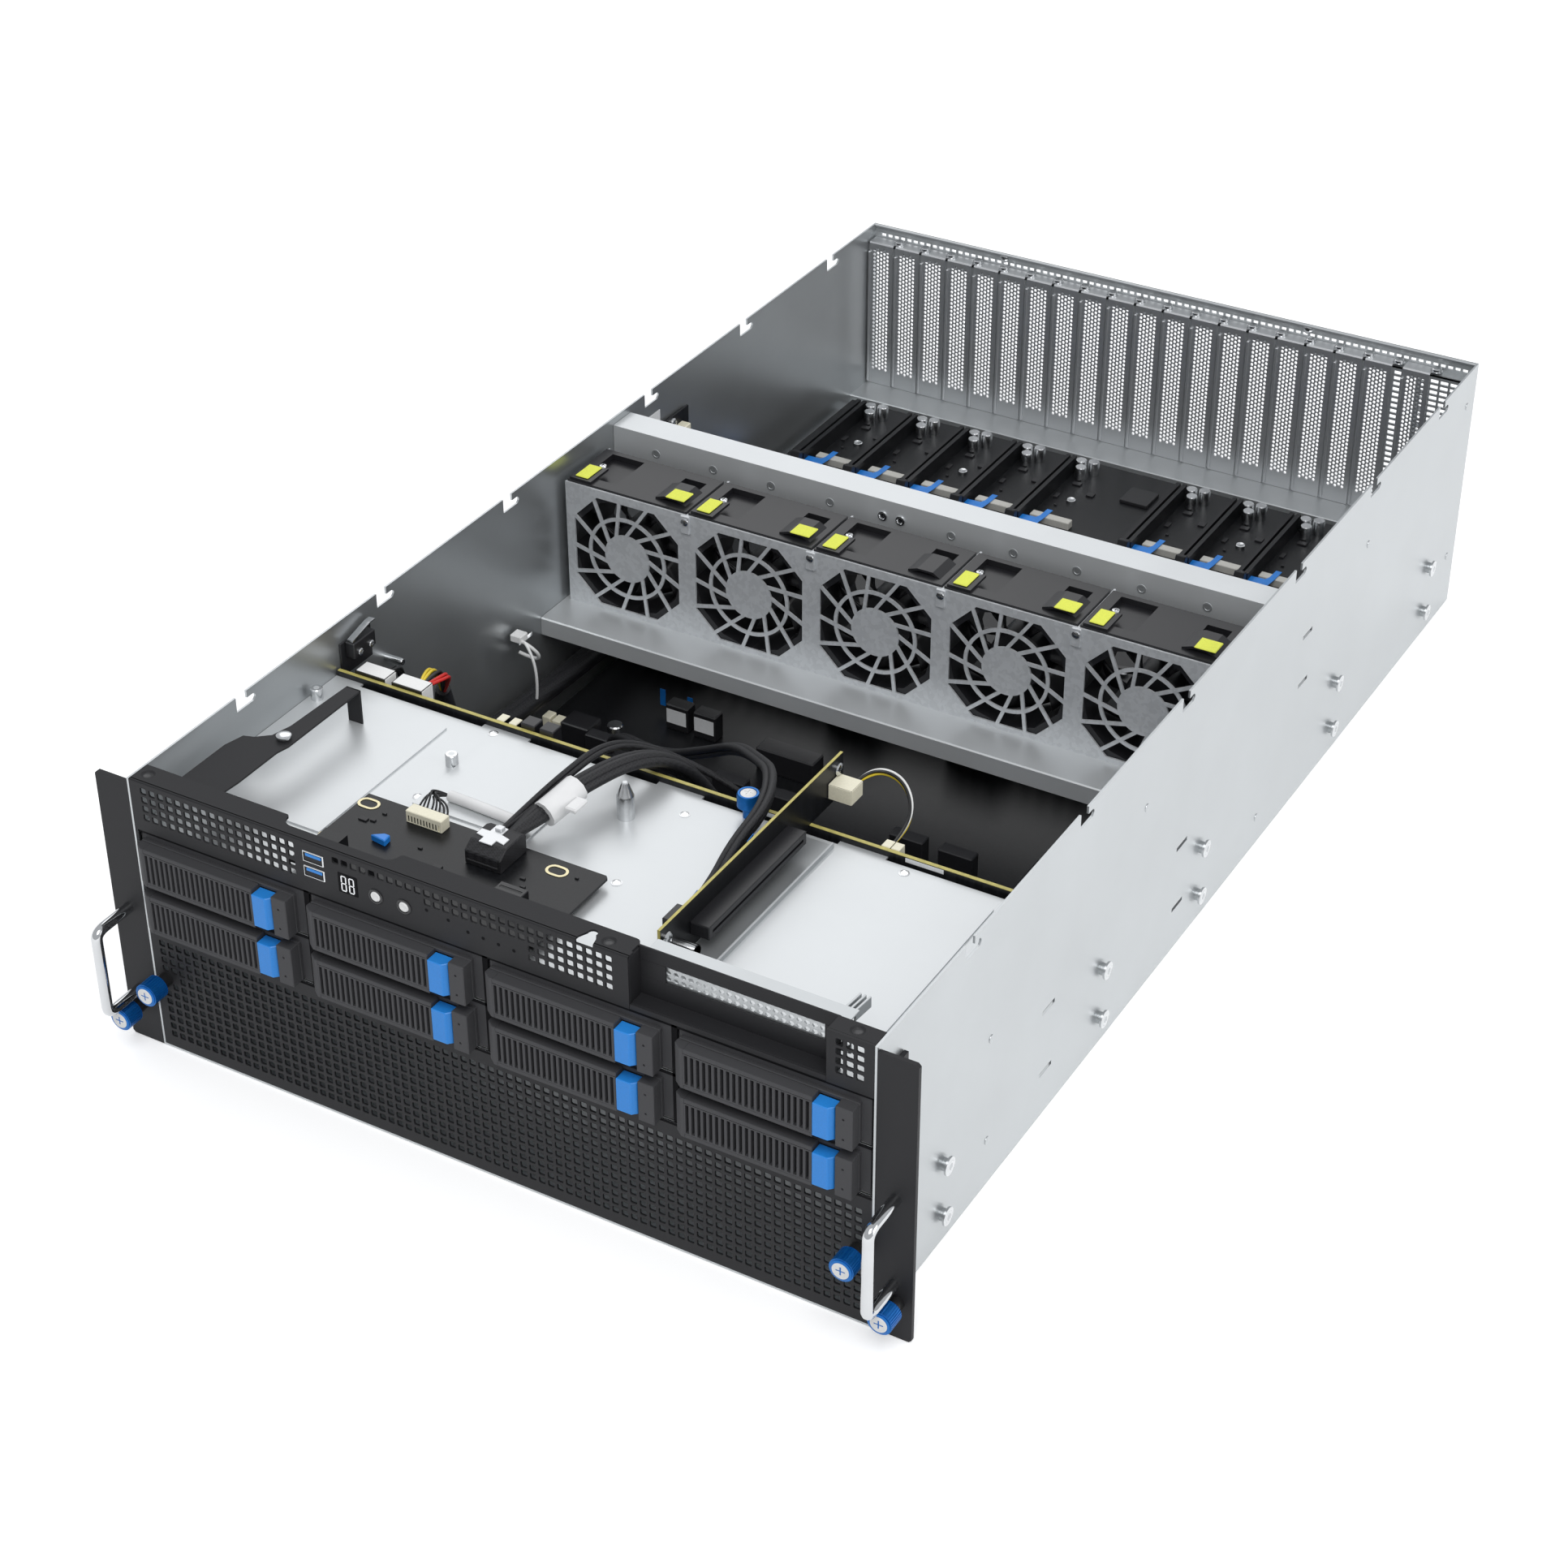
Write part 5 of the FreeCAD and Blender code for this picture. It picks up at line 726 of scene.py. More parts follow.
@dataclass
class Stage:
    """Floor, light and camera."""

    camera_place: Point = (739.38, -978.76, 1067.49)
    azimuth_deg: float = -30.155
    elevation_deg: float = 34.056
    roll_deg: float = -0.104
    focal_px: float = 3841.6
    image_px: float = 1932.0
    sensor: float = 36.0
    floor_size: float = 14.0

    def floor(self) -> None:
        """Lay a pale floor that looks white to the camera and keeps the shadow."""
        deselect()
        bpy.ops.mesh.primitive_plane_add(size=self.floor_size, location=(0.0, 0.0, -0.0006))
        floor = bpy.context.object
        floor.name = "floor"
        material = bpy.data.materials.new("pale_floor")
        material.use_nodes = True
        tree = material.node_tree
        tree.nodes.clear()
        output = tree.nodes.new("ShaderNodeOutputMaterial")
        path = tree.nodes.new("ShaderNodeLightPath")
        plain = tree.nodes.new("ShaderNodeBsdfDiffuse")
        plain.inputs["Color"].default_value = (0.62, 0.62, 0.62, 1.0)
        bright = tree.nodes.new("ShaderNodeBsdfDiffuse")
        bright.inputs["Color"].default_value = (0.93, 0.93, 0.93, 1.0)
        glow = tree.nodes.new("ShaderNodeEmission")
        glow.inputs["Strength"].default_value = 0.36
        sheet = tree.nodes.new("ShaderNodeAddShader")
        tree.links.new(bright.outputs[0], sheet.inputs[0])
        tree.links.new(glow.outputs[0], sheet.inputs[1])
        seen = tree.nodes.new("ShaderNodeMath")
        seen.operation = "MAXIMUM"
        tree.links.new(path.outputs["Is Camera Ray"], seen.inputs[0])
        tree.links.new(path.outputs["Is Glossy Ray"], seen.inputs[1])
        choice = tree.nodes.new("ShaderNodeMixShader")
        tree.links.new(seen.outputs[0], choice.inputs["Fac"])
        tree.links.new(plain.outputs[0], choice.inputs[1])
        tree.links.new(sheet.outputs[0], choice.inputs[2])
        tree.links.new(choice.outputs[0], output.inputs["Surface"])
        floor.data.materials.append(material)

    def world(self) -> None:
        """Set a pale world that shows white to the camera."""
        world = bpy.data.worlds.new("pale_world")
        bpy.context.scene.world = world
        world.use_nodes = True
        tree = world.node_tree
        tree.nodes.clear()
        output = tree.nodes.new("ShaderNodeOutputWorld")
        path = tree.nodes.new("ShaderNodeLightPath")
        soft = tree.nodes.new("ShaderNodeBackground")
        soft.inputs["Color"].default_value = (0.95, 0.97, 1.0, 1.0)
        soft.inputs["Strength"].default_value = 0.62
        white = tree.nodes.new("ShaderNodeBackground")
        white.inputs["Strength"].default_value = 1.0
        choice = tree.nodes.new("ShaderNodeMixShader")
        tree.links.new(path.outputs["Is Camera Ray"], choice.inputs["Fac"])
        tree.links.new(soft.outputs[0], choice.inputs[1])
        tree.links.new(white.outputs[0], choice.inputs[2])
        tree.links.new(choice.outputs[0], output.inputs["Surface"])

    def lamp(self, name: str, place: Vector, aim: Vector, size: float, power: float) -> None:
        """Hang a soft square lamp.

        Args:
            name: Name of the lamp.
            place: Its place in metres.
            aim: Point that it faces.
            size: Side of the square.
            power: Power in watts.
        """
        light = bpy.data.lights.new(name, "AREA")
        light.shape = "SQUARE"
        light.size = size
        light.energy = power
        lamp = bpy.data.objects.new(name, light)
        bpy.context.collection.objects.link(lamp)
        lamp.location = place
        lamp.rotation_euler = (aim - place).to_track_quat("-Z", "Y").to_euler()

    def camera(self) -> None:
        """Set the camera at the photograph's place and angle."""
        data = bpy.data.cameras.new("view")
        data.sensor_width = self.sensor
        data.lens = self.focal_px / self.image_px * self.sensor
        camera = bpy.data.objects.new("view", data)
        bpy.context.collection.objects.link(camera)
        camera.location = spot(*self.camera_place)
        azimuth = math.radians(self.azimuth_deg)
        elevation = math.radians(self.elevation_deg)
        level = math.cos(elevation)
        heading = Vector((math.sin(azimuth) * level, math.cos(azimuth) * level, -math.sin(elevation)))
        turn = heading.to_track_quat("-Z", "Y")
        roll = Euler((0.0, 0.0, math.radians(self.roll_deg))).to_quaternion()
        camera.rotation_euler = (turn @ roll).to_euler()
        bpy.context.scene.camera = camera

    def build(self) -> None:
        """Make floor, world, lamps and camera."""
        scene = bpy.context.scene
        scene.view_settings.view_transform = "Standard"
        self.camera()
        self.floor()
        self.world()
        aim = Vector((0.0, 0.0, 0.08))
        self.lamp("key_lamp", Vector((0.9, -1.5, 2.4)), aim, 1.6, 32.0)
        self.lamp("side_lamp", Vector((2.6, 0.2, 1.0)), aim, 1.6, 14.0)
        self.lamp("back_lamp", Vector((-1.4, 1.8, 2.2)), aim, 1.8, 13.0)


def cross_head(name: str, foot: Point, axis: Axis, radius: float, height: float) -> Piece:
    """Pan head with a cross recess.

    Args:
        name: Name of the piece.
        foot: Centre of the head's underside.
        axis: Direction in which the head stands.
        radius: Radius of the head.
        height: Height of the head.

    Returns:
        The head.
    """
    rings = [(radius, 0.0), (radius, height * 0.55), (radius * 0.82, height * 0.9), (radius * 0.5, height)]
    head = turned_piece(name, foot, axis, rings, 18)
    arm = radius * 0.55
    thin = radius * 0.12
    tools = []
    for across, along in ((arm, thin), (thin, arm)):
        low, high = [-across, -along], [across, along]
        low.insert(axis.value, height * 0.55)
        high.insert(axis.value, height * 1.4)
        corners = [tuple(a + b for a, b in zip(foot, shift)) for shift in (low, high)]
        tools.append(box_piece("recess", corners[0], corners[1], 0.0))
    return carve(head, tools)


def row(name: str, pattern: Piece, places: Sequence[Point], finish: Finish, slot: str) -> Piece:
    """Copies of a small piece at several places.

    Args:
        name: Name of the joined piece.
        pattern: Piece that stands at the first place.
        places: Places of all copies, the first one being the pattern's own.
        finish: Finish of the copies.
        slot: Material slot of the record; not used.

    Returns:
        The joined piece.
    """
    x, depth, z = places[0]
    shifts = [(px - x, pd - depth, pz - z) for px, pd, pz in places]
    return dress(copies(name, pattern, shifts), finish)


def turned_row(
    name: str, places: Sequence[Point], axis: Axis, rings: Outline, sides: int, finish: Finish, slot: str
) -> Piece:
    """One turned piece at several places.

    Args:
        name: Name of the joined piece.
        places: Foot of each copy.
        axis: Direction in which it grows.
        rings: Radius and distance from the foot of each ring.
        sides: Number of sides.
        finish: Finish of the copies.
        slot: Material slot of the record; not used.

    Returns:
        The joined piece.
    """
    return row(name, turned_piece(name, places[0], axis, rings, sides), places, finish, slot)


def countersunk(name: str, places: Sequence[Point], radius: float, finish: Finish, slot: str) -> None:
    """Countersunk screws in a sheet that lies level.

    Args:
        name: Name of the joined piece.
        places: Centre of each screw on the sheet.
        radius: Radius of the heads.
        finish: Finish of the screws.
        slot: Material slot of the record; not used.
    """
    rings = [(radius, 0.0), (radius, 0.18), (radius * 0.78, 0.3), (radius * 0.7, 0.12), (radius * 0.2, 0.1)]
    turned_row(name, places, Axis.UP, rings, 18, finish, slot)


def side_name(side: int) -> str:
    """Word for the side of the server, from the sign of its x."""
    return "right" if side > 0 else "left"


@dataclass
class Section:
    frame: dict

    def repaint(self, node: str, finish: Finish) -> None:
        """Give a CAD node a finish.

        Args:
            node: Name of the node.
            finish: Finish for all of it.
        """
        node_object = self.frame["nodes"][node]
        if not node_object.data.materials:
            node_object.data.materials.append(finish.material())
        for place in node_object.material_slots:
            place.material = finish.material()

    def build(self) -> None:
        """Make the pieces of the section."""
        raise NotImplementedError


@dataclass
class Shell(Section):
    """Chassis pan and cross beam, with studs, rivets and the small board on the left wall."""

    half_width: float = 219.75
    stud_depths: tuple[float, ...] = (72.0, 254.5, 385.0, 587.0, 748.0)
    stud_heights: tuple[float, ...] = (17.5, 50.5)
    stud_length: float = 4.0
    stud_sunk: float = 1.58
    beam_face: float = 460.0
    rivet_height: float = 158.0

    def stud_heads(self) -> None:
        """Mushroom heads over the ends of the rack slide studs."""
        rings = [(3.7, 0.0), (5.2, 0.15), (5.2, 1.3), (4.4, 1.55), (2.0, 1.62), (1.6, 1.2)]
        for side in (-1, 1):
            foot_x = side * (self.half_width + self.stud_length - self.stud_sunk)
            places = [(foot_x, d, z) for d in self.stud_depths for z in self.stud_heights]
            head = turned_piece("stud_head", places[0], Axis.RIGHT, rings, 20)
            if side < 0:
                for vertex in head.data.vertices:
                    vertex.co.x = 2 * foot_x * MM - vertex.co.x
                take(head)
                with editing():
                    face_outward()
            row(f"stud_heads_{side_name(side)}", head, places, PALETTE.screw_steel, "galvanised")

    def rivets(self) -> None:
        """Flat rivets on the outer walls."""
        spots = (
            (120.0, 30.0), (120.0, 96.0), (300.0, 128.0), (470.0, 20.0),
            (620.0, 131.0), (786.0, 40.0), (786.0, 150.0),
        )
        rings = [(2.4, 0.0), (2.3, 0.35), (1.4, 0.55)]
        for side in (-1, 1):
            x = self.half_width if side > 0 else -self.half_width - rings[-1][1]
            places = [(x, d, z) for d, z in spots]
            name = f"wall_rivets_{side_name(side)}"
            turned_row(name, places, Axis.RIGHT, rings, 14, PALETTE.wall_zinc, "galvanised")

    def beam_details(self) -> None:
        """Flush rivets and two screws on the front of the cross beam."""
        face, z = self.beam_face, self.rivet_height
        places = [(-187.4 + 41.05 * i, face, z) for i in range(10) if i != 4]
        rings = [(3.0, 0.0), (2.9, -0.25), (2.0, -0.3), (1.7, -0.08), (0.6, -0.08)]
        turned_row("beam_rivets", places, Axis.REAR, rings, 18, PALETTE.zinc, "galvanised")
        rings = [(3.2, 0.0), (3.0, -0.9), (2.1, -1.1), (1.7, -0.3), (0.6, -0.3)]
        spots = [(-28.0, face, z + 1.0), (-16.0, face, z + 1.0)]
        turned_row("beam_screws", spots, Axis.REAR, rings, 18, PALETTE.screw_steel, "galvanised")

    def wall_board(self) -> None:
        """Small upright board, bare plate and standoff on the inside of the left wall."""
        board = box_piece("wall_board", (-217.4, 517.6, 118.0), (-216.0, 544.4, 147.4), 0.2)
        dress(board, PALETTE.board_black)
        tall = box_piece("plug", (-216.0, 529.0, 118.0), (-209.0, 536.0, 140.0), 0.6)
        small = box_piece("plug", (-216.0, 519.0, 116.0), (-210.0, 527.0, 133.0), 0.6)
        dress(join("wall_board_plugs", [tall, small]), PALETTE.cream)
        screw = cross_head("hook_screw", (-216.0, 524.4, 143.4), Axis.RIGHT, 3.2, 2.2)
        rings = [(2.2, 0.0), (2.2, 11.0), (1.8, 12.0), (0.8, 12.0)]
        pin = turned_piece("wall_pin", (-218.5, 218.0, 131.0), Axis.RIGHT, rings, 18)
        dress(join("wall_board_screw", [screw, pin]), PALETTE.screw_steel)
        plate = box_piece("wall_plate", (-218.5, 466.0, 130.0), (-218.2, 513.9, 157.0), 0.05)
        dress(plate, PALETTE.plate_white)

    def build(self) -> None:
        """Finish the pan and add its small pieces."""
        self.repaint("chassis_pan", PALETTE.wall_zinc)
        # The cross beam takes the lighter zinc: painted light.
        self.repaint("cross_beam", PALETTE.deck_zinc)
        self.stud_heads()
        self.rivets()
        self.beam_details()
        self.wall_board()


@dataclass
class FrontFace(Section):
    """Lower grille, band with vents and ports, ears, handles and thumbscrews."""

    grille_columns: int = 77
    grille_rows: int = 12
    grille_pitch: float = 5.556
    grille_left: float = -213.9
    grille_bottom: float = 7.4
    grille_top: float = 81.0
    plate_half: float = 218.35
    bar: float = 1.65
    band_bottom: float = 143.4
    band_top: float = 174.5
    band_right: float = 85.0
    vent_left: float = -212.3
    vent_columns: int = 52
    vent_rows: int = 4
    vent_bottom: float = 149.9
    vent_pitch_up: float = 5.5
    vent_bar: float = 1.55
    button_height: float = 156.0
    button_places: tuple[tuple[float, str], ...] = ((-46.2, "power_button"), (-63.4, "locate_button"))
    rack_knob: tuple[float, float] = (232.55, 23.0)
    band_screws: tuple[Point, ...] = ((-212.0, 8.0, 173.5), (70.6, 6.3, 173.5), (206.0, 6.3, 173.5))

    def grille(self) -> None:
        """Lower plate with its full field of square holes."""
        right = self.grille_left + self.grille_columns * self.grille_pitch
        top = self.grille_bottom + self.grille_rows * self.grille_pitch
        half = self.plate_half
        pieces = framed_field(
            (-half, SHEET, half, self.grille_top),
            (self.grille_left, self.grille_bottom, right, top),
            (self.grille_columns, self.grille_rows),
            self.bar,
            0.55,
            self.clear_of_screws,
        )
        pieces.append(box_piece("lip", (-half, SHEET, self.grille_top - SHEET), (half, 6.0, self.grille_top), 0.3))
        made = join("front_grille_sheet", pieces)
        dress(made, PALETTE.black_paint, stands_for=["front_grille"])

    def clear_of_screws(self, column: int, row: int) -> bool:
        """Whether a cell of the grille lies clear of the panel's thumbscrews."""
        x = self.grille_left + (column + 0.5) * self.grille_pitch
        z = self.grille_bottom + (row + 0.5) * self.grille_pitch
        return math.hypot(abs(x) - PANEL_KNOB[0], z - PANEL_KNOB[1]) > 6.5

    def vent_open(self, column: int, row: int) -> bool:
        """Whether a cell of the band is punched, the rows counted from the bottom."""
        if column < 18:
            return True
        if column < 22:
            return False
        sparse = column - 22
        if row == 3:
            return True
        if row == 2:
            return sparse >= 10
        return sparse >= 21

    def band(self) -> None:
        """Folded band over the drives with its vents, flange and card bay."""
        right = self.vent_left + self.vent_columns * self.grille_pitch
        top = self.vent_bottom + self.vent_rows * self.vent_pitch_up
        half = self.plate_half
        pieces = framed_field(
            (-half, self.band_bottom, self.band_right, self.band_top - 0.6),
            (self.vent_left, self.vent_bottom, right, top),
            (self.vent_columns, self.vent_rows),
            self.vent_bar,
            0.6,
            self.vent_open,
        )
        upper_strip = pieces[2]
        carve(upper_strip, [self.key(4.0)])
        fold = [
            (0.0, self.band_top - 0.6), (0.6, self.band_top), (1.8, self.band_top), (SHEET, self.band_top - SHEET),
        ]
        pieces.append(carve(outline_piece("band_fold", fold, Axis.RIGHT, -half, self.band_right), [self.key(4.0)]))
        pieces.append(self.flange())
        pieces += self.card_bay()
        dress(join("front_band", pieces), PALETTE.black_paint, stands_for=["front_io_panel"])

    def flange(self) -> Piece:
        """Top flange of the band with its scooped edge and key-shaped cut-out."""
        half = self.plate_half
        outline = [(-half, 1.2), (-half, 15.0), (-128.0, 15.0)]
        outline += arc((-128.0, 13.0), 2.0, 90.0, 0.0, 4)
        outline += arc((-120.0, 13.5), 6.0, 180.0, 270.0, 6)
        outline += arc((-63.0, 13.5), 6.0, 270.0, 360.0, 6)
        outline += arc((-55.0, 13.0), 2.0, 180.0, 90.0, 4)
        outline += arc((81.0, 12.0), 3.0, 90.0, 0.0, 4)
        outline += [(84.0, 5.0), (85.0, 5.0), (85.0, 1.2)]
        plate = outline_piece("band_flange", outline, Axis.UP, self.band_top - 1.2, self.band_top)
        return carve(plate, [self.key(4.0), *self.sinks(self.band_screws[:2])])

    def key(self, reach: float) -> Piece:
        """Key-shaped tool that opens the flange and its fold.

        Args:
            reach: How far it goes below the top of the band.

        Returns:
            The tool.
        """
        outline = [(55.2, -1.0), (55.4, 3.0), (56.6, 5.6), *arc((60.2, 8.2), 2.6, 190.0, -20.0, 8)]
        outline += [(64.4, 4.4), (65.6, -1.0)]
        return outline_piece("key", outline, Axis.UP, self.band_top - reach, self.band_top + 1)

    def sinks(self, places: Sequence[Point]) -> list[Piece]:
        """Round tools that open the flange over its countersunk screws.

        Args:
            places: Foot of each screw.

        Returns:
            One tool for each screw.
        """
        rings = [(2.4, -1.0), (2.4, 0.1), (3.9, 1.0), (3.9, 2.0)]
        return [turned_piece("sink", place, Axis.UP, rings, 18) for place in places]

    def card_bay(self) -> list[Piece]:
        """Recessed plate, sill and far right face around the low-profile card bay.

        Returns:
            The loose pieces of the bay.
        """
        x0, x1 = self.band_right, 193.0
        low, top = self.band_bottom, self.band_top
        out0, out1 = x0 - SHEET, x1 + SHEET
        back = 11.0
        rear = back + SHEET
        left, sill, right, head = 99.0, 157.0, 186.0, 166.7
        rows = (
            ((x0, 0, low), (x1, SHEET, low + 3), 0.3),
            ((x0, SHEET, low + 1.8), (x1, back, low + 3), 0.2),
            ((out0, back, low), (out1, rear, sill), 0.2),
            ((out0, back, head), (out1, rear, top), 0.2),
            ((out0, back, sill), (left, rear, head), 0.1),
            ((right, back, sill), (out1, rear, head), 0.1),
            ((out0, SHEET, low), (x0, back, top - SHEET), 0.2),
            ((x1, SHEET, low), (out1, back, top - SHEET), 0.2),
        )
        pieces = [box_piece("bay", *corners_and_edge) for corners_and_edge in rows]
        flange = box_piece("far_flange", (x1, SHEET, top - SHEET), (self.plate_half, 12.0, top), 0.3)
        pieces.append(carve(flange, self.sinks(self.band_screws[2:])))
        far = (x1, low, self.plate_half, top)
        pieces += framed_field(far, (197.0, 149.9, 213.7, 171.9), (3, 4), self.vent_bar, 0.6)
        return pieces

    def blank(self) -> None:
        """Round-hole blank and folded strip behind the card bay."""
        sheet = perforated_sheet("bay_blank", (89.0, 153.2), (199.0, 172.0), 12.6, (26, 5), 1.3, 0.9, 0.85)
        fold = [(12.4, 172.0), (13.4, 172.0), (13.4, 172.6), (21.0, 172.6), (21.0, 173.5), (12.4, 173.5)]
        strip = outline_piece("bay_strip", fold, Axis.RIGHT, 89.0, 199.0, 0.2)
        clips = []
        for x in (191.0, 193.6, 196.2):
            shape = [(x, 20.0), (x + 1.2, 20.0), (x + 2.4, 33.0), (x + 1.2, 33.6)]
            clips.append(outline_piece("clip", shape, Axis.UP, 166.8, 173.0, 0.2))
        base = [(85.8, 143.2), (104.0, 143.2), (104.0, 146.2), (102.8, 146.4), (102.8, 144.4), (85.8, 144.4)]
        plate = outline_piece("bay_base", base, Axis.REAR, 50.0, 166.0, 0.15)
        made = join("card_bay_blank", [sheet, strip, plate, *clips])
        dress(made, PALETTE.zinc, stands_for=["riser_bay"])

    def ports(self) -> None:
        """Two stacked ports, the two-digit display and small lamp holes."""
        frames = []
        tongues = []
        for low in (153.4, 162.4):
            mouth = box_piece("port_frame", (-107.6, -0.5, low), (-94.6, 2.0, low + 6.6), 0.3)
            hole = box_piece("port_mouth", (-107.0, -2.0, low + 0.6), (-95.2, 1.5, low + 6.0), 0.0)
            frames.append(carve(mouth, [hole]))
            tongues.append(box_piece("port_tongue", (-106.0, -0.3, low + 3.4), (-96.2, 1.8, low + 5.2), 0.2))
        dress(join("port_frames", frames), PALETTE.screw_steel)
        dress(join("port_tongues", tongues), PALETTE.latch_blue)
        # The pockets inside the ports and the dark lamp-hole discs are painted shade; the display glass is dark
        # glass.
        darks = [
            box_piece("port_pocket", (-107.1, 1.3, 153.9), (-95.1, 1.7, 168.6), 0.1),
            box_piece("display_glass", (-86.4, -0.3, 151.0), (-74.4, 1.0, 163.0), 0.3),
        ]
        for x, z in ((-32.4, 159.0), (-19.5, 157.6), (-8.0, 154.6), (1.0, 154.2), (10.0, 153.8), (19.0, 153.4)):
            darks.append(turned_piece("lamp_hole", (x, -0.06, z), Axis.REAR, [(1.0, 0.0), (1.0, 0.3)], 12))
        dress(join("port_darks", darks), PALETTE.recess_black)
        bars = []
        upright = [(0.0, 152.9), (0.0, 157.4), (2.7, 152.9), (2.7, 157.4)]
        for digit in (-84.4, -79.6):
            strokes = [(digit + x, z, 0.7, 3.8) for x, z in upright]
            strokes += [(digit + 0.5, z, 2.4, 0.6) for z in (152.3, 156.7, 161.1)]
            for x, z, width, height in strokes:
                bars.append(box_piece("digit_bar", (x, -0.45, z), (x + width, -0.28, z + height), 0.05))
        dress(join("digit_bars", bars), PALETTE.digit)

    def buttons(self) -> None:
        """White buttons with dark rims."""
        z = self.button_height
        rings = [(3.0, 6.8), (3.0, 0.9), (2.8, 0.3), (2.3, 0.0), (1.0, 0.1)]
        for x, node in self.button_places:
            cap = turned_piece(f"{node}_cap", (x, -0.8, z), Axis.REAR, rings, 28)
            dress(cap, PALETTE.white, node, stands_for=[node])
        rings = [(4.4, 0.3), (4.4, -0.3), (4.0, -0.6), (3.3, -0.6), (3.15, 0.3)]
        places = [(x, 0.0, z) for x, _ in self.button_places]
        turned_row("button_rims", places, Axis.REAR, rings, 28, PALETTE.dark_steel, "galvanised")

    def ears(self) -> None:
        """Dark rack ears and bright bent handles."""
        self.repaint("rack_ears", PALETTE.black_paint)
        reach, low, high = -26.9, 34.0, 88.0
        for side in (-1, 1):
            bend = [(0.6, low), (-12.0, low), (reach, low), (reach, 44.0), (reach, 61.0)]
            bend += [(reach, 78.0), (reach, high), (-12.0, high), (0.6, high)]
            route = [(side * 231.0, depth, z) for depth, z in bend]
            rod = strand(f"handle_{side_name(side)}", route, 3.1)
            dress(rod, PALETTE.chrome, stands_for=["ear_handles"])

    def knob(self, name: str, x: float, z: float) -> list[Piece]:
        """Knurled thumbscrew head, its bright neck and its white cross disc.

        Args:
            name: Name of the pieces.
            x: Centre of the head.
            z: Height of the centre.

        Returns:
            The head, the neck and the disc.
        """
        deselect()
        bpy.ops.mesh.primitive_cylinder_add(vertices=64, radius=6.75 * MM, depth=10.0 * MM, location=(0, 0, 0))
        head = bpy.context.object
        select_faces(head, lambda face: abs(face.normal.z) < 0.5 and face.index % 2 == 0)
        with editing():
            bpy.ops.mesh.inset(thickness=0.12 * MM, depth=-0.35 * MM, use_individual=True)
        head.rotation_euler = Euler((math.pi / 2, 0.0, 0.0))
        head.location = spot(x, -12.0, z)
        settle(head, f"{name}_head")
        rim_rings = [(6.0, 0.0), (6.0, -0.5), (5.2, -0.9), (4.6, -0.9)]
        rim = turned_piece(f"{name}_rim", (x, -16.9, z), Axis.REAR, rim_rings, 32)
        neck_rings = [(4.3, 0.0), (4.3, -5.5), (4.9, -6.0), (4.9, -7.2)]
        neck = turned_piece(f"{name}_neck", (x, 0.0, z), Axis.REAR, neck_rings, 24)
        disc = turned_piece(f"{name}_disc", (x, -17.0, z), Axis.REAR, [(4.7, 0.0), (4.7, -0.95), (4.3, -1.0)], 28)
        tools = [
            box_piece("slot", (x - 2.6, -18.6, z - 0.42), (x + 2.6, -17.35, z + 0.42), 0.0),
            box_piece("slot", (x - 0.42, -18.6, z - 2.6), (x + 0.42, -17.35, z + 2.6), 0.0),
        ]
        return [join(f"{name}_head", [head, rim]), neck, carve(disc, tools)]

    def thumbscrews(self) -> None:
        """Two rack screws and two panel screws."""
        heads, necks, discs = [], [], []
        for x, z in (self.rack_knob, PANEL_KNOB):
            for side in (1, -1):
                head, neck, disc = self.knob("thumbscrew", side * x, z)
                heads.append(head)
                necks.append(neck)
                discs.append(disc)
        rings = [(1.9, 0.0), (1.9, 2.6), (2.4, 2.7), (2.4, 10.2), (1.8, 10.6)]
        x, z = self.rack_knob
        for side in (1, -1):
            necks.append(turned_piece("shaft", (side * x, 0.0, z), Axis.REAR, rings, 20))
        dress(join("thumbscrew_heads", heads), PALETTE.knob_blue, stands_for=["thumbscrews"])
        dress(join("thumbscrew_necks", necks), PALETTE.dark_steel)
        dress(join("thumbscrew_discs", discs), PALETTE.white)

    def build(self) -> None:
        """Make everything on the front plane."""
        self.grille()
        self.band()
        self.blank()
        self.ports()
        self.buttons()
        self.ears()
        self.thumbscrews()
        countersunk("band_screws", self.band_screws, 3.4, PALETTE.dark_steel, "dark_paint")


@dataclass(frozen=True)
class Bay:
    """Number of a drive bay, its column from the left and its row from the top."""

    number: int
    column: int
    row: int


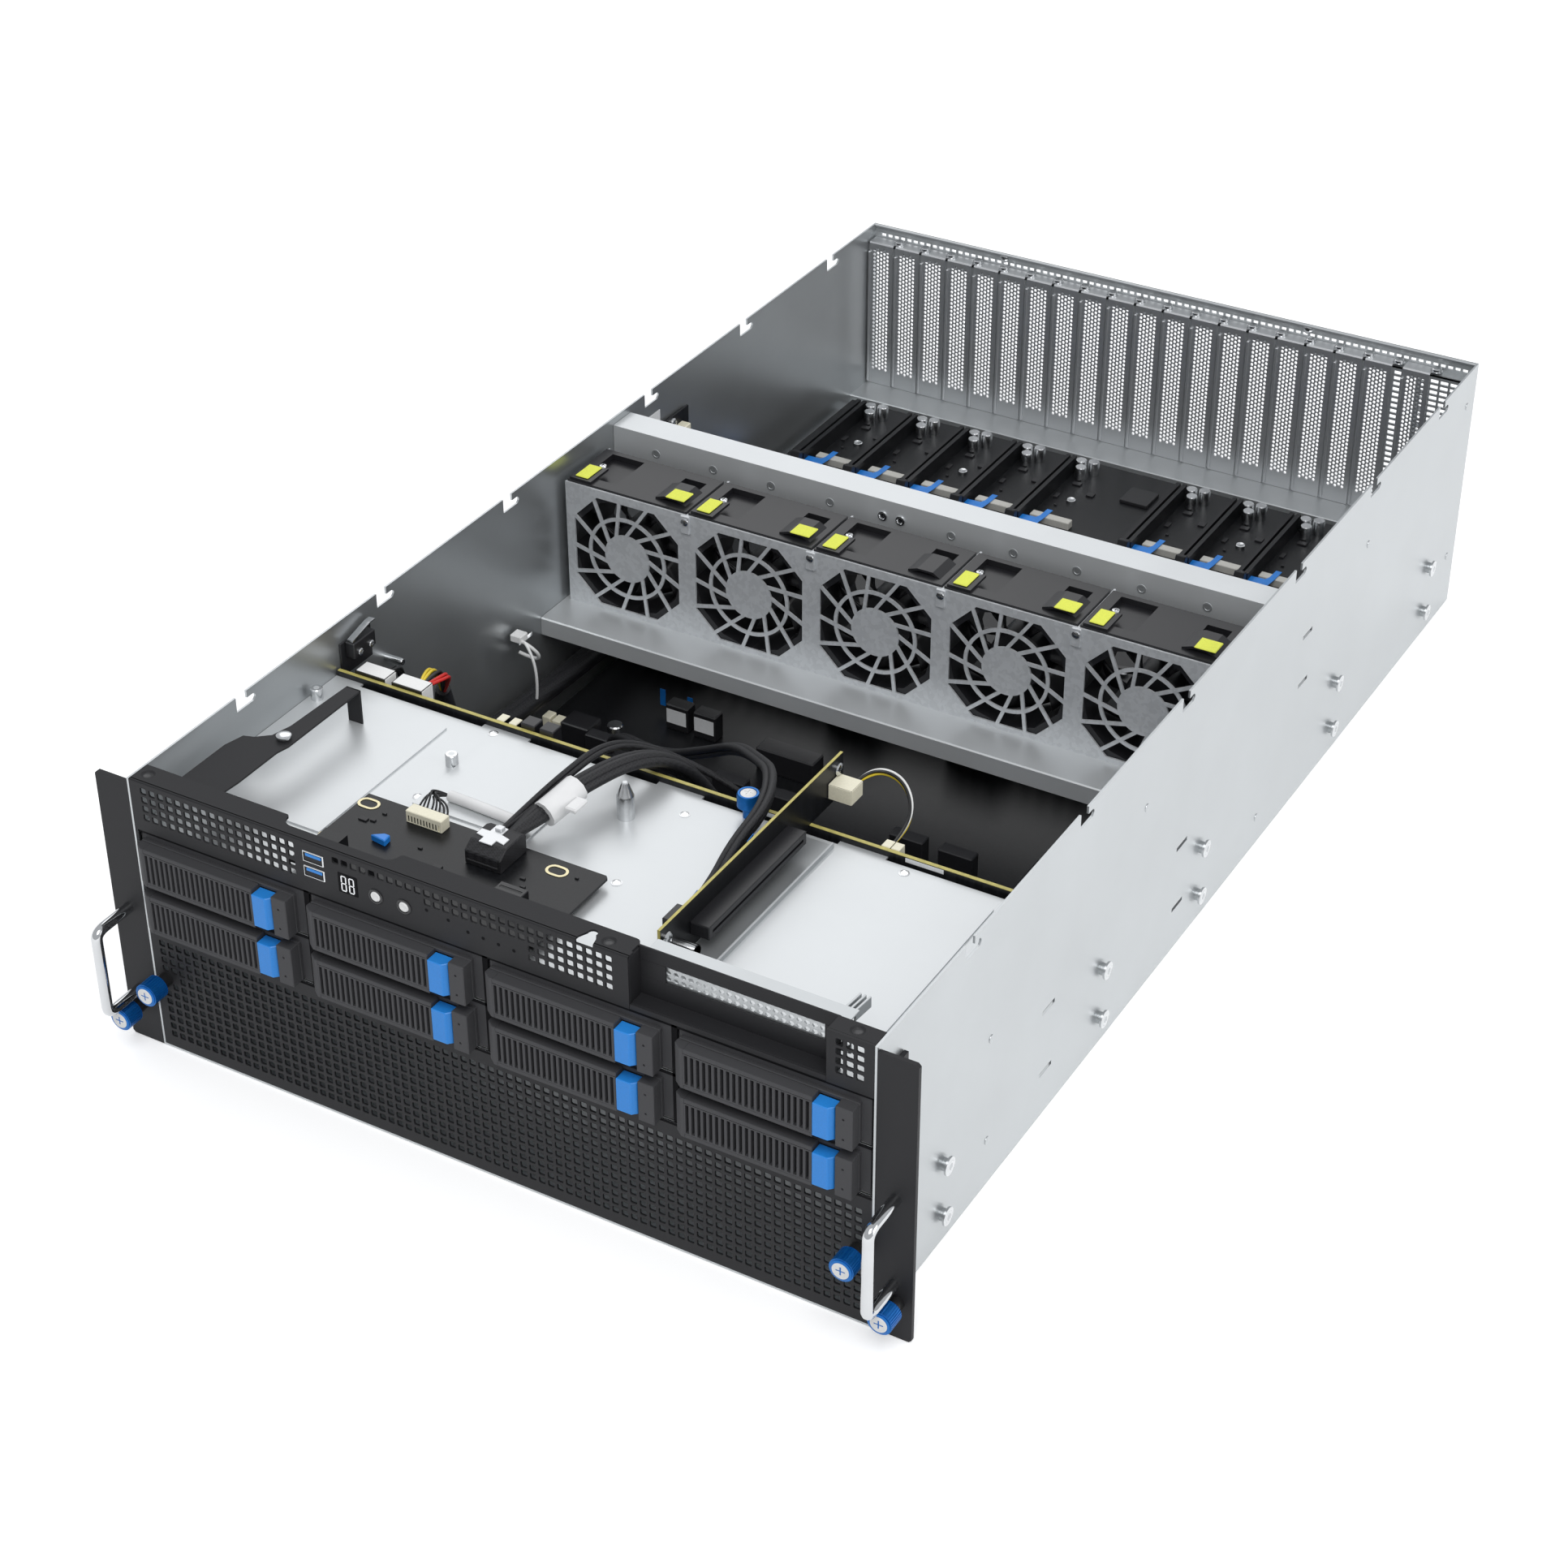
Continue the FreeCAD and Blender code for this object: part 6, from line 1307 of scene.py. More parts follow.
@dataclass
class DriveBay(Section):
    """Cage, carriers, slatted levers and latches."""

    columns: int = 4
    inner_half: float = 218.55
    setback: float = 3.2
    lever_length: float = 77.0
    face_height: float = 24.2
    face_width: float = 98.5
    floors: tuple[float, float] = (112.8, 82.4)
    slats: int = 21
    clearance: float = 0.3
    gap: float = 1.7
    lever_front: float = -7.0
    latch_width: float = 11.5
    latch_gap: float = 0.4
    drive_size: Point = (101.2, 147.0, 25.2)

    def left(self, column: int) -> float:
        """Left edge of the carrier's face in a column."""
        return -self.inner_half + column * self.inner_half / 2 + self.setback

    def lever(self, bay: Bay) -> None:
        """Slatted lever with its bevelled end.

        Args:
            bay: Place of the carrier.
        """
        left = self.left(bay.column)
        right = left + self.lever_length
        low = self.floors[bay.row] + self.clearance
        top = low + self.face_height
        field_left = left + 6.4
        front = self.lever_front
        slatted = perforated_sheet(
            "lever", (field_left, low + 2.6), (right - 0.8, top - 2.6), front, (self.slats, 1), 1.5, 6.0
        )
        rails = []
        for z0, z1 in ((low, low + 2.6), (top - 2.6, top)):
            rails.append(box_piece("rail", (field_left, front, z0), (right, -0.4, z1), 0.35))
        end = [(left, -0.4), (left, -3.6), (left + 4.6, front), (field_left + 0.2, front), (field_left + 0.2, -0.4)]
        rails.append(outline_piece("bevel_end", end, Axis.UP, low, top, 0.35))
        rails.append(box_piece("stile", (right - 0.9, front, low + 2.5), (right, -0.4, top - 2.5), 0.1))
        number = bay.number
        made = join(f"lever_slats_{number}", [slatted, *rails])
        dress(made, PALETTE.tray_black, f"lever_{number}", stands_for=[f"tray_lever_{number}"])

    def latch(self, bay: Bay) -> None:
        """Blue release button with a bevelled side.

        Args:
            bay: Place of the carrier.
        """
        low = self.floors[bay.row] + self.clearance + 2.2
        top = low + self.face_height - 4.4
        left = self.left(bay.column) + self.lever_length + self.latch_gap
        right = left + self.latch_width - self.latch_gap
        shape = [(left, -0.1), (left, -8.0), (right - 2.6, -8.0), (right, -5.4), (right, -0.1)]
        number = bay.number
        made = outline_piece(f"latch_button_{number}", shape, Axis.UP, low, top, 0.4)
        dress(made, PALETTE.latch_blue, f"latch_{number}", stands_for=[f"tray_latch_{number}"])

    def carrier(self, bay: Bay) -> None:
        """Steel carrier with its plastic face and the drive that it holds.

        Args:
            bay: Place of the carrier.
        """
        number = bay.number
        body = f"tray_{number}"
        low_corner, high_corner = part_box(f"tray_{number}")
        x0 = low_corner.x / MM
        x1 = high_corner.x / MM
        rear = high_corner.y / MM + FRONT
        rail_top = high_corner.z / MM
        low = self.floors[bay.row] + self.clearance
        top = low + self.face_height
        left = self.left(bay.column)
        right = left + self.face_width
        lamp_left = left + self.lever_length + self.latch_gap + self.latch_width + self.latch_gap
        face = box_piece("face", (left, 0.0, low), (right, 5.9, top), 0.4)
        lamp = box_piece("lamp_block", (lamp_left, self.lever_front, low), (right, 0.2, top), 0.4)
        pits = []
        for z in (low + 5.0, low + 17.0):
            pits.append(box_piece("pit", (right - 5.4, -8.0, z), (right - 4.2, -6.4, z + 1.2), 0.0))
        lamp = carve(lamp, pits)
        hollow = box_piece("hollow", (left + self.lever_length, -1.0, low + 1.8), (lamp_left, 2.3, top - 1.8), 0.0)
        face = carve(face, [hollow])
        # Dark plate behind the face up to the rail top: painted shade that keeps the band between the rows black.
        backing = box_piece("backing", (x0, 2.4, low), (x1, 5.9, rail_top), 0.2)
        front_piece = join(f"carrier_face_{number}", [face, lamp, backing])
        dress(front_piece, PALETTE.tray_black, body, stands_for=[f"tray_{number}"])
        channel = [(x0, low), (x1, low), (x1, rail_top), (x1 - 1.5, rail_top), (x1 - 1.5, low + 1.0)]
        channel += [(x0 + 1.5, low + 1.0), (x0 + 1.5, rail_top), (x0, rail_top)]
        rails = outline_piece(f"carrier_rails_{number}", channel, Axis.REAR, 6.0, rear, 0.15)
        dress(rails, PALETTE.zinc, body)
        width, length, height = self.drive_size
        x, seat = (x0 + x1 - width) / 2, low + 1.0
        drive = box_piece(f"drive_{number}", (x, rear - length, seat), (x + width, rear, seat + height), 1.2)
        select_faces(drive, lambda face: face.normal.z > 0.9 and face.area > 0.005)
        with editing():
            bpy.ops.mesh.inset(thickness=3.0 * MM, depth=-0.5 * MM)
        dress(drive, PALETTE.fin_aluminium, body)

    def gap_shade(self) -> None:
        """Dark strips in the gaps of the cage between the carriers: painted shade."""
        pieces = []
        half = self.inner_half - 0.2
        for low, top in ((81.4, 82.4), (110.5, 112.8), (140.9, 143.4)):
            pieces.append(box_piece("edge_across", (-half, 1.3, low), (half, 2.6, top), 0.2))
        for i in range(self.columns + 1):
            x = -self.inner_half + i * self.inner_half / 2
            x0 = max(-half, x - self.gap)
            x1 = min(half, x + self.gap)
            pieces.append(box_piece("edge_up", (x0, 1.3, 81.4), (x1, 2.6, 143.4), 0.2))
        # Painted shade in the gaps between the carriers.
        dress(join("bay_edging", pieces), PALETTE.recess_black)

    def build(self) -> None:
        """Make the drive bay and what is fixed in its deck."""
        # The cage deck takes the lighter zinc: painted light.
        self.repaint("drive_cage", PALETTE.deck_zinc)
        for index in range(2 * self.columns):
            bay = Bay(index + 1, index % self.columns, index // self.columns)
            self.carrier(bay)
            self.lever(bay)
            self.latch(bay)
        self.gap_shade()
        steel = PALETTE.screw_steel, "deck_steel"
        places = ((-108.5, 97.0), (-108.5, 167.0), (22.0, 153.0), (24.0, 84.0), (146.0, 164.0), (146.0, 84.0))
        countersunk("deck_screws", [(x, depth, DECK_TOP) for x, depth in places], 2.9, *steel)
        rings = [(4.75, 0.0), (4.75, 13.6), (4.4, 14.3), (1.9, 21.4), (1.0, 21.9)]
        turned_row("guide_pin_skin", [(-3.5, 136.0, DECK_TOP)], Axis.UP, rings, 32, *steel)
        rings = [(3.5, 0.0), (3.5, 6.6), (3.1, 7.05), (1.7, 7.05), (1.7, 5.4)]
        places = [(-110.4, 131.0, DECK_TOP), (-213.0, 148.0, DECK_TOP)]
        turned_row("deck_post_skins", places, Axis.UP, rings, 24, *steel)


@dataclass
class Deck(Section):
    """Boards, bracket arm, knob and cables on the deck over the drives."""

    board_top: float = 148.8

    def port_board(self) -> None:
        """Front port board with its header, socket, ringed holes and chips."""
        self.repaint("front_io_board", PALETTE.board_black)
        top = self.board_top
        header = box_piece("header_body", (-95.2, 68.7, top), (-72.6, 76.2, top + 7.4), 0.4)
        pockets = blocks([(-93.8 + i * 1.9, 67.0, 0.9, 2.5, 3.8) for i in range(11)], top + 0.8, 0.0)
        dress(carve(header, [join("header_pockets", pockets)]), PALETTE.cream)
        socket = box_piece("small_socket", (-16.2, 33.8, top), (0.2, 41.2, top + 8.2), 0.4)
        slot = box_piece("socket_slot", (-14.6, 36.4, top + 3.0), (-1.4, 38.2, top + 12.0), 0.0)
        dress(carve(socket, [slot]), PALETTE.part_black)
        rings = []
        for x, depth in ((-123.6, 72.4), (-5.2, 71.0), (-123.6, 38.0)):
            outer, inner = (
                arc((x, depth), radius, 90.0, 270.0, 8) + arc((x + 4.0, depth), radius, -90.0, 90.0, 8)
                for radius in (4.4, 2.9)
            )
            plate = outline_piece("ring", outer, Axis.UP, top, top + 0.35)
            rings.append(carve(plate, [outline_piece("ring_hole", inner, Axis.UP, top - 0.1, top + 1.0)]))
        dress(join("board_rings", rings), PALETTE.brass)
        rows = (
            (-118.0, 58.0, 5.0, 3.0), (-112.0, 60.0, 3.0, 2.0), (-16.0, 56.0, 3.0, 1.6), (-12.0, 50.0, 3.0, 1.6),
            (-8.0, 46.0, 2.0, 1.2), (4.0, 38.0, 2.0, 1.2), (-18.0, 45.0, 4.0, 3.0), (-60.0, 40.0, 5.0, 5.0),
            (-110.0, 68.0, 2.4, 1.4), (-76.0, 52.0, 2.4, 1.4), (-100.0, 30.0, 2.4, 1.4), (8.0, 70.0, 2.0, 1.2),
        )
        chips = blocks([(*place_and_size, 0.9) for place_and_size in rows], top, 0.12)
        dress(join("port_board_chips", chips), PALETTE.chip_black)
        pipe = [(-101.0, 46.0), (-95.0, 50.5), (-91.6, 50.5), (-91.0, 44.6), (-97.0, 45.4)]
        dress(outline_piece("light_pipe", pipe, Axis.UP, top, top + 4.0, 0.5), PALETTE.film_blue)

    def plug(self) -> list[Piece]:
        """Flat cable plug with its metal latch.

        Returns:
            The plug body pieces.
        """
        top = self.board_top
        shape = [(54.0, top), (78.0, top), (78.0, top + 10.4), (74.0, top + 12.2), (60.0, top + 12.2)]
        shape.append((54.0, top + 8.0))
        body = outline_piece("plug_body", shape, Axis.RIGHT, -48.0, -26.0, 0.6)
        rib = box_piece("plug_rib", (-46.6, 53.4, top + 2.4), (-27.4, 54.6, top + 3.6), 0.3)
        latch = [(-47.0, 64.0), (-42.0, 63.0), (-42.0, 58.6), (-34.0, 58.6), (-34.0, 63.0), (-29.0, 62.0)]
        latch += [(-29.0, 67.6), (-34.6, 69.0), (-34.6, 75.0), (-42.0, 75.0), (-42.0, 69.0), (-47.0, 69.0)]
        metal = outline_piece("plug_latch", latch, Axis.UP, top + 12.0, top + 12.8, 0.25)
        hook = box_piece("plug_hook", (-40.0, 70.4, top + 12.6), (-36.0, 74.4, top + 14.2), 0.3)
        dress(join("plug_latch", [metal, hook]), PALETTE.cover_steel)
        return [body, rib]

    def bundles(self) -> None:
        """Sleeved cables along their routes, with the plugs at their ends."""
        main = [(-36, 78, 154.8), (-34, 100, 154.8), (-28, 122, 160), (-15, 160, 162), (-5, 187, 148)]
        main += [(2, 210, 116), (1, 234, 74), (-3, 262, 48), (-3, 262, 29.6)]
        split = [(-42.8, 78, 154.8), (-42, 102, 154.8), (-36, 126, 162.5), (-32, 160, 165), (-27, 190, 150)]
        split += [(-10, 210, 132), (12, 222, 116), (26, 240, 88), (31, 272, 48), (31, 272, 29.6)]
        riser = [(78, 64, 157), (78, 88, 157), (73, 118, 163), (72, 152, 167), (58, 182, 165), (34, 210, 148)]
        riser += [(2, 240, 130), (-36, 268, 98), (-84, 294, 64), (-140, 326, 46), (-140, 326, 29.6)]
        power = [(-172, 186, 141), (-172, 200, 141), (-177, 216, 134), (-186, 226, 112)]
        jacket = [(-185, 225, 116), (-190, 232, 98), (-199, 250, 60), (-205, 290, 40), (-206, 360, 36)]
        jacket += [(-204, 460, 35), (-204, 590, 35)]
        second = [(-197, 186, 141), (-197, 198, 141), (-204, 212, 130), (-210, 222, 98), (-213, 244, 58)]
        second += [(-213.5, 286, 36), (-214, 360, 30.5), (-212.5, 460, 30), (-212.5, 590, 30)]
        sleeves = []
        for route, radius, shifts in (
            (main, 2.9, ((-4.4, 0.2), (-1.8, 2.6), (1.8, 2.8), (4.4, 0.4), (0.2, -0.6), (-2.2, -2.8))),
            (split, 1.6, ((-1.2, 0.8), (1.3, -0.6))),
            (riser, 2.1, ((-2.2, 0.0), (1.6, 1.8), (1.2, -2.0))),
            (jacket, 4.4, ((-2.6, 1.6), (2.8, 2.2), (0.4, -2.6))),
        ):
            sleeves += [strand("sleeve", route, radius, (x, 0.0, z)) for x, z in shifts]
        for x, depth, z in (main[-1], split[-1], riser[-1]):
            sleeves.append(box_piece("down_plug", (x - 9, depth - 6, z - 8), (x + 9, depth + 6, z), 0.6))
        sleeves += self.plug()
        dress(join("cable_bundles", sleeves), PALETTE.sleeve, stands_for=["cables"])
        for name, route, finish, shifts in (
            ("wires_yellow", power, PALETTE.wire_yellow, ((-6.4, 2.0), (-3.6, 2.4))),
            ("wires_black", power, PALETTE.wire_black, ((-1.4, 1.6), (1.6, -0.4), (0.4, 2.8))),
            ("wires_red", power, PALETTE.wire_red, ((4.4, 2.2), (6.4, 1.0))),
            ("wires_left", second, PALETTE.wire_black, ((-1.6, 1.0), (0.6, -0.4), (1.8, 1.4))),
        ):
            leads = [strand("lead", route, 1.0, (x, 0.0, z)) for x, z in shifts]
            dress(join(name, leads), finish)
        wire = [(94, 204, 156), (94, 214, 156), (101, 223, 157), (114, 222, 155), (125, 212, 149)]
        wire += [(129, 198, 143.6), (129, 181.4, 143.6)]
        for name, finish, shift in (
            ("riser_wire_white", PALETTE.wire_white, (0.0, 1.3, 0.8)),
            ("riser_wire_black", PALETTE.wire_black, (0.0, -0.6, 1.0)),
            ("riser_wire_yellow", PALETTE.wire_yellow, (0.0, 0.4, -1.2)),
        ):
            dress(strand(name, wire, 0.85, shift), finish)

    def wraps(self) -> None:
        """White wraps, thin front wires, the cable tie and the blue knob by the backplane."""
        wrap = strand("bundle_wrap", [(-30.6, 101, 156.4), (-27.8, 112, 158.8), (-25.4, 124, 161.6)], 7.6)
        tail = box_piece("wrap_tail", (-20.0, 104.0, 160.0), (-13.0, 116.0, 163.0), 0.8)
        flat = strand("front_wrap", [(-91.0, 101.8, 147.0), (-70.0, 100.8, 147.4), (-49.0, 99.2, 147.4)], 3.1)
        dress(join("bundle_wrap", [wrap, tail, flat]), PALETTE.wrap)
        thin = []
        for i in range(8):
            x = -93.0 + 2.6 * i
            lift = 1.6 * (i % 3)
            route = [(x, 75.8, 152.0), (x - 2.0, 84.0, 154.6 + lift), (-97.0, 96.0 - 0.6 * i, 151.0 + lift)]
            thin.append(strand("thin_wire", [*route, (-90.0, 101.6, 146.4 + 0.4 * (i % 4))], 0.55))
        thin.append(strand("front_tail", [(-49.6, 99.2, 147.4), (-42.0, 98.6, 148.0), (-36.0, 98.0, 151.0)], 2.7))
        dress(join("front_wires", thin), PALETTE.wire_black)
        ring = [(-214, 341, 78), (-206, 334, 84), (-198, 340, 74), (-204, 346, 64), (-214, 341, 70)]
        loop = strand("tie_loop", ring, 1.1)
        tail = strand("tie_tail", [(-206, 336, 82), (-200, 334, 78), (-196, 334, 60), (-199, 336, 44)], 0.9)
        head = box_piece("tie_head", (-216.0, 335.0, 80.0), (-208.0, 343.0, 85.0), 0.6)
        dress(join("cable_tie", [loop, tail, head]), PALETTE.white)
        rings = [(3.1, 0.0), (3.1, 6.6), (5.6, 6.65), (6.2, 7.2), (6.2, 13.8), (5.6, 14.9), (4.6, 14.9), (4.4, 14.2)]
        turned_row("deck_knob", [(51.5, 168.5, DECK_TOP)], Axis.UP, rings, 40, PALETTE.knob_blue, "blue_plastic")
        disc = cross_head("deck_knob_disc", (51.5, 168.5, DECK_TOP + 14.1), Axis.UP, 4.3, 1.0)
        dress(disc, PALETTE.white)

    def bracket(self) -> None:
        """Black bracket arm by the left wall with its shoulder screw."""
        outline = [(-205.0, 15.5), (-178.0, 15.5), (-176.4, 36.0), (-176.4, 68.0), (-174.6, 76.0), (-174.6, 139.0)]
        outline += [(-184.0, 139.0), (-186.0, 92.0), (-189.0, 80.0), (-196.0, 74.0), (-202.0, 72.0), (-205.0, 60.0)]
        plate = outline_piece("arm_plate", outline, Axis.UP, 164.3, 165.5, 0.2)
        foot = [(139.0, 144.2), (139.0, 165.5), (137.8, 165.5), (137.8, 144.2)]
        leg = outline_piece("arm_leg", foot, Axis.RIGHT, -184.0, -174.6, 0.2)
        dress(join("bracket_arm", [plate, leg]), PALETTE.black_paint)
        rings = [(2.6, 0.0), (2.6, 1.2), (4.2, 1.4), (4.2, 2.6), (3.4, 3.1), (1.2, 3.1)]
        turned_row("arm_screw", [(-181.0, 80.0, 165.4)], Axis.UP, rings, 24, PALETTE.screw_steel, "galvanised")

    def riser(self) -> None:
        """Upright riser board with its connector, plugs and screws."""
        self.repaint("riser_card", PALETTE.board_black)
        face, rear_face = 85.6, 84.0
        edge = box_piece("riser_edge", (rear_face, 28.0, 171.7), (face, 208.0, 172.15), 0.1)
        front = box_piece("riser_edge_front", (rear_face, 27.9, 144.4), (face, 28.2, 171.8), 0.05)
        dress(join("riser_edging", [edge, front]), PALETTE.edge_yellow)
        slot = box_piece("riser_slot", (face, 54.8, 152.9), (96.8, 150.2, 160.6), 0.5)
        groove = box_piece("riser_groove", (89.0, 58.0, 155.9), (99.0, 147.0, 157.6), 0.0)
        dress(carve(slot, [groove]), PALETTE.part_black)
        screws = []
        for depth, z in ((33.0, 165.0), (202.0, 165.0), (202.0, 152.0)):
            screws.append(cross_head("riser_screw", (face, depth, z), Axis.RIGHT, 3.6, 2.2))
        dress(join("riser_screws", screws), PALETTE.chrome)
        rings = [(3.9, 0.0), (3.9, 9.4), (3.5, 10.0), (2.0, 10.0)]
        places = [(face, 36.0, 152.0), (face, 45.0, 152.0)]
        turned_row("riser_cans", places, Axis.RIGHT, rings, 24, PALETTE.screw_steel, "circuit_board")
        white = box_piece("riser_plug", (face, 191.8, 151.8), (99.8, 204.2, 161.2), 0.5)
        dress(white, PALETTE.cream)
        side = box_piece("riser_side_plug", (72.6, 49.8, 149.8), (rear_face, 64.2, 161.2), 0.5)
        dress(side, PALETTE.part_black)
        tabs = []
        for depth, low, high in ((58.0, 160.5, 171.0), (112.0, 164.0, 172.0), (96.0, 158.0, 166.0)):
            shape = [(depth, low), (depth + 7.0, low + 2.0), (depth + 9.0, high), (depth + 3.0, high - 1.0)]
            tabs.append(outline_piece("tab", shape, Axis.RIGHT, 82.6, 82.9, 0.05))
        dress(join("riser_film_tabs", tabs), PALETTE.film_blue)

    def backplane(self) -> None:
        """Backplane with its bright edge, plugs and bare strips."""
        self.repaint("drive_backplane", PALETTE.board_black)
        edge = box_piece("backplane_edge", (-217.5, 172.65, 146.3), (205.0, 174.95, 146.85), 0.1)
        dress(edge, PALETTE.edge_yellow)
        for name, finish, lefts, (width, front, low, rear, top), soft in (
            ("power_plugs", PALETTE.white, (-207.2, -182.2), (20.4, 175.2, 134.4, 186.4, 148.8), 0.8),
            ("backplane_plugs", PALETTE.cream, (-112, -104, 126.5, 132), (5.0, 175.1, 140.4, 181.6, 147.2), 0.3),
            ("signal_plugs", PALETTE.part_black, (-96.0, -84.0), (9.0, 175.1, 139.0, 184.0, 150.0), 0.5),
            ("backplane_strips", PALETTE.plate_white, (60.0, 142.0), (22.0, 172.5, 143.6, 172.9, 146.2), 0.05),
        ):
            made = [box_piece(name, (x, front, low), (x + width, rear, top), soft) for x in lefts]
            dress(join(name, made), finish)

    def switch(self) -> None:
        """Cover switch with its screws and lever."""
        self.repaint("switch_lever", PALETTE.screw_steel)
        housing = box_piece("switch_body", (-217.4, 181.0, 151.0), (-211.0, 201.0, 161.0), 0.6)
        shape = [(177.0, 140.0), (205.0, 140.0), (205.0, 161.0), (177.0, 161.0)]
        plate = outline_piece("switch_plate", shape, Axis.RIGHT, -218.5, -217.3, 0.2)
        made = join("switch_housing", [housing, plate])
        dress(made, PALETTE.part_black, stands_for=["cover_switch"])
        screws = []
        for depth in (186.0, 196.0):
            screws.append(cross_head("switch_screw", (-211.0, depth, 154.0), Axis.RIGHT, 2.2, 1.4))
        dress(join("switch_screws", screws), PALETTE.screw_steel)

    def build(self) -> None:
        """Make what stands on the deck."""
        self.port_board()
        self.bundles()
        self.wraps()
        self.bracket()
        self.riser()
        self.backplane()
        self.switch()


@dataclass
class MainBoard(Section):
    """Board under the beam with its sockets, plates, tabs and capacitors.

    The tables of blocks hold left x, front depth, width, length and height.
    """

    top: float = 9.6
    slots: tuple[float, ...] = (-150.0, -118.0, -60.0, -28.0, 60.0, 92.0, 150.0, 182.0)
    small_plugs: tuple[tuple[float, ...], ...] = (
        (-204, 347, 6, 8, 14), (-196, 346, 6, 8, 14), (-163, 341, 6, 7, 12), (-154, 338, 6, 7, 12),
    )
    deep_sockets: tuple[tuple[float, ...], ...] = (
        (-187, 342, 20, 16, 18), (-142, 392, 16, 10, 18), (-122, 392, 16, 10, 18), (-70, 380, 40, 14, 16),
    )
    modules: tuple[tuple[float, ...], ...] = (
        (-196, 210, 26, 20, 6), (-92, 214, 40, 26, 4), (46, 212, 34, 34, 5), (110, 220, 28, 22, 7),
        (166, 216, 22, 40, 9), (-40, 300, 16, 60, 8), (20, 320, 24, 24, 6), (128, 330, 10, 36, 12),
    )

    def build(self) -> None:
        """Dress the board and add its visible parts."""
        self.repaint("motherboard", PALETTE.board_black)
        top = self.top
        creams = blocks(self.small_plugs, top, 0.5)
        blacks = blocks(self.deep_sockets, top, 0.8)
        plates, tabs = [], []
        for x in (-141.0, -121.0):
            plates.append(box_piece("deep_plate", (x, 391.7, top + 5), (x + 14, 391.9, top + 15), 0.05))
            tabs.append(box_piece("film", (x - 13, 405.0, top + 6), (x - 9, 405.4, top + 18), 0.1))
        rings = [(5.0, 0.0), (5.0, 12.0), (4.4, 12.8), (2.0, 12.8)]
        cans = [turned_piece("can", (-160.6, 363.3, top), Axis.UP, rings, 18)]
        rings = [(3.6, 0.0), (3.6, 7.4), (3.2, 8.0), (1.8, 8.0)]
        for number, x in enumerate(self.slots):
            blacks += blocks([(x - 11, depth, 22, 9, 24) for depth in (286.0, 330.0)], top, 0.6)
            plates.append(box_piece("bare_plate", (x - 10, 284.9, top + 16), (x + 9, 285.1, top + 23), 0.05))
            shape = [(x - 6, 284.0), (x + 6, 284.0), (x + 8, 270.0), (x - 3, 268.0)]
            tabs.append(outline_piece("film_tab", shape, Axis.UP, top + 24.2, top + 24.5, 0.05))
            cans.append(turned_piece("can", (x + 16, 252.0 + 6 * (number % 3), top), Axis.UP, rings, 16))
        blacks += blocks(self.modules, top, 0.6)
        dress(join("main_board_sockets", blacks), PALETTE.part_black)
        dress(join("main_board_plugs", creams), PALETTE.cream)
        dress(join("main_board_plates", plates), PALETTE.plate_white)
        dress(join("main_board_tabs", tabs), PALETTE.film_blue)
        dress(join("main_board_cans", cans), PALETTE.screw_steel)


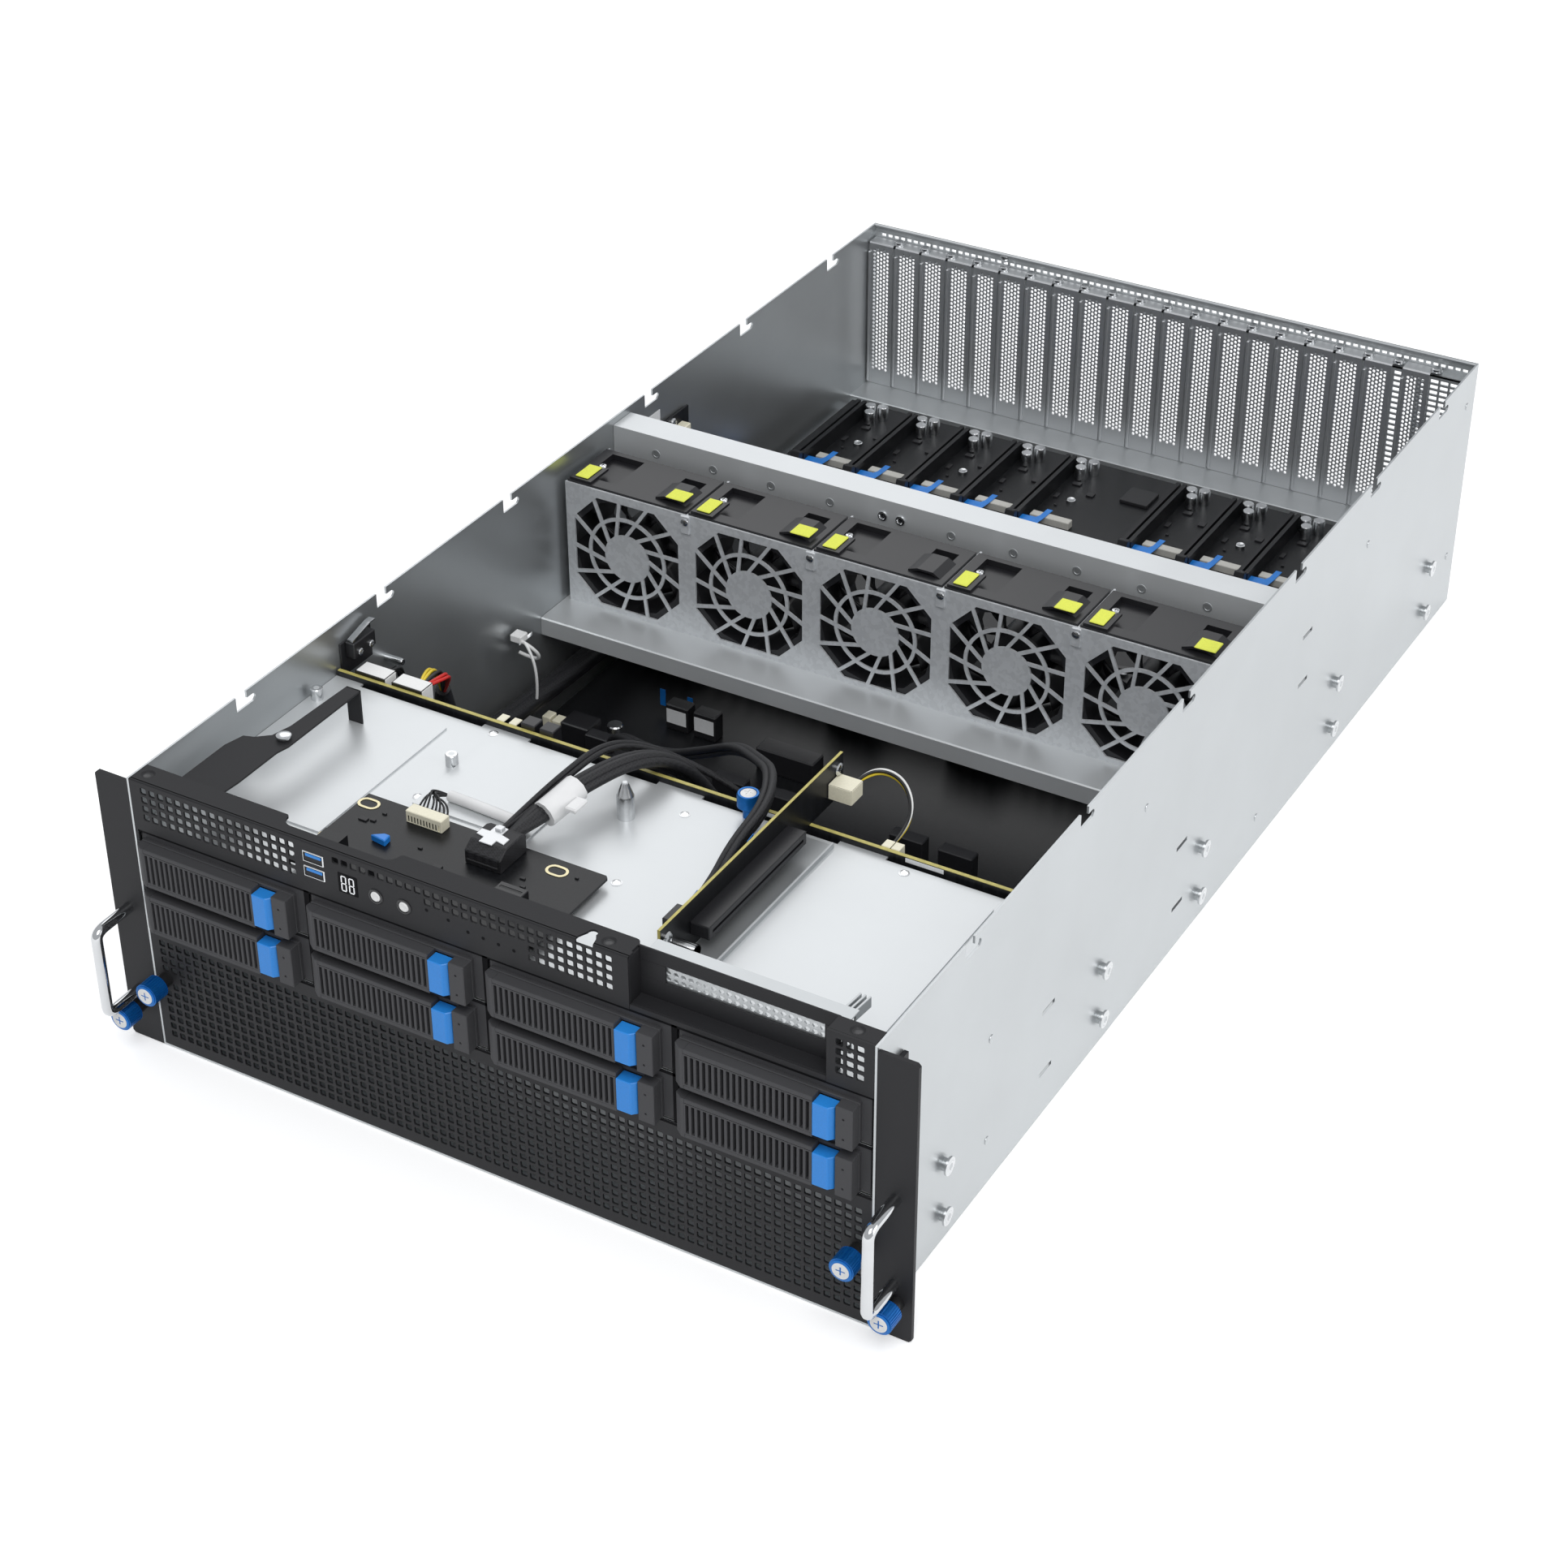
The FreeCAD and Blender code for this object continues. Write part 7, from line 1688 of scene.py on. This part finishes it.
@dataclass
class FanWall(Section):
    """Wall with five punched guards, its beam, and the five fan modules behind."""

    count: int = 5
    pitch: float = 86.0
    axis_height: float = 117.5
    face: float = 400.0
    floor: float = 77.0
    top: float = 160.0
    half_window: float = 37.0
    window_corner: float = 16.5
    hub: float = 15.8
    ring: float = 27.6
    bar: float = 2.2
    spokes: int = 13
    swirl: float = 9.0
    beam_front: float = 372.0
    beam_rear: float = 450.0
    inner_half: float = 218.35
    module_top: float = 161.3
    bare_module: int = 3

    def centres(self) -> list[float]:
        """Centre of each fan across the chassis."""
        first = -self.pitch * (self.count - 1) / 2
        return [first + i * self.pitch for i in range(self.count)]

    def window(self, x: float) -> Outline:
        """Cut-cornered outline of a guard's window.

        Args:
            x: Centre of the window.

        Returns:
            Its eight corners.
        """
        half = self.half_window
        short = half - self.window_corner
        z = self.axis_height
        return [
            (x - half, z - short), (x - short, z - half), (x + short, z - half), (x + half, z - short),
            (x + half, z + short), (x + short, z + half), (x - short, z + half), (x - half, z + short),
        ]

    def guard(self, x: float) -> list[Piece]:
        """Hub, ring and swirled spokes of one guard.

        Args:
            x: Centre of the fan.

        Returns:
            The loose bars of the guard.
        """
        z = self.axis_height
        front, rear = self.face, self.face + SHEET
        pieces = [outline_piece("guard_hub", arc((x, z), self.hub, 0.0, 352.5, 47), Axis.REAR, front, rear)]
        ring = outline_piece("guard_ring", arc((x, z), self.ring, 0.0, 354.0, 59), Axis.REAR, front, rear)
        inside = arc((x, z), self.ring - self.bar, 0.0, 354.0, 59)
        hole = outline_piece("ring_hole", inside, Axis.REAR, front - 1, rear + 1)
        pieces.append(carve(ring, [hole]))
        for i in range(self.spokes):
            turn = 2 * math.pi * i / self.spokes
            along = Vector((math.cos(turn), math.sin(turn)))
            across = Vector((-along.y, along.x))
            foot = math.sqrt(self.hub**2 - self.swirl**2) - 0.6
            reach = self.spoke_reach(along, across)
            corners = []
            for length, offset in ((foot, -1.0), (reach, -1.0), (reach, 1.0), (foot, 1.0)):
                point = along * length + across * (self.swirl + offset * self.bar / 2)
                corners.append((x + point.x, z + point.y))
            pieces.append(outline_piece("spoke", corners, Axis.REAR, front + 0.02, rear - 0.02))
        return pieces

    def spoke_reach(self, along: Vector, across: Vector) -> float:
        """Length at which a spoke meets the window's edge.

        Args:
            along: Direction of the spoke.
            across: Direction in which it is offset.

        Returns:
            The length from the foot of the offset.
        """
        half = self.half_window
        slant = (2 * half - self.window_corner) / math.sqrt(2)
        length = 0.0
        while length < 70.0:
            point = along * length + across * self.swirl
            if max(abs(point.x), abs(point.y)) > half or (abs(point.x) + abs(point.y)) / math.sqrt(2) > slant:
                break
            length += 0.25
        return length + 0.8

    def wall(self) -> None:
        """Wall with its guards, beam below it, and side walls between the modules."""
        left = self.centres()[0] - self.pitch / 2
        right = self.centres()[-1] + self.pitch / 2
        face, floor, top = self.face, self.floor, self.top
        plate = box_piece("fan_face", (left, face, floor), (right, face + SHEET, top), 0.0)
        windows = []
        for x in self.centres():
            windows.append(outline_piece("window", self.window(x), Axis.REAR, face - 1, face + SHEET + 1))
        pieces = [carve(plate, windows)]
        for x in self.centres():
            pieces += self.guard(x)
        front, rear = self.beam_front, self.beam_rear
        beam = [
            (front, floor - 12.0), (front + SHEET, floor - 12.0), (front + SHEET, floor - SHEET),
            (rear, floor - SHEET), (rear, floor), (front + 0.8, floor), (front, floor - 0.8),
        ]
        ledge = outline_piece("fan_beam", beam, Axis.RIGHT, -self.inner_half, self.inner_half)
        # The beam under the fan wall takes the lighter zinc: painted light.
        dress(ledge, PALETTE.deck_zinc, stands_for=["fan_wall"])
        for i in range(self.count + 1):
            x = left + i * self.pitch
            x0 = max(left, x - 0.6)
            x1 = min(right, x + 0.6)
            pieces.append(box_piece("fan_side", (x0, face + 0.6, floor), (x1, rear, top - 0.4), 0.0))
            if 0 < i < self.count:
                pieces.append(box_piece("hook", (x - 3.0, face - 1.6, top - 12.0), (x + 3.0, face, top), 0.4))
        made = join("fan_wall_sheet", pieces)
        dress(made, PALETTE.fan_zinc, stands_for=["fan_wall"])
        places = [(left + i * self.pitch, face - 1.6, top - 4.0) for i in range(1, self.count)]
        rings = [(2.6, 0.0), (2.4, -0.5), (1.4, -0.9)]
        turned_row("fan_wall_rivets", places, Axis.REAR, rings, 18, PALETTE.screw_steel, "galvanised")

    def module(self, number: int, x: float) -> None:
        """Yellow pads and a screw on a fan module.

        Args:
            number: Number of the fan.
            x: Centre of the fan.
        """
        body = f"fan_module_{number}"
        top = self.module_top
        pads = [box_piece("pad", (x - 38.0, 404.0, top + 1.6), (x - 29.0, 420.0, top + 2.6), 0.4)]
        if number != self.bare_module:
            pads.append(box_piece("pad", (x + 25.0, 406.0, top + 3.0), (x + 38.0, 417.5, top + 4.0), 0.4))
        dress(join(f"pull_pads_{number}", pads), PALETTE.pad_yellow, body)
        name = f"module_screw_{number}"
        screw = cross_head(name, (x - 30.0, 422.5, top + 0.2), Axis.UP, 2.6, 2.6)
        dress(screw, PALETTE.screw_steel, body)

    def rotor(self, number: int, x: float) -> None:
        """Rotor with a round hub and twisted blades.

        Args:
            number: Number of the fan.
            x: Centre of the fan.
        """
        low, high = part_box(f"fan_rotor_{number}")
        front = low.y / MM + FRONT
        rear = high.y / MM + FRONT
        depth = rear - front
        rings = [(18.0, 0.0), (18.0, -depth + 2.0), (16.6, -depth), (5.0, -depth)]
        pieces = [turned_piece("rotor_hub", (x, rear, self.axis_height), Axis.REAR, rings, 40)]
        z = self.axis_height
        for i in range(7):
            deselect()
            bpy.ops.mesh.primitive_grid_add(x_subdivisions=6, y_subdivisions=5, size=1.0)
            blade = bpy.context.object
            for vertex in blade.data.vertices:
                u = vertex.co.x + 0.5
                v = vertex.co.y + 0.5
                radius = 17.4 + 19.0 * v
                sweep = math.radians(360.0 / 7 * i + 44.0 * (u - 0.5) + 16.0 * v)
                along = front + 3.0 + (depth - 6.0) * (1.0 - u) + 1.6 * math.sin(math.pi * u)
                vertex.co = spot(x + radius * math.sin(sweep), along, z + radius * math.cos(sweep))
            modify(blade, "SOLIDIFY", thickness=1.4 * MM, offset=0.0)
            bpy.ops.object.shade_smooth()
            pieces.append(blade)
        made = join(f"rotor_{number}", pieces)
        dress(made, PALETTE.part_black, f"rotor_{number}", stands_for=[f"fan_rotor_{number}"])

    def build(self) -> None:
        """Make the wall and dress the modules."""
        self.wall()
        for number, x in enumerate(self.centres(), start=1):
            self.repaint(f"fan_module_{number}", PALETTE.part_black)
            self.module(number, x)
            self.rotor(number, x)


@dataclass
class GpuDeck(Section):
    """Board with eight card connectors, feeds, tabs and capacitors."""

    first: float = -196.5
    pitch: float = 20.32
    steps: tuple[int, ...] = (0, 2, 4, 6, 8, 12, 14, 16)
    front: float = 653.0
    top: float = 57.3
    feed_shift: float = 21.0
    can_places: tuple[tuple[float, float], ...] = ((8.0, 740.0), (16.5, 742.0), (12.0, 731.0))
    chips: tuple[tuple[float, ...], ...] = (
        (6.5, 700.0, 3.0, 6.0), (12.0, 690.0, 2.0, 1.2), (25.0, 712.0, 5.0, 5.0), (10.0, 722.0, 6.0, 4.0),
    )

    def build(self) -> None:
        """Dress the board and add its parts."""
        self.repaint("gpu_board", PALETTE.board_black)
        centres = [self.first + step * self.pitch for step in self.steps]
        front, top = self.front, self.top
        latches, feeds, tabs, cans, chips = [], [], [], [], []
        rings = [(3.9, 0.0), (3.9, 9.6), (3.5, 10.2), (1.8, 10.2)]
        for x in centres:
            latch = [(front - 9.0, top), (front - 1.0, top), (front, top + 12.4)]
            latch += [(front - 5.0, top + 14.0), (front - 9.0, top + 6.0)]
            latches.append(outline_piece("card_latch", latch, Axis.RIGHT, x - 3.4, x + 3.4, 0.5))
            feed_x = x + self.feed_shift
            feeds += blocks([(feed_x - 14.2, 663.8, 28.4, 6.4, 5.3)], top, 0.4)
            tab = [(feed_x - 2, 674.0), (feed_x - 6, 674.0), (feed_x - 6.5, 664.0), (feed_x - 8, 660.6)]
            tab += [(feed_x - 17.4, 660.0), (feed_x - 17, 649.0), (feed_x - 4, 650.0), (feed_x - 2.6, 662.0)]
            tabs.append(outline_piece("feed_tab", tab, Axis.UP, top + 5.6, top + 6.0, 0.1))
            for shift, depth in self.can_places:
                cans.append(turned_piece("can", (x + shift, depth, top), Axis.UP, rings, 20))
            chips += blocks([(x + shift, *size, 1.2) for shift, *size in self.chips], top, 0.15)
        chips += blocks([(14.0, 716.0, 20.0, 20.0, 2.4)], top, 0.3)
        dress(join("card_latches", latches), PALETTE.part_black)
        dress(join("feed_sockets", feeds), PALETTE.feed_grey)
        dress(join("feed_tabs", tabs), PALETTE.film_blue)
        dress(join("gpu_board_cans", cans), PALETTE.screw_steel)
        dress(join("gpu_board_chips", chips), PALETTE.chip_black)
        places = [(x + 20.0, depth, top) for x in centres[::2] for depth in (520.0, 700.0)]
        rings = [(3.2, 0.0), (3.2, 2.0), (2.6, 2.4), (1.2, 2.0)]
        turned_row("gpu_board_screws", places, Axis.UP, rings, 12, PALETTE.screw_steel, "galvanised")


@dataclass
class RearWall(Section):
    """Rear panel with its perforated slot covers and their screws, and the power supplies."""

    pitch: float = 20.32
    first: float = -208.4
    count: int = 19
    extra: float = 5.3
    face: float = 788.5
    bottom: float = 57.4
    seat: float = 164.4
    frame_depth: float = 789.7
    inside: float = 798.8
    outside: float = 800.0
    supply_places: tuple[float, ...] = (-176.5, -100.0, 100.0, 176.5)

    def centres(self) -> list[float]:
        """Centre of every slot cover."""
        places = [self.first + i * self.pitch for i in range(self.count)]
        return places + [places[-1] + self.pitch + self.extra]

    def cover(self) -> Piece:
        """One bent cover with staggered round holes.

        Returns:
            The cover at the first slot.
        """
        x, face, bottom, seat = self.first, self.face, self.bottom, self.seat
        sheet = 1.0
        columns, rows = 5, 32
        pitch_x, pitch_z = 2.5, 2.9
        left = x - columns * pitch_x / 2
        right = left + columns * pitch_x
        pieces = []
        for column in range(columns):
            x0 = left + column * pitch_x
            x1 = x0 + pitch_x
            low = 68.0 + (pitch_z / 2 if column % 2 else 0.0)
            top = low + rows * pitch_z
            pieces.append(perforated_sheet("holes", (x0, low), (x1, top), face, (1, rows), 0.75, sheet, 0.5))
            pieces.append(box_piece("foot", (x0, face, bottom), (x1, face + sheet, low), 0.0))
            pieces.append(box_piece("neck", (x0, face, top), (x1, face + sheet, seat), 0.0))
        half = 9.2
        pieces.append(box_piece("side", (x - half, face, bottom), (left, face + sheet, seat), 0.0))
        pieces.append(box_piece("side", (right, face, bottom), (x + half, face + sheet, seat), 0.0))
        tab = [(face, seat), (face + 0.5, seat + 1.0), (798.6, seat + 1.0), (798.6, seat)]
        pieces.append(outline_piece("tab", tab, Axis.RIGHT, x - half, x + half, 0.1))
        x0, x1 = x - half - 0.4, x - half + 1.2
        ridge = [(x0, face - 1.6), (x1, face - 1.6), (x1, face), (x0, face)]
        pieces.append(outline_piece("ridge", ridge, Axis.UP, bottom + 1, seat - 6.0, 0.4))
        return join("cover", pieces)

    def covers(self) -> None:
        """Covers and their hexagon screws."""
        places = self.centres()
        shifts = [(x - places[0], 0.0, 0.0) for x in places]
        made = copies("slot_cover_sheets", self.cover(), shifts)
        dress(made, PALETTE.cover_steel, stands_for=["slot_covers"])
        rings = [(4.0, 0.0), (4.0, 0.5), (3.3, 0.6), (3.3, 2.2), (2.7, 2.6), (1.2, 2.2)]
        spots = [(x + 11.8, 793.6, self.seat + 1.0) for x in places]
        turned_row("cover_screws", spots, Axis.UP, rings, 12, PALETTE.screw_steel, "cover_steel")

    def panel(self) -> None:
        """Rear panel with its ledge, seat, square vents and supply openings."""
        half = 218.55
        seat, depth, inside, outside = self.seat, self.frame_depth, self.inside, self.outside
        ledge = [
            (764.0, 51.0), (765.2, 51.0), (765.2, 56.0), (inside, 56.0), (inside, 57.2), (764.6, 57.2), (764.0, 56.6),
        ]
        rest = [(depth, seat - SHEET), (outside, seat - SHEET), (outside, seat), (depth, seat)]
        pieces = [outline_piece("level", shape, Axis.RIGHT, -half, half) for shape in (ledge, rest)]
        first = self.first - 10.16
        left = self.first + 18.5 * self.pitch
        for x0, x1, cells, bar in (
            (first, left, (19, 1), 6.0),
            (left, left + 6.0, (1, 26), 1.4),
            (left + 6.0, left + 18.0, (1, 1), 5.0),
            (left + 18.0, half, (5, 26), 1.4),
        ):
            pieces.append(perforated_sheet("frame", (x0, 60.0), (x1, 162.0), depth, cells, bar, SHEET))
        for z0, z1 in ((57.2, 60.0), (162.0, seat)):
            pieces.append(box_piece("frame_edge", (-half, depth, z0), (half, depth + SHEET, z1), 0.0))
        end, low, high = 214.4, 165.6, 169.4
        pieces.append(perforated_sheet("top_vents", (-end, low), (end, high), inside, (86, 1), 1.6, SHEET))
        pieces.append(box_piece("top_low", (-half, inside, seat), (half, outside, low), 0.0))
        pieces.append(box_piece("top_high", (-half, inside, high), (half, outside, 174.5), 0.3))
        for x0, x1 in ((-half, -end), (end, half)):
            pieces.append(box_piece("top_end", (x0, inside, low), (x1, outside, high), 0.0))
        hem = [(796.8, 173.3), (outside, 173.3), (outside, 174.5), (796.8, 174.5)]
        pieces.append(outline_piece("hem", hem, Axis.RIGHT, -half, half, 0.3))
        wall = box_piece("lower_wall", (-half, inside, 1.2), (half, outside, 56.4), 0.0)
        tools = [box_piece("mouth", (x - 37.1, 797.0, 1.0), (x + 37.1, 802.0, 41.8), 0.0) for x in self.supply_places]
        tools.append(box_piece("ports", (-52.0, 797.0, 8.0), (52.0, 802.0, 38.0), 0.0))
        pieces.append(carve(wall, tools))
        pieces.append(perforated_sheet("port_vents", (-52.0, 8.0), (52.0, 38.0), inside + 0.1, (26, 8), 1.2, 0.9))
        dress(join("rear_panel_sheet", pieces), PALETTE.zinc, stands_for=["rear_panel"])
        spots = [(-118.0, 796.6, 171.4), (104.0, 796.6, 171.4)]
        rings = [(3.0, 2.3), (3.0, 1.0), (2.2, 0.4), (0.9, 0.3)]
        turned_row("rear_band_screws", spots, Axis.REAR, rings, 18, PALETTE.screw_steel, "galvanised")

    def supplies(self) -> None:
        """Finger guards and blue release tabs on the supplies."""
        for number, x in enumerate(self.supply_places, start=1):
            body = f"supply_{number}"
            self.repaint(f"power_supply_{number}", PALETTE.supply_case)
            rings = []
            for radius in (15.6, 11.4, 7.2):
                outer, inner = (arc((x - 15.0, 21.4), size, 0.0, 350.0, 35) for size in (radius, radius - 1.1))
                wire = outline_piece("wire", outer, Axis.REAR, 800.6, 801.4)
                rings.append(carve(wire, [outline_piece("inner", inner, Axis.REAR, 800.0, 802.0)]))
            rings.append(box_piece("spoke", (x - 30.6, 800.6, 20.9), (x + 0.6, 801.6, 21.9), 0.2))
            rings.append(box_piece("spoke", (x - 15.5, 800.6, 5.8), (x - 14.5, 801.6, 37.0), 0.2))
            dress(join(f"supply_guard_{number}", rings), PALETTE.screw_steel, body)
            tab = [(x + 20.6, 800.4), (x + 30.9, 800.4), (x + 30.9, 808.8), (x + 20.6, 808.8)]
            release = outline_piece(f"supply_tab_{number}", tab, Axis.UP, 35.3, 37.9, 0.5)
            dress(release, PALETTE.latch_blue, body)

    def build(self) -> None:
        """Make the rear wall."""
        self.panel()
        self.covers()
        self.supplies()


def main() -> None:
    """Build the server and its stage in order."""
    logging.basicConfig(level=logging.INFO, format="%(name)s: %(message)s")
    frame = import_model()
    Stage().build()
    for section in (Shell, FrontFace, DriveBay, Deck, MainBoard, FanWall, GpuDeck, RearWall):
        section(frame).build()
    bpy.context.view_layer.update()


if __name__ == "__main__":
    main()
